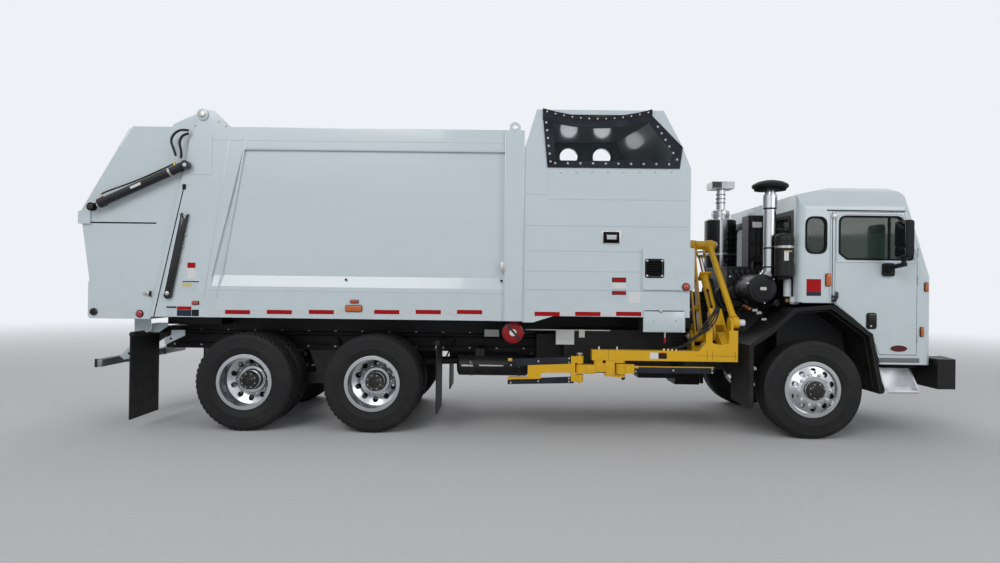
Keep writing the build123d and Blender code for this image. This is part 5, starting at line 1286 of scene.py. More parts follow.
def make_hopper_details():
    """Lapped sheets, rivets, louvre, lamp and work-light recess on the hopper, and its blank plates."""
    y = -BODY_SIDE
    sheets = Piece("white")
    for v, u0, u1 in ((193.7, 526, 549), (198.5, 549, 688), (224.8, 526, 688), (250, 526, 641),
            (270.2, 526, 641), (289, 526, 689)):
        x0, z = spot(u0, v, y)
        x1, _ = spot(u1, v, y)
        lap_line(sheets, (x0, z), (min(x1, -1.352), z), y, 0.004, 0.018)
    x, _ = spot(548.5, 200, y)
    sheets.box(about(x, 0.004), (y - 0.004, y + 0.001), (2.62, 2.88))
    sheets.both().done("hopper_lapped_sheets", smooth=20)
    heads = []
    for i in range(8):
        x, z = spot(560.7 + i * (671.2 - 560.7) / 7, 171.7, y)
        heads.append(facing((x, y, z), RIGHT))
    repeated("sill_rivets", RIVET, heads, "zinc", size=0.014)
    recess = Piece("zinc")
    (x0, x1), (z0, z1) = patch(602, 230.5, 620.5, 244.5, y)
    outline = rounded(rectangle(x0, z0, x1, z1), 0.02)
    recess.prism(outline, "Y", y - 0.003, y + 0.001)
    # The recess's inner face is in deep-shadow paint: painted shade inside the recess.
    recess.paint("dark").prism(offset_outline(outline, -0.014), "Y", y - 0.0045, y)
    mid_x, mid_z = (x0 + x1) / 2, (z0 + z1) / 2
    recess.paint("black_gloss").box(about(mid_x, 0.06), (y - 0.03, y), (mid_z - 0.03, mid_z + 0.034))
    recess.paint("clear_lens").box(about(mid_x, 0.05), (y - 0.034, y - 0.02), (mid_z - 0.022, mid_z + 0.024))
    recess.done("hopper_work_light", slot="lamp_lens", bevel=0.002)
    pod = Piece()
    face_y = y - 0.03
    mid_x, mid_z = -1.73, 1.812
    half = 0.102
    square = rectangle(mid_x - half, mid_z - half, mid_x + half, mid_z + half)
    outer = rounded(square, 0.028)
    frame_ring(pod.paint("plastic"), outer, rounded(offset_outline(square, -0.016), 0.02), "Y",
        face_y - 0.006, face_y + 0.008)
    for i in range(9):
        z = mid_z - 0.074 + i * 0.0185
        pod.prism([(face_y + 0.014, z - 0.003), (face_y - 0.002, z - 0.009), (face_y - 0.002, z - 0.006),
            (face_y + 0.014, z)], "X", mid_x - 0.085, mid_x + 0.085)
    # A deep-shadow panel behind the slats: painted shade seen between them.
    pod.paint("dark").box(about(mid_x, 0.085), (face_y + 0.014, face_y + 0.017), about(mid_z, 0.085))
    pod.done("pod_louvre")
    clips = [facing((mid_x + sx * 0.08, face_y - 0.006, mid_z + sz * 0.08), RIGHT)
        for sx in (-1, 1) for sz in (-1, 1)]
    repeated("pod_louvre_clips", RIVET, clips, "zinc", size=0.013)
    lamp = Piece()
    x, z = spot(686, 287, face_y)
    lamp.paint("plastic").turned([(-0.002, 0.043), (0.008, 0.043), (0.012, 0.038)], (x, face_y, z), RIGHT, 32)
    lamp.paint("orange_dome").turned([(0.006, 0.036), (0.018, 0.034), (0.028, 0.026), (0.034, 0.014),
        (0.036, 0.002)], (x, face_y, z), RIGHT, 32)
    lamp.done("pod_round_lamp", slot="lamp_lens")
    seam = Piece("white")
    a, b = spot(672.5, 268, face_y), spot(680.5, 291, face_y)
    seam.prism([(a[0] - 0.003, a[1]), (a[0] + 0.003, a[1]), (b[0] + 0.003, b[1]), (b[0] - 0.003, b[1])], "Y",
        face_y - 0.002, face_y)
    seam.done("pod_seam")
    plates = Piece()
    for u0, v0, u1, v1, key in ((612, 277.5, 626, 282.5, "vinyl_black"),
            (613, 278.5, 625, 281.7, "vinyl_red"), (612.5, 282.6, 626, 288, "vinyl"),
            (612, 289.8, 626, 295, "vinyl_black"), (613, 290.7, 625, 294.2, "vinyl_red"),
            (613, 295.1, 624, 300, "vinyl_pale"), (629, 292, 640, 303, "vinyl")):
        depth = 0.0016 if key == "vinyl_red" else 0.001
        pixel_box(plates.paint(key), u0, v0, u1, v1, y, depth)
    plates.done("hopper_blank_labels", smooth=20)
    label = Piece()
    pixel_box(label.paint("vinyl_pale"), 678, 269, 691, 275, face_y)
    label.done("pod_blank_label", smooth=20)


def make_control_box():
    """Door, latch, screws and pull of the box under the hopper's front corner."""
    y = -1.265
    x0, x1, z0, z1 = -1.84, -1.395, 1.134, 1.367
    door = Piece("white")
    outline = [(x0 + 0.008, z1 - 0.012), (x0 + 0.008, z0 + 0.04), (x0 + 0.036, z0 + 0.008),
        (x1 - 0.036, z0 + 0.008), (x1 - 0.008, z0 + 0.04), (x1 - 0.008, z1 - 0.012)]
    door.prism(outline, "Y", y - 0.006, y)
    door.paint("dark").box((x0 + 0.01, x1 - 0.01), (y - 0.007, y), (z1 - 0.012, z1 - 0.003))
    middle = (x0 + x1) / 2 - 0.04
    door.paint("zinc").box(about(middle, 0.016), (y - 0.02, y - 0.006), (z1 - 0.022, z1 + 0.01))
    door.done("control_box_door", bevel=0.002)
    heads = []
    for u, v in ((653.5, 321), (676, 321)):
        x, z = spot(u, v, y)
        heads.append(facing((x, y - 0.006, z), RIGHT))
    repeated("control_box_screws", HEX_BOLT, heads, "zinc", size=0.009)
    pull = Piece("zinc")
    x, _ = spot(665, 330, y)
    pull.rod((x, y + 0.004, z0 + 0.004), (x, y + 0.004, z0 - 0.075), 0.008, 12)
    pull.paint("red_bottle").turned([(0, 0.011), (0.03, 0.013), (0.055, 0.011)],
        (x, y + 0.004, z0 - 0.06), DOWN, 16)
    pull.done("control_box_pull")


def make_mouth():
    """Bolts and clamp bars of the hopper's mouth, and the rings of its portholes."""
    rings = Piece()
    for x in (-2.44, -1.97):
        rings.paint("white")
        for y0, y1 in ((1.246, 1.256), (1.194, 1.2)):
            frame_ring(rings, oval(x, 3.45, 0.15, 0.15, 40), oval(x, 3.45, 0.124, 0.124, 40), "Y", y0, y1)
    rings.done("porthole_rings", smooth=50)
    heads = []
    for x in (-2.44, -1.97):
        for i in range(8):
            a = tau * (i + 0.5) / 8
            heads.append(facing((x + 0.137 * cos(a), 1.256, 3.45 + 0.137 * sin(a)), LEFT))
    belt_y = -1.264
    line = []
    for i in range(13):
        t = (i + 0.5) / 13
        dip = 0.085 * (1 - (2 * t - 1) ** 2)
        line.append((-2.937 + 1.169 * t, 3.512 - dip - 0.025))
    for x, z in line:
        heads.append(facing((x, belt_y, z), RIGHT))
    for i in range(6):
        t = (i + 0.5) / 6
        heads.append(facing((-2.905 + 0.06 * t, belt_y, 3.4 - 0.5 * t), RIGHT))
        heads.append(facing((-1.73 + 0.25 * t, belt_y, 3.36 - 0.42 * t), RIGHT))
    for i in range(10):
        heads.append(facing((-2.8 + 0.135 * i, belt_y, 2.925), RIGHT))
    repeated("mouth_bolts", HEX_BOLT, heads, "zinc", size=0.0095)
    bars = Piece("plastic")
    for i in range(12):
        t0, t1 = i / 12, (i + 1) / 12
        ends = []
        for t in (t0, t1):
            dip = 0.085 * (1 - (2 * t - 1) ** 2)
            ends.append((-2.937 + 1.169 * t, 3.512 - dip))
        (x0, z0), (x1, z1) = ends
        bars.prism([(x0, z0 - 0.005), (x1, z1 - 0.005), (x1, z1 - 0.042), (x0, z0 - 0.042)], "Y",
            belt_y - 0.004, belt_y + 0.002)
    bars.done("mouth_clamp_bars")


# Cab sides

DOOR_WINDOW = [(0.275, 2.408), (0.95, 2.408), (1.082, 1.935), (0.36, 1.935), (0.275, 2.0)]
QUARTER_WINDOW = rectangle(-0.085, 2.395, 0.145, 1.995)


def window_seal(name, points, radii, side, body):
    """Rubber frame of a side window with round corners, and the pressed corners of the panel around it."""
    square = corner_radii(offset_outline(points, 0.008), [0.002] * len(points))
    outer = corner_radii(offset_outline(points, 0.004), [r + 0.01 for r in radii])
    inner = corner_radii(offset_outline(points, -0.016), radii)
    seal = Piece("seal")
    frame_ring(seal, outer, inner, "Y", *span(side, CAB_SIDE - 0.024, CAB_SIDE + 0.005))
    frame_ring(seal.paint("white"), square, outer, "Y", *span(side, CAB_SIDE - 0.023, CAB_SIDE + 0.001))
    return seal.done(name, body, slot="belt_rubber", smooth=40)


def make_cab_sides():
    for side_name, side in SIDES:
        door_body = "door_" + side_name
        window_seal("door_window_seal_" + side_name, DOOR_WINDOW,
            (0.07, 0.07, 0.03, 0.02, 0.02), side, door_body)
        window_seal("quarter_window_seal_" + side_name, QUARTER_WINDOW,
            (0.085, 0.085, 0.085, 0.085), side, "root")
        out = side * CAB_SIDE
        trim = Piece("white")
        edge = corner_radii([(0.245, 2.44), (0.968, 2.44), (1.108, 1.935), (1.108, 1.905), (0.245, 1.905)],
            (0.09, 0.06, 0.02, 0.02, 0.02))
        inner = corner_radii([(0.262, 2.423), (0.955, 2.423), (1.09, 1.935), (1.09, 1.922), (0.262, 1.922)],
            (0.08, 0.05, 0.02, 0.02, 0.02))
        frame_ring(trim, edge, inner, "Y", *on_cab(side, 0, 0.01))
        trim.done("door_frame_bead_" + side_name, door_body, bevel=0.002)
        glassy = Piece("seal")
        glassy.prism(rectangle(0.812, 2.405, 0.832, 1.937), "Y",
            *span(side, CAB_SIDE - 0.022, CAB_SIDE - 0.002))
        glassy.done("door_window_bar_" + side_name, door_body)
        handle = Piece("plastic")
        outline = rounded(rectangle(0.575, 1.19, 0.685, 1.365), 0.03)
        handle.prism(outline, "Y", *on_cab(side, 0.001, 0.01))
        handle.paint("black_gloss").prism(rounded(rectangle(0.59, 1.27, 0.67, 1.352), 0.015), "Y",
            *on_cab(side, -0.006, 0.024))
        handle.paint("zinc").turned([(0, 0.012), (0.006, 0.012), (0.008, 0.009)],
            (0.622, out + side * 0.01, 1.222), (0, side, 0), 18)
        handle.done("door_handle_" + side_name, door_body, bevel=0.002)
        badge = Piece()
        x, z = spot(898.6, 348.6, -CAB_SIDE)
        for key, grow, stand in (("zinc", 1.0, 0.003), ("oval", 0.9, 0.005)):
            badge.paint(key).prism(oval(x, z, 0.099 * grow, 0.038 * grow, 36), "Y",
                *on_cab(side, 0.001, stand))
        badge.done("door_bare_oval_" + side_name, door_body, smooth=30)
        sill = Piece("sill")
        (x0, x1), (z0, z1) = patch(879, 357.7, 919, 362.7, -CAB_SIDE)
        sill.prism([(x0 - 0.012, z1), (x1, z1), (x1, z0), (x0, z0)], "Y", *on_cab(side, 0.002, 0.006))
        sill.done("door_sill_strip_" + side_name, bevel=0.001)
        seam = Piece("seal")
        seam.box((0.203, 0.209), on_cab(side, 0.001, 0.003), (1.5, 2.452))
        seam.paint("white").rod((0.186, out + side * 0.004, 1.52),
            (0.186, out + side * 0.004, 2.44), 0.008, 12)
        seam.done("cab_post_seam_" + side_name)
        drip = Piece("white")
        start, z = spot(827, 210, -CAB_SIDE)
        end, _ = spot(905.5, 210, -CAB_SIDE)
        drip.prism([(start, z), (end, z), (end - 0.005, z + 0.01), (start, z + 0.01)], "Y",
            *on_cab(side, 0.004, 0.022))
        # The seal-black strip under the rail is a painted shadow of the rail.
        drip.paint("seal").box((start, end), on_cab(side, 0.004, 0.003), (z - 0.01, z))
        drip.done("cab_drip_rail_" + side_name, bevel=0.002)
        plate = Piece("vinyl_red")
        (x0, x1), (z0, z1) = patch(806.5, 279, 821, 292, -CAB_SIDE)
        low, high = on_cab(side, 0.001, 0.0015)
        plate.prism(rectangle(x0, z0, x1, z1), "Y", low, high)
        foot = spot(806.5, 295.8, -CAB_SIDE)[1]
        plate.paint("vinyl_blue").prism(rectangle(x0, foot, x1, z0), "Y", low, high)
        plate.done("cab_blank_label_" + side_name, smooth=20)
        hinges = Piece("white")
        for z in (1.1, 1.72, 2.02):
            hinges.rod((1.128, out + side * 0.004, z - 0.045),
                (1.128, out + side * 0.004, z + 0.045), 0.01, 14)
        hinges.done("door_hinge_pins_" + side_name)


def make_mirrors():
    """Faces of the mirrors and the knuckles of their arm."""
    for side_name, side in SIDES:
        body = "door_" + side_name
        y0, y1 = span(side, 1.335, 1.525)
        faces = Piece("mirror_glass")
        faces.prism(rounded(rectangle(y0, 2.07, y1, 2.325), 0.03), "X", 0.7815, 0.786)
        faces.prism(rounded(rectangle(y0, 1.965, y1, 2.055), 0.02), "X", 0.7815, 0.786)
        faces.done("mirror_faces_" + side_name, body, bevel=0.001)
        knuckles = Piece("plastic")
        for z in (1.88, 1.95):
            knuckles.turned([(-0.018, 0.032), (0.018, 0.032)], (0.831, side * 1.42, z), UP, 24)
        knuckles.turned([(0, 0.045), (0.03, 0.04), (0.05, 0.03)],
            (0.8, side * 1.205, 1.835), (0, side, 0.1), 24)
        knuckles.done("mirror_knuckles_" + side_name, body, bevel=0.002)


# Loader arm, whose points are (Y, Z)

ARM_PIVOT, ELBOW, WRIST = (-0.545, 1.04), (-0.19, 2.13), (-1.15, 1.238)
TILT_EYE, TILT_FOOT = (-0.15, 2.02), (-0.975, 1.085)
LIFT_BASE, LIFT_EYE = (0.15, 0.96), (-0.335, 1.48)
BOOM_X, FOREARM_X, TILT_X, LIFT_X = -1.065, -0.828, -0.94, -1.215
BEAM_SIDE = -1.235
FINGER_Y = -1.19
REAR_FINGER_X = -2.505


def on_line(a, b, distance, aside=0.0):
    """A point at a distance along the line from a to b, and aside to its left."""
    dy, dz = b[0] - a[0], b[1] - a[1]
    length = hypot(dy, dz)
    dy, dz = dy / length, dz / length
    return a[0] + dy * distance - dz * aside, a[1] + dz * distance + dy * aside


def pin_head(piece, x, point, out, radius):
    """Pin end with its retaining washer and a grease nipple, facing out along X."""
    piece.turned([(0, radius), (0.007, radius), (0.009, radius * 0.93)], (x, *point), (out, 0, 0), 28)
    piece.turned([(0.006, radius * 0.62), (0.015, radius * 0.6), (0.018, radius * 0.5)],
        (x, *point), (out, 0, 0), 24)
    piece.turned([(0.016, 0.0065), (0.022, 0.0065), (0.028, 0.003)], (x, *point), (out, 0, 0), 8)


def arm_line(piece, x, a, b, start, end, aside, radius=0.009):
    """A straight steel line along a link, with a hexagon fitting at each end."""
    one, two = on_line(a, b, start, aside), on_line(a, b, end, aside)
    piece.rod((x, *one), (x, *two), radius, 12)
    for point, far in ((one, two), (two, one)):
        direction = (0, far[0] - point[0], far[1] - point[1])
        piece.turned([(-0.004, radius * 1.7), (0.026, radius * 1.7), (0.03, radius * 1.4)],
            (x, *point), direction, 6)


def make_links():
    """Pins, lines and clamps of the boom, the forearm and the two cylinders."""
    boom = Piece("zinc")
    pin_head(boom, -1.172, ARM_PIVOT, -1, 0.04)
    pin_head(boom, -0.958, ARM_PIVOT, 1, 0.04)
    pin_head(boom, -0.753, ELBOW, 1, 0.04)
    pin_head(boom, -1.113, ELBOW, -1, 0.046)
    boom.done("boom_pins", "boom")
    lines = Piece("hose")
    for aside in (0.018, 0.044):
        arm_line(lines, -1.126, ARM_PIVOT, ELBOW, 0.16, 1.02, aside)
    for distance in (0.3, 0.58, 0.86):
        near, far = (on_line(ARM_PIVOT, ELBOW, d, 0.031) for d in (distance, distance + 0.03))
        lines.paint("zinc").rod((-1.126, *near), (-1.126, *far), 0.0215, 6)
    lines.done("boom_steel_lines", "boom")
    beads = Piece("yellow")
    for x in about(BOOM_X, 0.048):
        for share in (0.3, 0.62):
            out = -0.004 if x < BOOM_X else 0.004
            middle = on_line(ARM_PIVOT, ELBOW, 1.1463 * share)
            beads.turned([(-0.001, 0.04), (0.004, 0.034)], (x, *middle), (out, 0, 0), 24)
    beads.done("boom_weld_beads", "boom")

    forearm = Piece("zinc")
    pin_head(forearm, TILT_X - 0.068, TILT_EYE, -1, 0.03)
    forearm.done("forearm_pins", "forearm")
    collars = Piece("yellow")
    for near, far in ((ELBOW, WRIST), (WRIST, ELBOW)):
        start = on_line(near, far, 0.06)
        direction = (0, far[0] - near[0], far[1] - near[1])
        collars.turned([(0, 0.046), (0.03, 0.046), (0.052, 0.0375)], (FOREARM_X, *start), direction, 28)
    for point in (ELBOW, WRIST):
        collars.turned([(0, 0.052), (0.004, 0.052), (0.005, 0.049)], (FOREARM_X + 0.033, *point), AHEAD, 32)
    collars.done("forearm_collars", "forearm")

    tilt = Piece("yellow")
    gland = on_line(TILT_FOOT, TILT_EYE, 0.905)
    along = (0, TILT_EYE[0] - TILT_FOOT[0], TILT_EYE[1] - TILT_FOOT[1])
    plate = [on_line(TILT_FOOT, TILT_EYE, d, a) for d, a in ((0.874, -0.07), (0.874, 0.07),
        (0.896, 0.07), (0.896, -0.07))]
    tilt.prism(plate, "X", TILT_X - 0.07, TILT_X + 0.07)
    tilt.done("tilt_barrel_flange", "tilt_barrel", bevel=0.003)
    glands = Piece("black_gloss")
    glands.turned([(0.0, 0.044), (0.016, 0.044), (0.02, 0.034)], (TILT_X, *gland), along, 28)
    arm_line(glands.paint("hose"), TILT_X + 0.03, TILT_FOOT, TILT_EYE, 0.36, 0.8, 0.06)
    arm_line(glands, TILT_X - 0.03, TILT_FOOT, TILT_EYE, 0.36, 0.62, 0.06)
    glands.done("tilt_cylinder_gland_and_lines", "tilt_barrel", slot="hose_rubber")
    heads = []
    for aside in (-0.058, 0.058):
        for x in about(TILT_X, 0.058):
            heads.append(facing((x, *on_line(TILT_FOOT, TILT_EYE, 0.896, aside)), along))
    repeated("tilt_flange_bolts", HEX_BOLT, heads, "zinc", "tilt_barrel", size=0.008)

    lift = Piece("black_gloss")
    gland = on_line(LIFT_BASE, LIFT_EYE, 0.59)
    along = (0, LIFT_EYE[0] - LIFT_BASE[0], LIFT_EYE[1] - LIFT_BASE[1])
    lift.turned([(0.0, 0.038), (0.012, 0.038), (0.016, 0.03)], (LIFT_X, *gland), along, 28)
    arm_line(lift.paint("hose"), LIFT_X - 0.052, LIFT_BASE, LIFT_EYE, 0.14, 0.52, 0.0)
    lift.done("lift_cylinder_gland_and_line", "lift_barrel", slot="hose_rubber")
    eye = Piece("zinc")
    pin_head(eye, -1.259, LIFT_EYE, -1, 0.03)
    eye.done("lift_rod_pin", "lift_rod")


def belt(piece, points):
    """A rubber strip over a finger's steel strip, standing 4 mm proud of both its faces."""
    piece.paint("rubber").prism(points, "Y", FINGER_Y - 0.018, FINGER_Y + 0.018)


def make_gripper():
    """Studs, blank decals, welds, caps, cover plates and steel lines of the gripper's beam."""
    beam = Piece("zinc")
    for u in (599, 617):
        x, _ = spot(u, 348, FINGER_Y)
        beam.turned([(0, 0.016), (0.008, 0.016), (0.01, 0.01), (0.03, 0.01), (0.034, 0.007)],
            (x, FINGER_Y, 0.932), UP, 16)
    pin_head(beam, TILT_X - 0.084, TILT_FOOT, -1, 0.03)
    pin_head(beam, TILT_X + 0.084, TILT_FOOT, 1, 0.03)
    beam.turned([(0, 0.034), (0.01, 0.036), (0.018, 0.03), (0.02, 0.01)],
        (REAR_FINGER_X, FINGER_Y, 0.878), UP, 24)
    beam.paint("plastic").turned([(0, 0.022), (0.022, 0.02), (0.03, 0.012)],
        (-2.035, FINGER_Y, 0.64), DOWN, 16)
    beam.paint("vinyl").turned([(0, 0.036), (0.055, 0.036), (0.066, 0.033), (0.068, 0.01)],
        (-0.792, *WRIST), AHEAD, 28)
    beam.done("gripper_pins_and_caps", "gripper", smooth=40)

    marks = Piece()
    pixel_box(marks.paint("vinyl"), 650, 352.6, 658.4, 358.9, BEAM_SIDE)
    pixel_box(marks.paint("vinyl_black"), 658.4, 352.6, 666.8, 358.9, BEAM_SIDE)
    pixel_box(marks.paint("vinyl_red"), 658.4, 352.6, 666.8, 354.2, BEAM_SIDE, 0.0014)
    marks.done("beam_blank_decals", "gripper", smooth=20)

    welds = Piece("weld")
    for u in (707.2, 712.6, 735.2):
        x, z0 = spot(u, 361, BEAM_SIDE)
        welds.rod((x, BEAM_SIDE, z0 + 0.006), (x, BEAM_SIDE, 0.935), 0.0035, 6)
    x0, z = spot(697, 355.8, BEAM_SIDE)
    welds.rod((x0, BEAM_SIDE, z), (-0.824, BEAM_SIDE, z), 0.003, 6)
    x, _ = spot(608.5, 360, BEAM_SIDE)
    welds.rod((x, BEAM_SIDE, 0.826), (x, BEAM_SIDE, 0.93), 0.0025, 6)
    welds.done("beam_weld_beads", "gripper")

    bolts = []
    y = -1.231
    for u in (607.6, 613.4):
        x, z = spot(u, 370, y)
        bolts.append(facing((x, y, z), RIGHT))
    repeated("gripper_lug_bolts", HEX_BOLT, bolts, "black_gloss", "gripper", size=0.009)

    plates = Piece("yellow")
    plates.prism(rectangle(-2.228, 0.655, -2.135, 0.812), "Y", -1.239, -1.23)
    plates.prism(rectangle(-2.33, 0.705, -2.272, 0.79), "Y", -1.236, -1.23)
    plates.prism(rectangle(-2.345, 0.68, -2.44, 0.764), "Y", -1.238, -1.23)
    plates.done("gripper_cover_plates", "gripper", bevel=0.003)

    lines = Piece()
    for i in range(4):
        lean = i * 3.0
        route = [(664 + i * 4, 350.0, -1.19), (670 + i * 4, 348.2, -1.2),
            (678 + lean, 347.6 - lean * 0.5, -1.225), (687 + lean, 345.0 - lean, -1.255),
            (698 + lean, 334.5 - lean * 0.4, -1.262), (706 + lean, 322.0, -1.262),
            (713 + lean * 0.6, 313.0, -1.235), (715 + lean * 0.5, 308.5, -1.15)]
        lines.paint("hose").pipe([(spot(u, v, y)[0], y, spot(u, v, y)[1]) for u, v, y in route], 0.0085)
        x, z = spot(664 + i * 4, 350.0, -1.19)
        lines.paint("brass").turned([(0, 0.016), (0.026, 0.016), (0.03, 0.012)], (x, -1.19, z - 0.012), UP, 6)
    lines.done("gripper_steel_lines", "gripper", smooth=60)


def make_fingers():
    """Rubber belts, their clamp strips and bolts on both fingers."""
    rear = Piece()
    x0, x1 = -3.279, -2.567
    belt(rear, [(x0, 0.741), (x1, 0.773), (x1, 0.851), (x0, 0.817)])
    belt(rear, [(x0, 0.548), (x1, 0.569), (x1, 0.637), (x0, 0.602)])
    rear.paint("yellow").box((-3.277, -3.232), (FINGER_Y - 0.024, FINGER_Y + 0.01), (0.797, 0.828))
    rear.box((-3.277, -3.24), (FINGER_Y - 0.024, FINGER_Y + 0.01), (0.596, 0.622))
    rear.done("rear_finger_belts", "rear_finger", bevel=0.002)
    front = Piece()
    belt(front, rectangle(-1.94, 0.688, -1.06, 0.751))
    front.paint("yellow").box((-1.935, -1.875), (FINGER_Y - 0.024, FINGER_Y + 0.01), (0.738, 0.764))
    front.done("front_finger_belt", "front_finger", bevel=0.002)
    rear_bolts, front_bolts = [], []
    for x, z in ((-3.255, 0.812), (-3.245, 0.755), (-3.255, 0.609), (-3.245, 0.565), (-2.62, 0.835),
            (-2.62, 0.79), (-2.62, 0.62), (-2.62, 0.585), (-2.95, 0.8), (-2.95, 0.585)):
        rear_bolts.append(facing((x, FINGER_Y - (0.024 if z in (0.812, 0.609) else 0.018), z), RIGHT))
    for x, z in ((-1.905, 0.751), (-1.905, 0.705), (-1.085, 0.738), (-1.085, 0.702), (-1.5, 0.72)):
        front_bolts.append(facing((x, FINGER_Y - (0.024 if z == 0.751 else 0.018), z), RIGHT))
    repeated("rear_finger_bolts", HEX_BOLT, rear_bolts, "zinc", "rear_finger", size=0.008)
    repeated("front_finger_bolts", HEX_BOLT, front_bolts, "zinc", "front_finger", size=0.008)


# Engine bay, behind the cab


def arc_plate(piece, centre, r0, r1, a0, a1, z0, z1, steps=10):
    """A curved plate standing about a vertical line, between two angles in degrees."""
    angles = [radians(a0 + (a1 - a0) * i / steps) for i in range(steps + 1)]
    outer = [(centre[0] + r1 * cos(a), centre[1] + r1 * sin(a)) for a in angles]
    inner = [(centre[0] + r0 * cos(a), centre[1] + r0 * sin(a)) for a in angles[::-1]]
    piece.prism(outer + inner, "Z", z0, z1)


def clamp(piece, centre, direction, radius, width=0.018):
    """A band clamp with its screw."""
    start = Vector(centre) - Vector(direction).normalized() * width / 2
    piece.turned([(0, radius), (0.003, radius + 0.003), (width - 0.003, radius + 0.003), (width, radius)],
        start, direction, 40)
    side = Vector(direction).cross(Vector((0, -1, 0.2))).normalized()
    middle = Vector(centre) + Vector(RIGHT) * (radius + 0.006)
    piece.rod(middle - side * 0.02, middle + side * 0.02, 0.006, 10)


def make_intake():
    """Rain cap, bright stack, elbow, air cleaner drum and the upright canister."""
    x, y = -0.388, -0.95
    stack = Piece("stainless")
    stack.turned([(0, 0.066), (0.7, 0.066)], (x, y, 1.83), UP, 48)
    stack.turned([(0, 0.0665), (0.006, 0.076), (0.15, 0.076), (0.156, 0.066), (0.19, 0.06), (0.215, 0.06)],
        (x, y, 2.5), UP, 48)
    stack.pipe([(x, y, 1.835), (x - 0.004, y + 0.004, 1.8), (x - 0.03, y + 0.03, 1.745),
        (-0.455, -0.88, 1.7)], 0.066, 40, 8)
    stack.paint("plastic")
    cap = [(0, 0.075), (0.004, 0.105), (0.014, 0.168), (0.03, 0.191), (0.052, 0.196), (0.068, 0.182),
        (0.092, 0.135), (0.108, 0.07), (0.114, 0.012)]
    stack.turned(cap, (x, y, 2.702), UP, 64)
    for i in range(36):
        a = tau * i / 36
        c, s = cos(a), sin(a)
        stack.prism([(x + 0.11 * c + 0.003 * s, y + 0.11 * s - 0.003 * c),
            (x + 0.168 * c + 0.003 * s, y + 0.168 * s - 0.003 * c),
            (x + 0.168 * c - 0.003 * s, y + 0.168 * s + 0.003 * c),
            (x + 0.11 * c - 0.003 * s, y + 0.11 * s + 0.003 * c)], "Z", 2.7, 2.722)
    stack.paint("black_gloss")
    for z in (2.497, 2.06):
        clamp(stack, (x, y, z), UP, 0.068)
    clamp(stack, (x, y, 1.85), UP, 0.067)
    drum_z, drum_x = 1.612, -0.479
    stack.paint("drum")
    profile = [(0, 0.11), (0.006, 0.128), (0.01, 0.15), (0.026, 0.158), (0.06, 0.158), (0.063, 0.153),
        (0.075, 0.153), (0.078, 0.158), (0.33, 0.158), (0.333, 0.154), (0.345, 0.154), (0.348, 0.158),
        (0.56, 0.158), (0.578, 0.14)]
    stack.turned(profile, (drum_x, -1.02, drum_z), LEFT, 64)
    stack.turned([(0, 0.118), (0.006, 0.116), (0.008, 0.104)], (drum_x, -1.018, drum_z), RIGHT, 64)
    stack.paint("plastic").turned([(0, 0.094), (0.002, 0.094), (0.003, 0.09)],
        (drum_x, -1.0255, drum_z), RIGHT, 48)
    stack.paint("zinc").prism(rounded(rectangle(-0.515, 1.594, -0.443, 1.628), 0.014), "Y", -1.0305, -1.02)
    for a in (40, 160, 280):
        c, s = cos(radians(a)), sin(radians(a))
        stack.rod((drum_x + 0.162 * c, -1.0, drum_z + 0.162 * s),
            (drum_x + 0.162 * c, -0.93, drum_z + 0.162 * s), 0.008, 8)
    cx, cy = -0.285, -1.105
    stack.paint("drum").turned([(0, 0.088), (0.01, 0.1), (0.385, 0.1), (0.388, 0.104), (0.4, 0.104),
        (0.403, 0.1), (0.44, 0.096), (0.462, 0.078), (0.472, 0.04)], (cx, cy, 1.745), UP, 56)
    stack.paint("zinc").turned([(0, 0.1005), (0.001, 0.1025), (0.026, 0.1025), (0.027, 0.1005)],
        (cx, cy, 2.052), UP, 56)
    stack.paint("label")
    arc_plate(stack, (cx, cy), 0.099, 0.1022, -112, -62, 2.012, 2.022)
    stack.paint("vinyl")
    arc_plate(stack, (cx, cy), 0.099, 0.1018, -112, -86, 1.915, 2.01)
    stack.paint("black").box((-0.33, -0.205), (-1.05, -0.44), (1.715, 1.745))
    obj = stack.done("intake_stack_and_air_cleaner", smooth=30)
    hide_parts("air_intake")


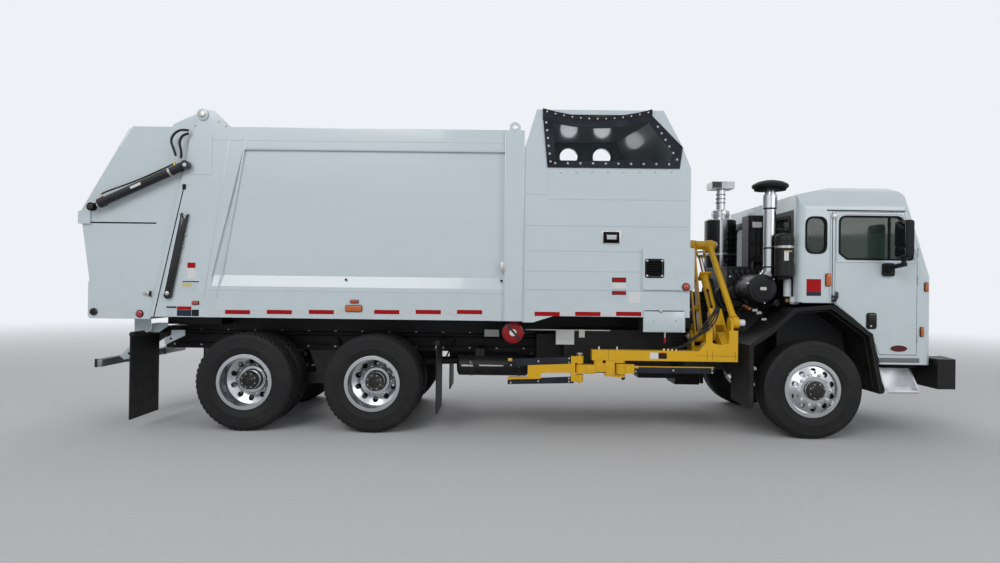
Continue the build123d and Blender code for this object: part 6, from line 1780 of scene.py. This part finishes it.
def make_exhaust():
    """Treatment canister with its heat shields, the outlet neck and the flat diffuser; the dark shields also
    give the stainless a painted dark reflection.
    """
    x, y = -0.411, 0.75
    out = Piece("stainless")
    out.turned([(0, 0.15), (0.03, 0.19), (0.05, 0.196), (0.965, 0.196), (0.985, 0.15), (0.99, 0.118),
        (1.085, 0.118), (1.1, 0.09), (1.11, 0.064)], (x, y, 1.562), UP, 64)
    out.turned([(0, 0.072), (0.012, 0.062), (0.3, 0.062), (0.31, 0.07)], (x, y, 2.655), UP, 40)
    out.turned([(0, 0.06), (0.12, 0.06)], (x, 0.75, 1.46), UP, 32)
    out.rod((x, y, 1.46), (x, 0.502, 1.46), 0.06, 32)
    for z, radius in ((1.62, 0.197), (2.06, 0.2055), (2.6, 0.119)):
        clamp(out, (x, y, z), UP, radius, 0.03)
    head = rounded(rectangle(x - 0.15, y - 0.13, x + 0.15, y + 0.13), 0.02)
    out.paint("diffuser").prism(head, "Z", 2.944, 3.038)
    # Dark plates over all but a bright strip of the canister: partly real heat shields, partly a painted dark
    # reflection on the polished stainless.
    out.paint("shield")
    arc_plate(out, (x, y), 0.197, 0.205, -80, 168, 1.64, 2.515, 28)
    arc_plate(out, (x, y), 0.197, 0.203, -196, -108, 1.64, 2.515, 10)
    # A dark box over the diffuser's rear half: painted dark reflection.
    out.box((x - 0.1515, x - 0.025), about(y, 0.1315), (2.95, 3.03))
    # Deep-shadow discs stand for the neck's perforations: painted shade in the holes.
    out.paint("dark")
    for row in range(3):
        for i in range(14):
            a = tau * (i + 0.5 * (row % 2)) / 14
            spot_at = (x + 0.0605 * cos(a), y + 0.0605 * sin(a), 2.76 + 0.055 * row)
            out.turned([(0, 0.01), (0.003, 0.01)], spot_at, (cos(a), sin(a), 0), 8)
    out.box((x + 0.149, x + 0.1515), about(y, 0.11), (2.962, 3.02))
    obj = out.done("exhaust_stack_and_diffuser", smooth=30)
    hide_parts("exhaust_stack")
    # Deep-shadow slots on the shield: painted shade in its openings.
    slots = Piece("dark")
    for i in range(9):
        z = 1.72 + 0.075 * i
        for a0 in range(-84, 150, 26):
            arc_plate(slots, (x, y), 0.2045, 0.2062, a0, a0 + 15, z, z + 0.022, 3)
    slots.done("exhaust_shield_slots", smooth=20)


def make_engine_bay():
    """What shows around the engine block: covers, pipes, hoses, fittings, bottles, blank plates and a block
    partly in painted shade.
    """
    bay = Piece("black")
    bay.box((-0.432, -0.408), (-0.402, -0.18), (1.87, 2.47))
    for x in (-0.35, -0.29, -0.235):
        bay.box((x, x + 0.012), (-0.41, -0.398), (1.88, 2.46))
    for z in (1.96, 2.14, 2.34):
        bay.box((-0.43, -0.21), (-0.412, -0.4), (z, z + 0.014))
    bay.paint("cast")
    for i in range(6):
        x = -0.64 + 0.07 * i
        bay.turned([(0, 0.03), (0.02, 0.03), (0.028, 0.018)], (x, -0.42, 1.8), RIGHT, 14)
        bay.rod((x, -0.438, 1.798), (x + 0.03, -0.47, 1.7), 0.01, 8)
    bay.turned([(0, 0.09), (0.05, 0.09), (0.062, 0.07), (0.085, 0.07), (0.09, 0.03)],
        (-0.6, -0.42, 1.56), RIGHT, 28)
    bay.turned([(0, 0.12), (0.02, 0.12), (0.03, 0.09), (0.07, 0.085), (0.075, 0.06)],
        (-0.3, -0.42, 1.52), RIGHT, 32)
    bay.box((-0.66, -0.52), (-0.47, -0.418), (1.4, 1.47))
    bay.box((-0.48, -0.35), (-0.5, -0.418), (1.395, 1.45))
    for i in range(9):
        bay.box((-0.6895 + 0.055 * i, -0.67 + 0.055 * i), (-0.428, -0.418), (1.61, 1.69))
    bay.paint("hose")
    bay.pipe([(-0.6, -0.52, 1.56), (-0.6, -0.64, 1.57), (-0.56, -0.7, 1.5), (-0.54, -0.68, 1.4),
        (-0.56, -0.56, 1.35)], 0.034, 16)
    bay.pipe([(-0.3, -0.5, 1.52), (-0.3, -0.64, 1.5), (-0.33, -0.82, 1.44), (-0.3, -0.96, 1.455)], 0.04, 16)
    bay.pipe([(-0.43, -0.42, 1.78), (-0.44, -0.52, 1.77), (-0.5, -0.6, 1.7), (-0.56, -0.56, 1.62)], 0.018, 12)
    bay.pipe([(-0.38, -0.41, 1.95), (-0.4, -0.48, 1.9), (-0.42, -0.52, 1.82), (-0.4, -0.52, 1.76)], 0.014, 10)
    bay.pipe([(-0.69, -0.2, 1.6), (-0.73, -0.24, 1.56), (-0.735, -0.3, 1.45), (-0.7, -0.33, 1.38)], 0.03, 14)
    bay.pipe([(-0.69, 0.2, 1.7), (-0.74, 0.26, 1.64), (-0.74, 0.33, 1.48), (-0.69, 0.38, 1.42)], 0.036, 14)
    bay.pipe([(-0.69, 0.05, 1.48), (-0.745, 0.0, 1.45), (-0.74, -0.08, 1.42),
        (-0.69, -0.12, 1.41)], 0.016, 10)
    bay.pipe([(-0.52, 0.5, 1.8), (-0.52, 0.56, 1.79), (-0.47, 0.57, 1.68), (-0.42, 0.52, 1.56)], 0.03, 14)
    bay.paint("black_gloss")
    clamp(bay, (-0.6, -0.6, 1.567), (0, -1, 0.08), 0.035)
    clamp(bay, (-0.3, -0.6, 1.507), (0, -1, -0.14), 0.041)
    # A block in deep-shadow paint, with a black face and rods, fills the gap behind the engine: a dark
    # hydraulic housing in part, painted shade in part.
    bay.paint("dark").box((-0.97, -0.7), (0.1, 0.5), (1.08, 1.56))
    bay.paint("black").box((-0.955, -0.715), (0.094, 0.1), (1.1, 1.54))
    for z in (1.22, 1.34, 1.46):
        bay.rod((-0.95, 0.08, z), (-0.72, 0.08, z), 0.016, 12)
    bay.done("engine_bay_covers_and_pipes", smooth=35)

    fittings = Piece()
    (x0, x1), (z0, z1) = patch(752.3, 222, 761.6, 227.6, -0.402)
    fittings.paint("vinyl").box((x0, x1), (-0.4135, -0.402), (z0, z1))
    (x0, x1), (z0, z1) = patch(753, 258, 762, 264, -0.42)
    fittings.paint("plastic").box((x0, x1), (-0.45, -0.412), (z0 + 0.02, z1 + 0.02))
    for u, v in ((730, 272), (730, 276.5)):
        x, z = spot(u, v, -0.42)
        fittings.paint("vinyl").turned([(0, 0.014), (0.012, 0.014), (0.016, 0.008)], (x, -0.42, z), RIGHT, 14)
    for u, v, r in ((747, 308, 0.03), (743.5, 306, 0.018)):
        x, z = spot(u, v, -0.7)
        fittings.paint("copper").turned([(0, r), (0.06, r), (0.07, r * 0.7)],
            (x, -0.7, z), (0.5, -1, -0.2), 16)
    for u, v, r in ((753, 310.5, 0.016), (757, 313, 0.018), (762, 319.5, 0.014)):
        x, z = spot(u, v, -0.8)
        fittings.paint("vinyl").turned([(0, r), (0.045, r), (0.052, r * 0.6)], (x, -0.8, z),
            (0.7, -0.6, 0.1), 12)
    bottle_x, bottle_y = -0.205, -1.0
    fittings.paint("bottle").turned([(0, 0.012), (0.01, 0.042), (0.18, 0.042), (0.2, 0.034), (0.212, 0.014)],
        (bottle_x, bottle_y, 1.52), UP, 24)
    x, z = spot(795, 301.5, -1.06)
    fittings.paint("bottle").turned([(-0.05, 0.036), (-0.04, 0.044), (0.03, 0.044), (0.04, 0.036)],
        (x, -1.05, z + 0.01), (1, -0.25, 0), 24)
    fittings.paint("dark").turned([(0, 0.013), (0.006, 0.012)],
        (x + 0.005, -1.093, z + 0.012), (0.1, -1, 0), 14)
    fittings.paint("brass").turned([(0, 0.024), (0.022, 0.024), (0.026, 0.018), (0.05, 0.018)],
        (x - 0.098, -1.04, z + 0.01), (1, -0.25, 0), 6)
    fittings.done("engine_bay_fittings_and_bottles", slot="black_plastic", smooth=40)
    heads = []
    for x in (-0.66, -0.6, -0.54, -0.48, -0.42, -0.36, -0.3, -0.24):
        for z in (1.43, 1.84):
            heads.append(facing((x, -0.42, z), RIGHT))
    for y in [-0.36 + 0.12 * i for i in range(8)]:
        for z in (1.44, 1.84):
            heads.append(facing((-0.69, y, z), ASTERN))
    repeated("engine_cover_bolts", HEX_BOLT, heads, "cast", size=0.008)


# Cab front, rear and roof

SCREEN_LEAN = 0.3123
SCREEN_FOOT_Z = 1.76
CAB_FRONT_X = 1.294
CAB_REAR_X = -0.16


def leaned(piece):
    """Shears a piece drawn upright at the cab's front so that it lies along the leaning screen."""
    for vert in piece.bm.verts:
        vert.co.x -= SCREEN_LEAN * (vert.co.z - SCREEN_FOOT_Z)
    return piece


def make_screens():
    """Rubber frames of the windscreen and the rear window, and the wipers."""
    screen = [(-1.06, 1.79), (1.06, 1.79), (0.96, 2.47), (-0.96, 2.47)]
    seal = Piece("seal")
    frame_ring(seal, corner_radii(offset_outline(screen, 0.014), (0.09, 0.09, 0.12, 0.12)),
        corner_radii(offset_outline(screen, -0.02), (0.07, 0.07, 0.1, 0.1)), "X", 1.262, 1.301)
    leaned(seal).done("windscreen_seal", smooth=40)
    rear = rectangle(-0.945, 1.76, 0.945, 2.42)
    seal = Piece("seal")
    frame_ring(seal, corner_radii(offset_outline(rear, 0.014), (0.1,) * 4),
        corner_radii(offset_outline(rear, -0.022), (0.08,) * 4), "X", CAB_REAR_X - 0.007, CAB_REAR_X + 0.02)
    seal.done("rear_window_seal", smooth=40)
    wipers = Piece("black_gloss")
    for y in (-0.62, 0.3):
        wipers.turned([(0, 0.028), (0.02, 0.028), (0.03, 0.016)], (1.29, y, 1.735), (1, 0, 0.3), 18)
        wipers.pipe([(1.318, y, 1.745), (1.326, y + 0.12, 1.8), (1.32, y + 0.26, 1.835)], 0.007, 8)
        wipers.box((1.306, 1.322), (y - 0.06, y + 0.56), (1.836, 1.85))
    leaned(wipers).done("windscreen_wipers", slot="black_plastic", smooth=40)


def make_lamps():
    """Headlamps with their bezels, and the roof lamps."""
    lamps = Piece()
    for side in (-1, 1):
        outline = rounded(rectangle(side * 0.69, 0.922, side * 1.05, 1.118), 0.03)
        lamps.paint("plastic").prism(outline, "X", 1.2935, 1.312)
        for y, radius in ((0.778, 0.074), (0.94, 0.074)):
            start = (1.312, side * y, 1.02)
            lamps.paint("chrome").turned([(-0.001, radius), (0.01, radius), (0.012, radius * 0.93)],
                start, AHEAD, 36)
            lamps.paint("clear_lens").turned([(0.008, radius * 0.9), (0.016, radius * 0.8),
                (0.02, radius * 0.45)], start, AHEAD, 36)
        lamps.paint("amber").box((1.31, 1.322), span(side, 1.018, 1.043), (0.945, 1.095))
    for y in (-0.6, -0.18, 0, 0.18, 0.6):
        lamps.paint("plastic").prism(rounded(rectangle(0.905, y - 0.055, 0.985, y + 0.055), 0.025),
            "Z", 2.7, 2.741)
        lamps.paint("amber").prism(rounded(rectangle(0.918, y - 0.044, 0.975, y + 0.044), 0.022),
            "Z", 2.735, 2.763)
    obj = lamps.done("cab_lamps", slot="lamp_lens", bevel=0.003)
    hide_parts("lamps")


def make_grille():
    """A panel in painted shade behind the air slots, the panel line round it and the bumper's fittings."""
    # The deep-shadow panel behind the slats is painted shade.
    grille = Piece("dark").box((1.252, 1.262), (-0.575, 0.575), (0.99, 1.48))
    grille.paint("black_gloss")
    outline = rectangle(-0.6, 0.975, 0.6, 1.5)
    frame_ring(grille, rounded(outline, 0.035), rounded(offset_outline(outline, -0.018), 0.02),
        "X", 1.292, 1.304)
    for i in range(25):
        y = -0.552 + 0.046 * i
        grille.box((1.272, 1.279), about(y, 0.003), (1.005, 1.465))
    grille.done("front_grille", bevel=0.001)
    lip = Piece("seal")
    for y in (-1.06, 1.06):
        lip.box(about(CAB_FRONT_X, 0.002), about(y, 0.002), (0.9, 1.7))
    lip.box(about(CAB_FRONT_X, 0.002), (-1.06, 1.06), (1.698, 1.702))
    lip.done("front_panel_gap")
    bumper = Piece()
    for side in (-1, 1):
        bumper.paint("plastic").turned([(0, 0.066), (0.01, 0.066), (0.012, 0.06)],
            (1.584, side * 0.72, 0.715), (1, side * 0.01, 0), 32)
        bumper.paint("clear_lens").turned([(0.008, 0.055), (0.016, 0.046), (0.018, 0.02)],
            (1.584, side * 0.72, 0.715), (1, side * 0.01, 0), 32)
        bumper.paint("zinc").turned([(-0.004, 0.026), (0.006, 0.026), (0.009, 0.018)],
            (1.594, side * 0.33, 0.66), AHEAD, 24)
        bumper.paint("tread_plate").box((1.33, 1.56), span(side, 0.3, 0.86), (0.879, 0.884))
    bumper.paint("vinyl").prism(rounded(rectangle(-0.15, 0.65, 0.15, 0.8), 0.01), "X", 1.598, 1.603)
    bumper.done("bumper_fittings", slot="black_paint", bevel=0.002)
    heads = [facing((1.5995, y, z), AHEAD) for y in (-0.52, 0.52) for z in (0.62, 0.82)]
    repeated("bumper_bolts", HEX_BOLT, heads, "zinc", size=0.012)


def make_cab_foot():
    """Sill plate, rocker edge, a painted shadow under the rocker, door latch, roof post bracket and the
    step's tread.
    """
    for side_name, side in SIDES:
        sill = Piece("white")
        (x0, x1), (z0, z1) = patch(878.7, 362.7, 923, 366.5, -CAB_SIDE)
        sill.box((x0, x1), on_cab(side, 0.03, 0.016), (max(z0, 0.812), z1))
        sill.done("cab_rocker_edge_" + side_name, bevel=0.003)
        # A deep-shadow plate under the rocker edge: painted shadow.
        shade = Piece("dark")
        shade.box((0.762, 1.123), on_cab(side, 0.24, -0.02), (0.772, 0.811))
        shade.done("step_hanger_plate_" + side_name)
        latch = Piece("black_gloss")
        hook = [spot(u, v, -CAB_SIDE) for u, v in ((835.4, 291.6), (837.2, 291.6), (837.2, 297.5),
            (834.6, 302.2), (831.2, 302.2), (831.2, 299.4), (833.4, 299.2), (835.0, 296.4))]
        low, high = on_cab(side, -0.001, 0.028)
        latch.prism(hook, "Y", low, high)
        bracket = [spot(u, v, -CAB_SIDE) for u, v in ((831.2, 295.2), (833.8, 295.2),
            (833.8, 297.4), (831.2, 297.4))]
        latch.prism(bracket, "Y", low, high)
        latch.paint("zinc")
        x, z = spot(833.4, 216.2, -CAB_SIDE)
        latch.box(about(x, 0.022), (low, high), about(z, 0.02))
        latch.done("door_stay_and_hook_" + side_name, bevel=0.002)
        tread = Piece("step")
        edge = side * 1.21
        tread.box((0.79, 1.124), sorted((edge - side * 0.002, edge + side * 0.004)), (0.505, 0.538))
        for x in (0.772, 1.113):
            tread.box(about(x, 0.008), sorted((side * 0.935, edge)), (0.54, 0.552))
        tread.done("step_edge_strip_" + side_name, bevel=0.002)
        rings = [facing((0.8 + 0.034 * i, side * (0.96 + 0.038 * j + (0.019 if i % 2 else 0)), 0.54), UP)
            for i in range(10) for j in range(6)]
        repeated("step_grip_rings_" + side_name, GRIP_RING, rings, "step", size=0.012)


GRIP_RING = template(lambda p: p.turned([(0, 1.0), (0.35, 0.86), (0.35, 0.55), (0.05, 0.45)],
    (0, 0, 0), UP, 12))


# Cab interior


def cushion(piece, centre, size, crown, tilt=0.0, cuts=7):
    """A crowned pad whose edges pull in between its corners, leaned back by a tilt about Y."""
    grid = {}
    turn = Matrix.Rotation(tilt, 4, "Y")

    def vert(i, j, k):
        key = (i, j, k)
        if key not in grid:
            u, v, w = (2 * n / cuts - 1 for n in key)
            pull = 1 - 0.05 * (1 - u * u) * (1 - w * w) if abs(v) == 1 else 1
            local = Vector((u * (1 - 0.04 * (1 - v * v)), v * pull, w))
            length = max(abs(local.x), abs(local.y), abs(local.z))
            ball = local.normalized() * length
            local = local.lerp(ball, 0.22)
            local = Vector((local.x * size[0], local.y * size[1], local.z * size[2]))
            local.z += crown * (1 - u * u) * (1 - v * v) * max(w, 0)
            grid[key] = piece.bm.verts.new(Vector(centre) + turn @ local)
        return grid[key]

    n = cuts
    for a in range(n):
        for b in range(n):
            for k in (0, n):
                piece.face([vert(a, b, k), vert(a + 1, b, k), vert(a + 1, b + 1, k), vert(a, b + 1, k)])
                piece.face([vert(a, k, b), vert(a + 1, k, b), vert(a + 1, k, b + 1), vert(a, k, b + 1)])
                piece.face([vert(k, a, b), vert(k, a + 1, b), vert(k, a + 1, b + 1), vert(k, a, b + 1)])


def make_seats():
    """Two sprung seats: cushion, back and headrest as padded pieces on a plain pedestal."""
    first = True
    for side_name, side in SIDES:
        y = side * 0.83
        base = Piece("trim")
        base.box((-0.06, 0.2), about(y, 0.15), (1.512, 1.566))
        base.prism([(-0.062, 1.6), (-0.03, 1.6), (-0.066, 2.17), (-0.082, 2.17)], "Y", y - 0.2, y + 0.2)
        base.done("seat_base_" + side_name, bevel=0.004)
        seat = Piece("seat")
        cushion(seat, (0.18, y, 1.605), (0.215, 0.225, 0.04), 0.012)
        cushion(seat, (-0.005, y, 1.9), (0.225, 0.22, 0.035), 0.01, radians(-86))
        cushion(seat, (-0.04, y, 2.16), (0.075, 0.13, 0.03), 0.006, radians(-86))
        pads = seat.done("seat_pads_" + side_name, smooth=180)
        if first:
            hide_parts("cab_interior")
            first = False


def make_dash():
    """Dashboard with its hood, two steering wheels on their columns, the gear selector and the visors."""
    dash = Piece("trim")
    dash.prism([(1.0, 1.5), (1.0, 1.64), (1.06, 1.735), (1.235, 1.738), (1.235, 1.5)], "Y", -1.08, 1.08)
    for side in (-1, 1):
        y = side * 0.83
        dash.prism([(0.98, 1.62), (1.06, 1.735), (1.16, 1.738), (1.16, 1.62)], "Y", y - 0.24, y + 0.24)
        dash.rod((1.06, y, 1.64), (0.9, y, 1.8), 0.026)
        centre, tilt = Vector((0.89, y, 1.81)), Vector((-1, 0, 1)).normalized()
        across = Vector(LEFT)
        up = tilt.cross(across)
        rim = [centre + (across * cos(a) + up * sin(a)) * 0.2 for a in [tau * i / 32 for i in range(33)]]
        dash.pipe(rim, 0.014, 10, 1)
        for a in (0.3, pi - 0.3, 1.5 * pi):
            dash.rod(centre, centre + (across * cos(a) + up * sin(a)) * 0.195, 0.011, 8)
        dash.turned([(-0.02, 0.06), (0.015, 0.06), (0.022, 0.045)], centre, tilt, 24)
        dash.prism([(0.98, 2.43), (0.99, 2.445), (1.03, 2.28), (1.02, 2.27)], "Y", *span(side, 0.4, 1.08))
    dash.box((0.3, 0.7), (-0.33, 0.33), (1.566, 1.59))
    dash.pipe([(0.62, 0, 1.59), (0.64, 0, 1.7), (0.62, 0, 1.78)], 0.012, 10)
    dash.turned([(0, 0.02), (0.03, 0.026), (0.05, 0.016)], (0.62, 0, 1.775), UP, 18)
    dash.paint("dark").box((1.004, 1.01), (-0.33, 0.33), (1.52, 1.62))
    dash.done("dashboard_and_wheels", bevel=0.003)


# Tanks and underbody


def make_tanks():
    """Bands and ends of the tanks, painted highlight strips on a tank and the frame rail, the red bottle, and
    the plates on the frame and the left box.
    """
    bands = Piece("black_gloss")
    for x in (-3.7, -3.17):
        bands.turned([(0, 0.1165), (0.034, 0.1165)], (x, -0.88, 0.712), AHEAD, 40)
    for x in (-2.98, -2.38, -1.8):
        bands.turned([(0, 0.3045), (0.045, 0.3045)], (x, 0.83, 0.74), AHEAD, 56)
    bands.done("tank_bands", bevel=0.001)
    ends = Piece("tank_side")
    ends.turned([(0, 0.11), (0.012, 0.1), (0.024, 0.07), (0.03, 0.02)], (-3.071, -0.88, 0.712), AHEAD, 36)
    ends.turned([(0, 0.11), (0.012, 0.1), (0.024, 0.07), (0.03, 0.02)], (-3.82, -0.88, 0.712), ASTERN, 36)
    for x, out in ((-1.6, 1), (-3.18, -1)):
        ends.turned([(0, 0.296), (0.018, 0.286), (0.032, 0.24), (0.038, 0.08)],
            (x, 0.83, 0.74), (out, 0, 0), 56)
    ends.paint("zinc").turned([(0, 0.055), (0.03, 0.055), (0.036, 0.045)],
        (-2.1, 1.0, 0.975), (0, 0.6, 0.8), 28)
    ends.done("tank_ends", smooth=40)
    # Bright zinc strips are painted highlights: the glint along the air tank and along the frame rail.
    shine = Piece("zinc")
    for u0, u1 in ((461.4, 473.0), (479.2, 503.5)):
        (x0, x1), (z0, z1) = patch(u0, 364.6, u1, 366.4, -0.985)
        shine.box((x0, x1), (-1.0, -0.972), (z0, z1))
    x0, z = spot(525, 329.5, -0.862)
    x1, _ = spot(610, 329.5, -0.862)
    shine.box((x0, x1), (-0.868, -0.86), about(z, 0.006))
    shine.done("tank_edge_strips", bevel=0.001)
    disc = Piece("red_bottle")
    x, z = spot(512.9, 332.5, -1.13)
    disc.turned([(0, 0.108), (0.01, 0.116), (0.022, 0.116), (0.03, 0.1), (0.034, 0.06)],
        (x, -1.128, z), RIGHT, 48)
    disc.turned([(0, 0.116), (0.4, 0.116)], (x, -1.12, z), LEFT, 48)
    disc.paint("vinyl").turned([(0.033, 0.04), (0.04, 0.036)], (x, -1.128, z), RIGHT, 24)
    strap = [(x - 0.078, z + 0.088), (x - 0.062, z + 0.1), (x + 0.088, z - 0.07), (x + 0.074, z - 0.086)]
    disc.paint("black_gloss").prism(strap, "Y", -1.176, -1.16)
    disc.done("red_bottle_with_strap", smooth=40)
    plates = Piece("vinyl")
    for u0, u1, v0, v1, y in ((556, 574, 329.5, 344.6, -0.866), (484.6, 499, 329.5, 336.6, -0.7)):
        (x0, x1), (z0, z1) = patch(u0, v0, u1, v1, y)
        plates.paint("vinyl").box((x0, x1), (y - 0.003, y + 0.004), (z0, z1))
        plates.paint("vinyl_pale").box((x0 + 0.012, x1 - 0.012), (y - 0.004, y),
            (z0 + (z1 - z0) * 0.36, z0 + (z1 - z0) * 0.42))
    (x0, x1), (z0, z1) = patch(579, 329.5, 584.6, 337.5, -0.88)
    plates.paint("zinc").box((x0, x1), (-0.884, -0.858), (z0, z1))
    plates.done("blank_frame_labels", smooth=20)
    box = Piece("black_gloss")
    for z in (0.64, 0.97):
        box.box((-4.0, -3.203), (1.0, 1.012), (z, z + 0.02))
    box.paint("zinc").box((-3.66, -3.54), (1.0, 1.016), (0.93, 0.98))
    for x in (-1.5, -1.36, -1.22, -1.08, -0.94, -0.82):
        box.paint("black_gloss").box((x, x + 0.06), (0.9, 0.905), (0.46, 0.96))
    box.done("left_box_fittings", bevel=0.002)


def make_underbody():
    """Brake chambers, spring clips, lines, bolts, the underride bar's faces and the frame's tail brackets."""
    low = Piece()
    for side in (-1, 1):
        for x in (MID_AXLE_X, REAR_AXLE_X):
            low.paint("cast").turned([(0, 0.06), (0.01, 0.092), (0.06, 0.092), (0.075, 0.098), (0.09, 0.092),
                (0.15, 0.092), (0.165, 0.05)], (x + 0.15, side * 0.56, 0.64), (0.5, 0, 0.85), 28)
        low.paint("cast").turned([(0, 0.055), (0.01, 0.085), (0.06, 0.085), (0.07, 0.09), (0.08, 0.085),
            (0.13, 0.08), (0.14, 0.04)], (-0.12, side * 0.56, 0.56), (-1, 0, 0.1), 28)
        for x in (-0.08, 0.08):
            low.paint("zinc")
            for y in (0.38, 0.48):
                low.rod((x, side * y, 0.47), (x, side * y, 0.575), 0.009, 8)
            low.paint("cast").box(about(x, 0.014), span(side, 0.374, 0.486), (0.556, 0.572))
    low.done("brake_chambers_and_spring_clips", smooth=40)
    lines = Piece("hose")
    for side in (-1, 1):
        for drop, out in ((0.05, 0.012), (0.09, 0.011), (0.2, 0.014)):
            y = side * (0.43 + out)
            lines.rod((-7.2, y, 1.08 - drop), (-0.7, y, 1.08 - drop), 0.009, 8)
    lines.pipe([(-5.3, -0.44, 0.96), (-5.25, -0.52, 0.86), (-5.32, -0.55, 0.76), (-5.3, -0.56, 0.7)], 0.01, 8)
    lines.pipe([(-3.9, -0.44, 0.96), (-3.95, -0.54, 0.86), (-4.0, -0.56, 0.76)], 0.01, 8)
    lines.done("frame_air_lines", smooth=40)
    heads = []
    for side in (-1, 1):
        for x in [-7.25 + 0.32 * i for i in range(21)]:
            for z in (0.865, 1.035):
                heads.append(facing((x, side * 0.43, z), (0, side, 0)))
    repeated("frame_bolts", HEX_BOLT, heads, "zinc", size=0.011)
    rear = Piece("underride")
    rear.box((-7.864, -7.786), (-1.001, 1.001), (0.7305, 0.734))
    rear.box((-7.864, -7.86), (-1.001, 1.001), (0.65, 0.731))
    for side in (-1, 1):
        rear.box((-7.84, -7.79), span(side, 0.999, 1.004), (0.652, 0.728))
        rear.prism([(-7.8, 0.64), (-7.8, 0.745), (-7.56, 0.93), (-7.5, 0.86)], "Y", *span(side, 0.426, 0.466))
    rear.box((-7.79, -7.7835), (-1.001, 1.001), (0.652, 0.732))
    rear.paint("plastic")
    for side in (-1, 1):
        rear.box((-7.867, -7.838), span(side, 0.98, 1.006), (0.646, 0.736))
    rear.done("underride_bar_faces", bevel=0.001)
    tail = Piece("white_matt")
    shapes = (  # corners in the photograph, Y of the plate's outer face
        (((134.5, 318.6), (134.5, 334.5), (140, 333.5), (151, 331.5), (151, 318.6)), -0.96),
        (((151.5, 323.5), (158, 322.5), (168, 322.7), (168, 326), (159, 332.2), (151.5, 332.2)), -0.9),
        (((171.5, 330), (185, 330), (185, 335.5), (165, 344.8), (164.3, 338.5), (171, 335)), -0.86),
        (((134.3, 342.3), (134.3, 357.5), (124, 359.6), (119.6, 355.8)), -0.93),
    )
    for corners, y in shapes:
        tail.prism([spot(u, v, y) for u, v in corners], "Y", y, y + 0.008)
    tail.paint("black").box((-7.18, -6.56), (-0.75, 0.0), (1.12, 1.226))
    # Deep-shadow discs stand for the brackets' holes: painted shade in them.
    tail.paint("dark")
    for u, v, y in ((129.0, 353.4, -0.93), (133.2, 352.0, -0.93), (170.8, 338.6, -0.86)):
        x, z = spot(u, v, y)
        tail.turned([(-0.001, 0.013), (0.002, 0.013)], (x, y, z), RIGHT, 20)
    tail.both().done("tail_frame_brackets", bevel=0.001)


def make_flap_details():
    """Clamp bars and bolts of the hanging flaps, and the mudguards' rolled lips."""
    bars = Piece("zinc")
    for x, top in ((-7.36, 1.01), (-4.052, 0.96)):
        bars.box((x - 0.006, x), (-1.2, -0.64), (top - 0.05, top - 0.01))
    bars.both().done("flap_clamp_bars", bevel=0.001)
    heads = []
    for side in (-1, 1):
        for x, top in ((-7.366, 1.01), (-4.058, 0.96)):
            for y in (0.7, 0.85, 1.0, 1.15):
                heads.append(facing((x, side * y, top - 0.03), ASTERN))
    repeated("flap_bolts", HEX_BOLT, heads, "zinc", size=0.009)
    line = [(-0.69, 0.34), (-0.69, 1.0), (-0.478, 1.162), (-0.2, 1.405), (0.19, 1.442),
        (0.618, 1.138), (0.738, 0.52)]
    lip = Piece("plastic")
    outer = offset_strip(line, 0.004, -0.016)
    lip.prism(outer, "Y", -1.2265, -1.2145)
    inner = offset_strip(line, -0.052, -0.07)
    lip.prism(inner, "Y", -1.16, -1.146)
    lip.both().done("mudguard_lips", bevel=0.002)


def offset_strip(line, outside, inside):
    """A band that follows an open line, between two distances to its left."""
    def shifted(amount):
        out = []
        for i, here in enumerate(line):
            a, b = line[max(i - 1, 0)], line[min(i + 1, len(line) - 1)]
            normal = Vector((-(b[1] - a[1]), b[0] - a[0])).normalized()
            out.append((here[0] + normal.x * amount, here[1] + normal.y * amount))
        return out
    return shifted(outside) + shifted(inside)[::-1]


# All pieces, in order

for make in (make_camera, make_stage, make_hoses, make_tyres, make_hubs, make_tape, make_body_details,
        make_side_lamps, make_post_details, make_tail_details, make_tail_back, make_hopper_details,
        make_control_box, make_mouth, make_cab_sides, make_mirrors, make_links, make_gripper, make_fingers,
        make_intake, make_exhaust, make_engine_bay, make_screens, make_lamps, make_grille, make_cab_foot,
        make_seats, make_dash, make_tanks, make_underbody, make_flap_details):
    make()

for shape in TEMPLATES:
    bpy.data.objects.remove(shape)
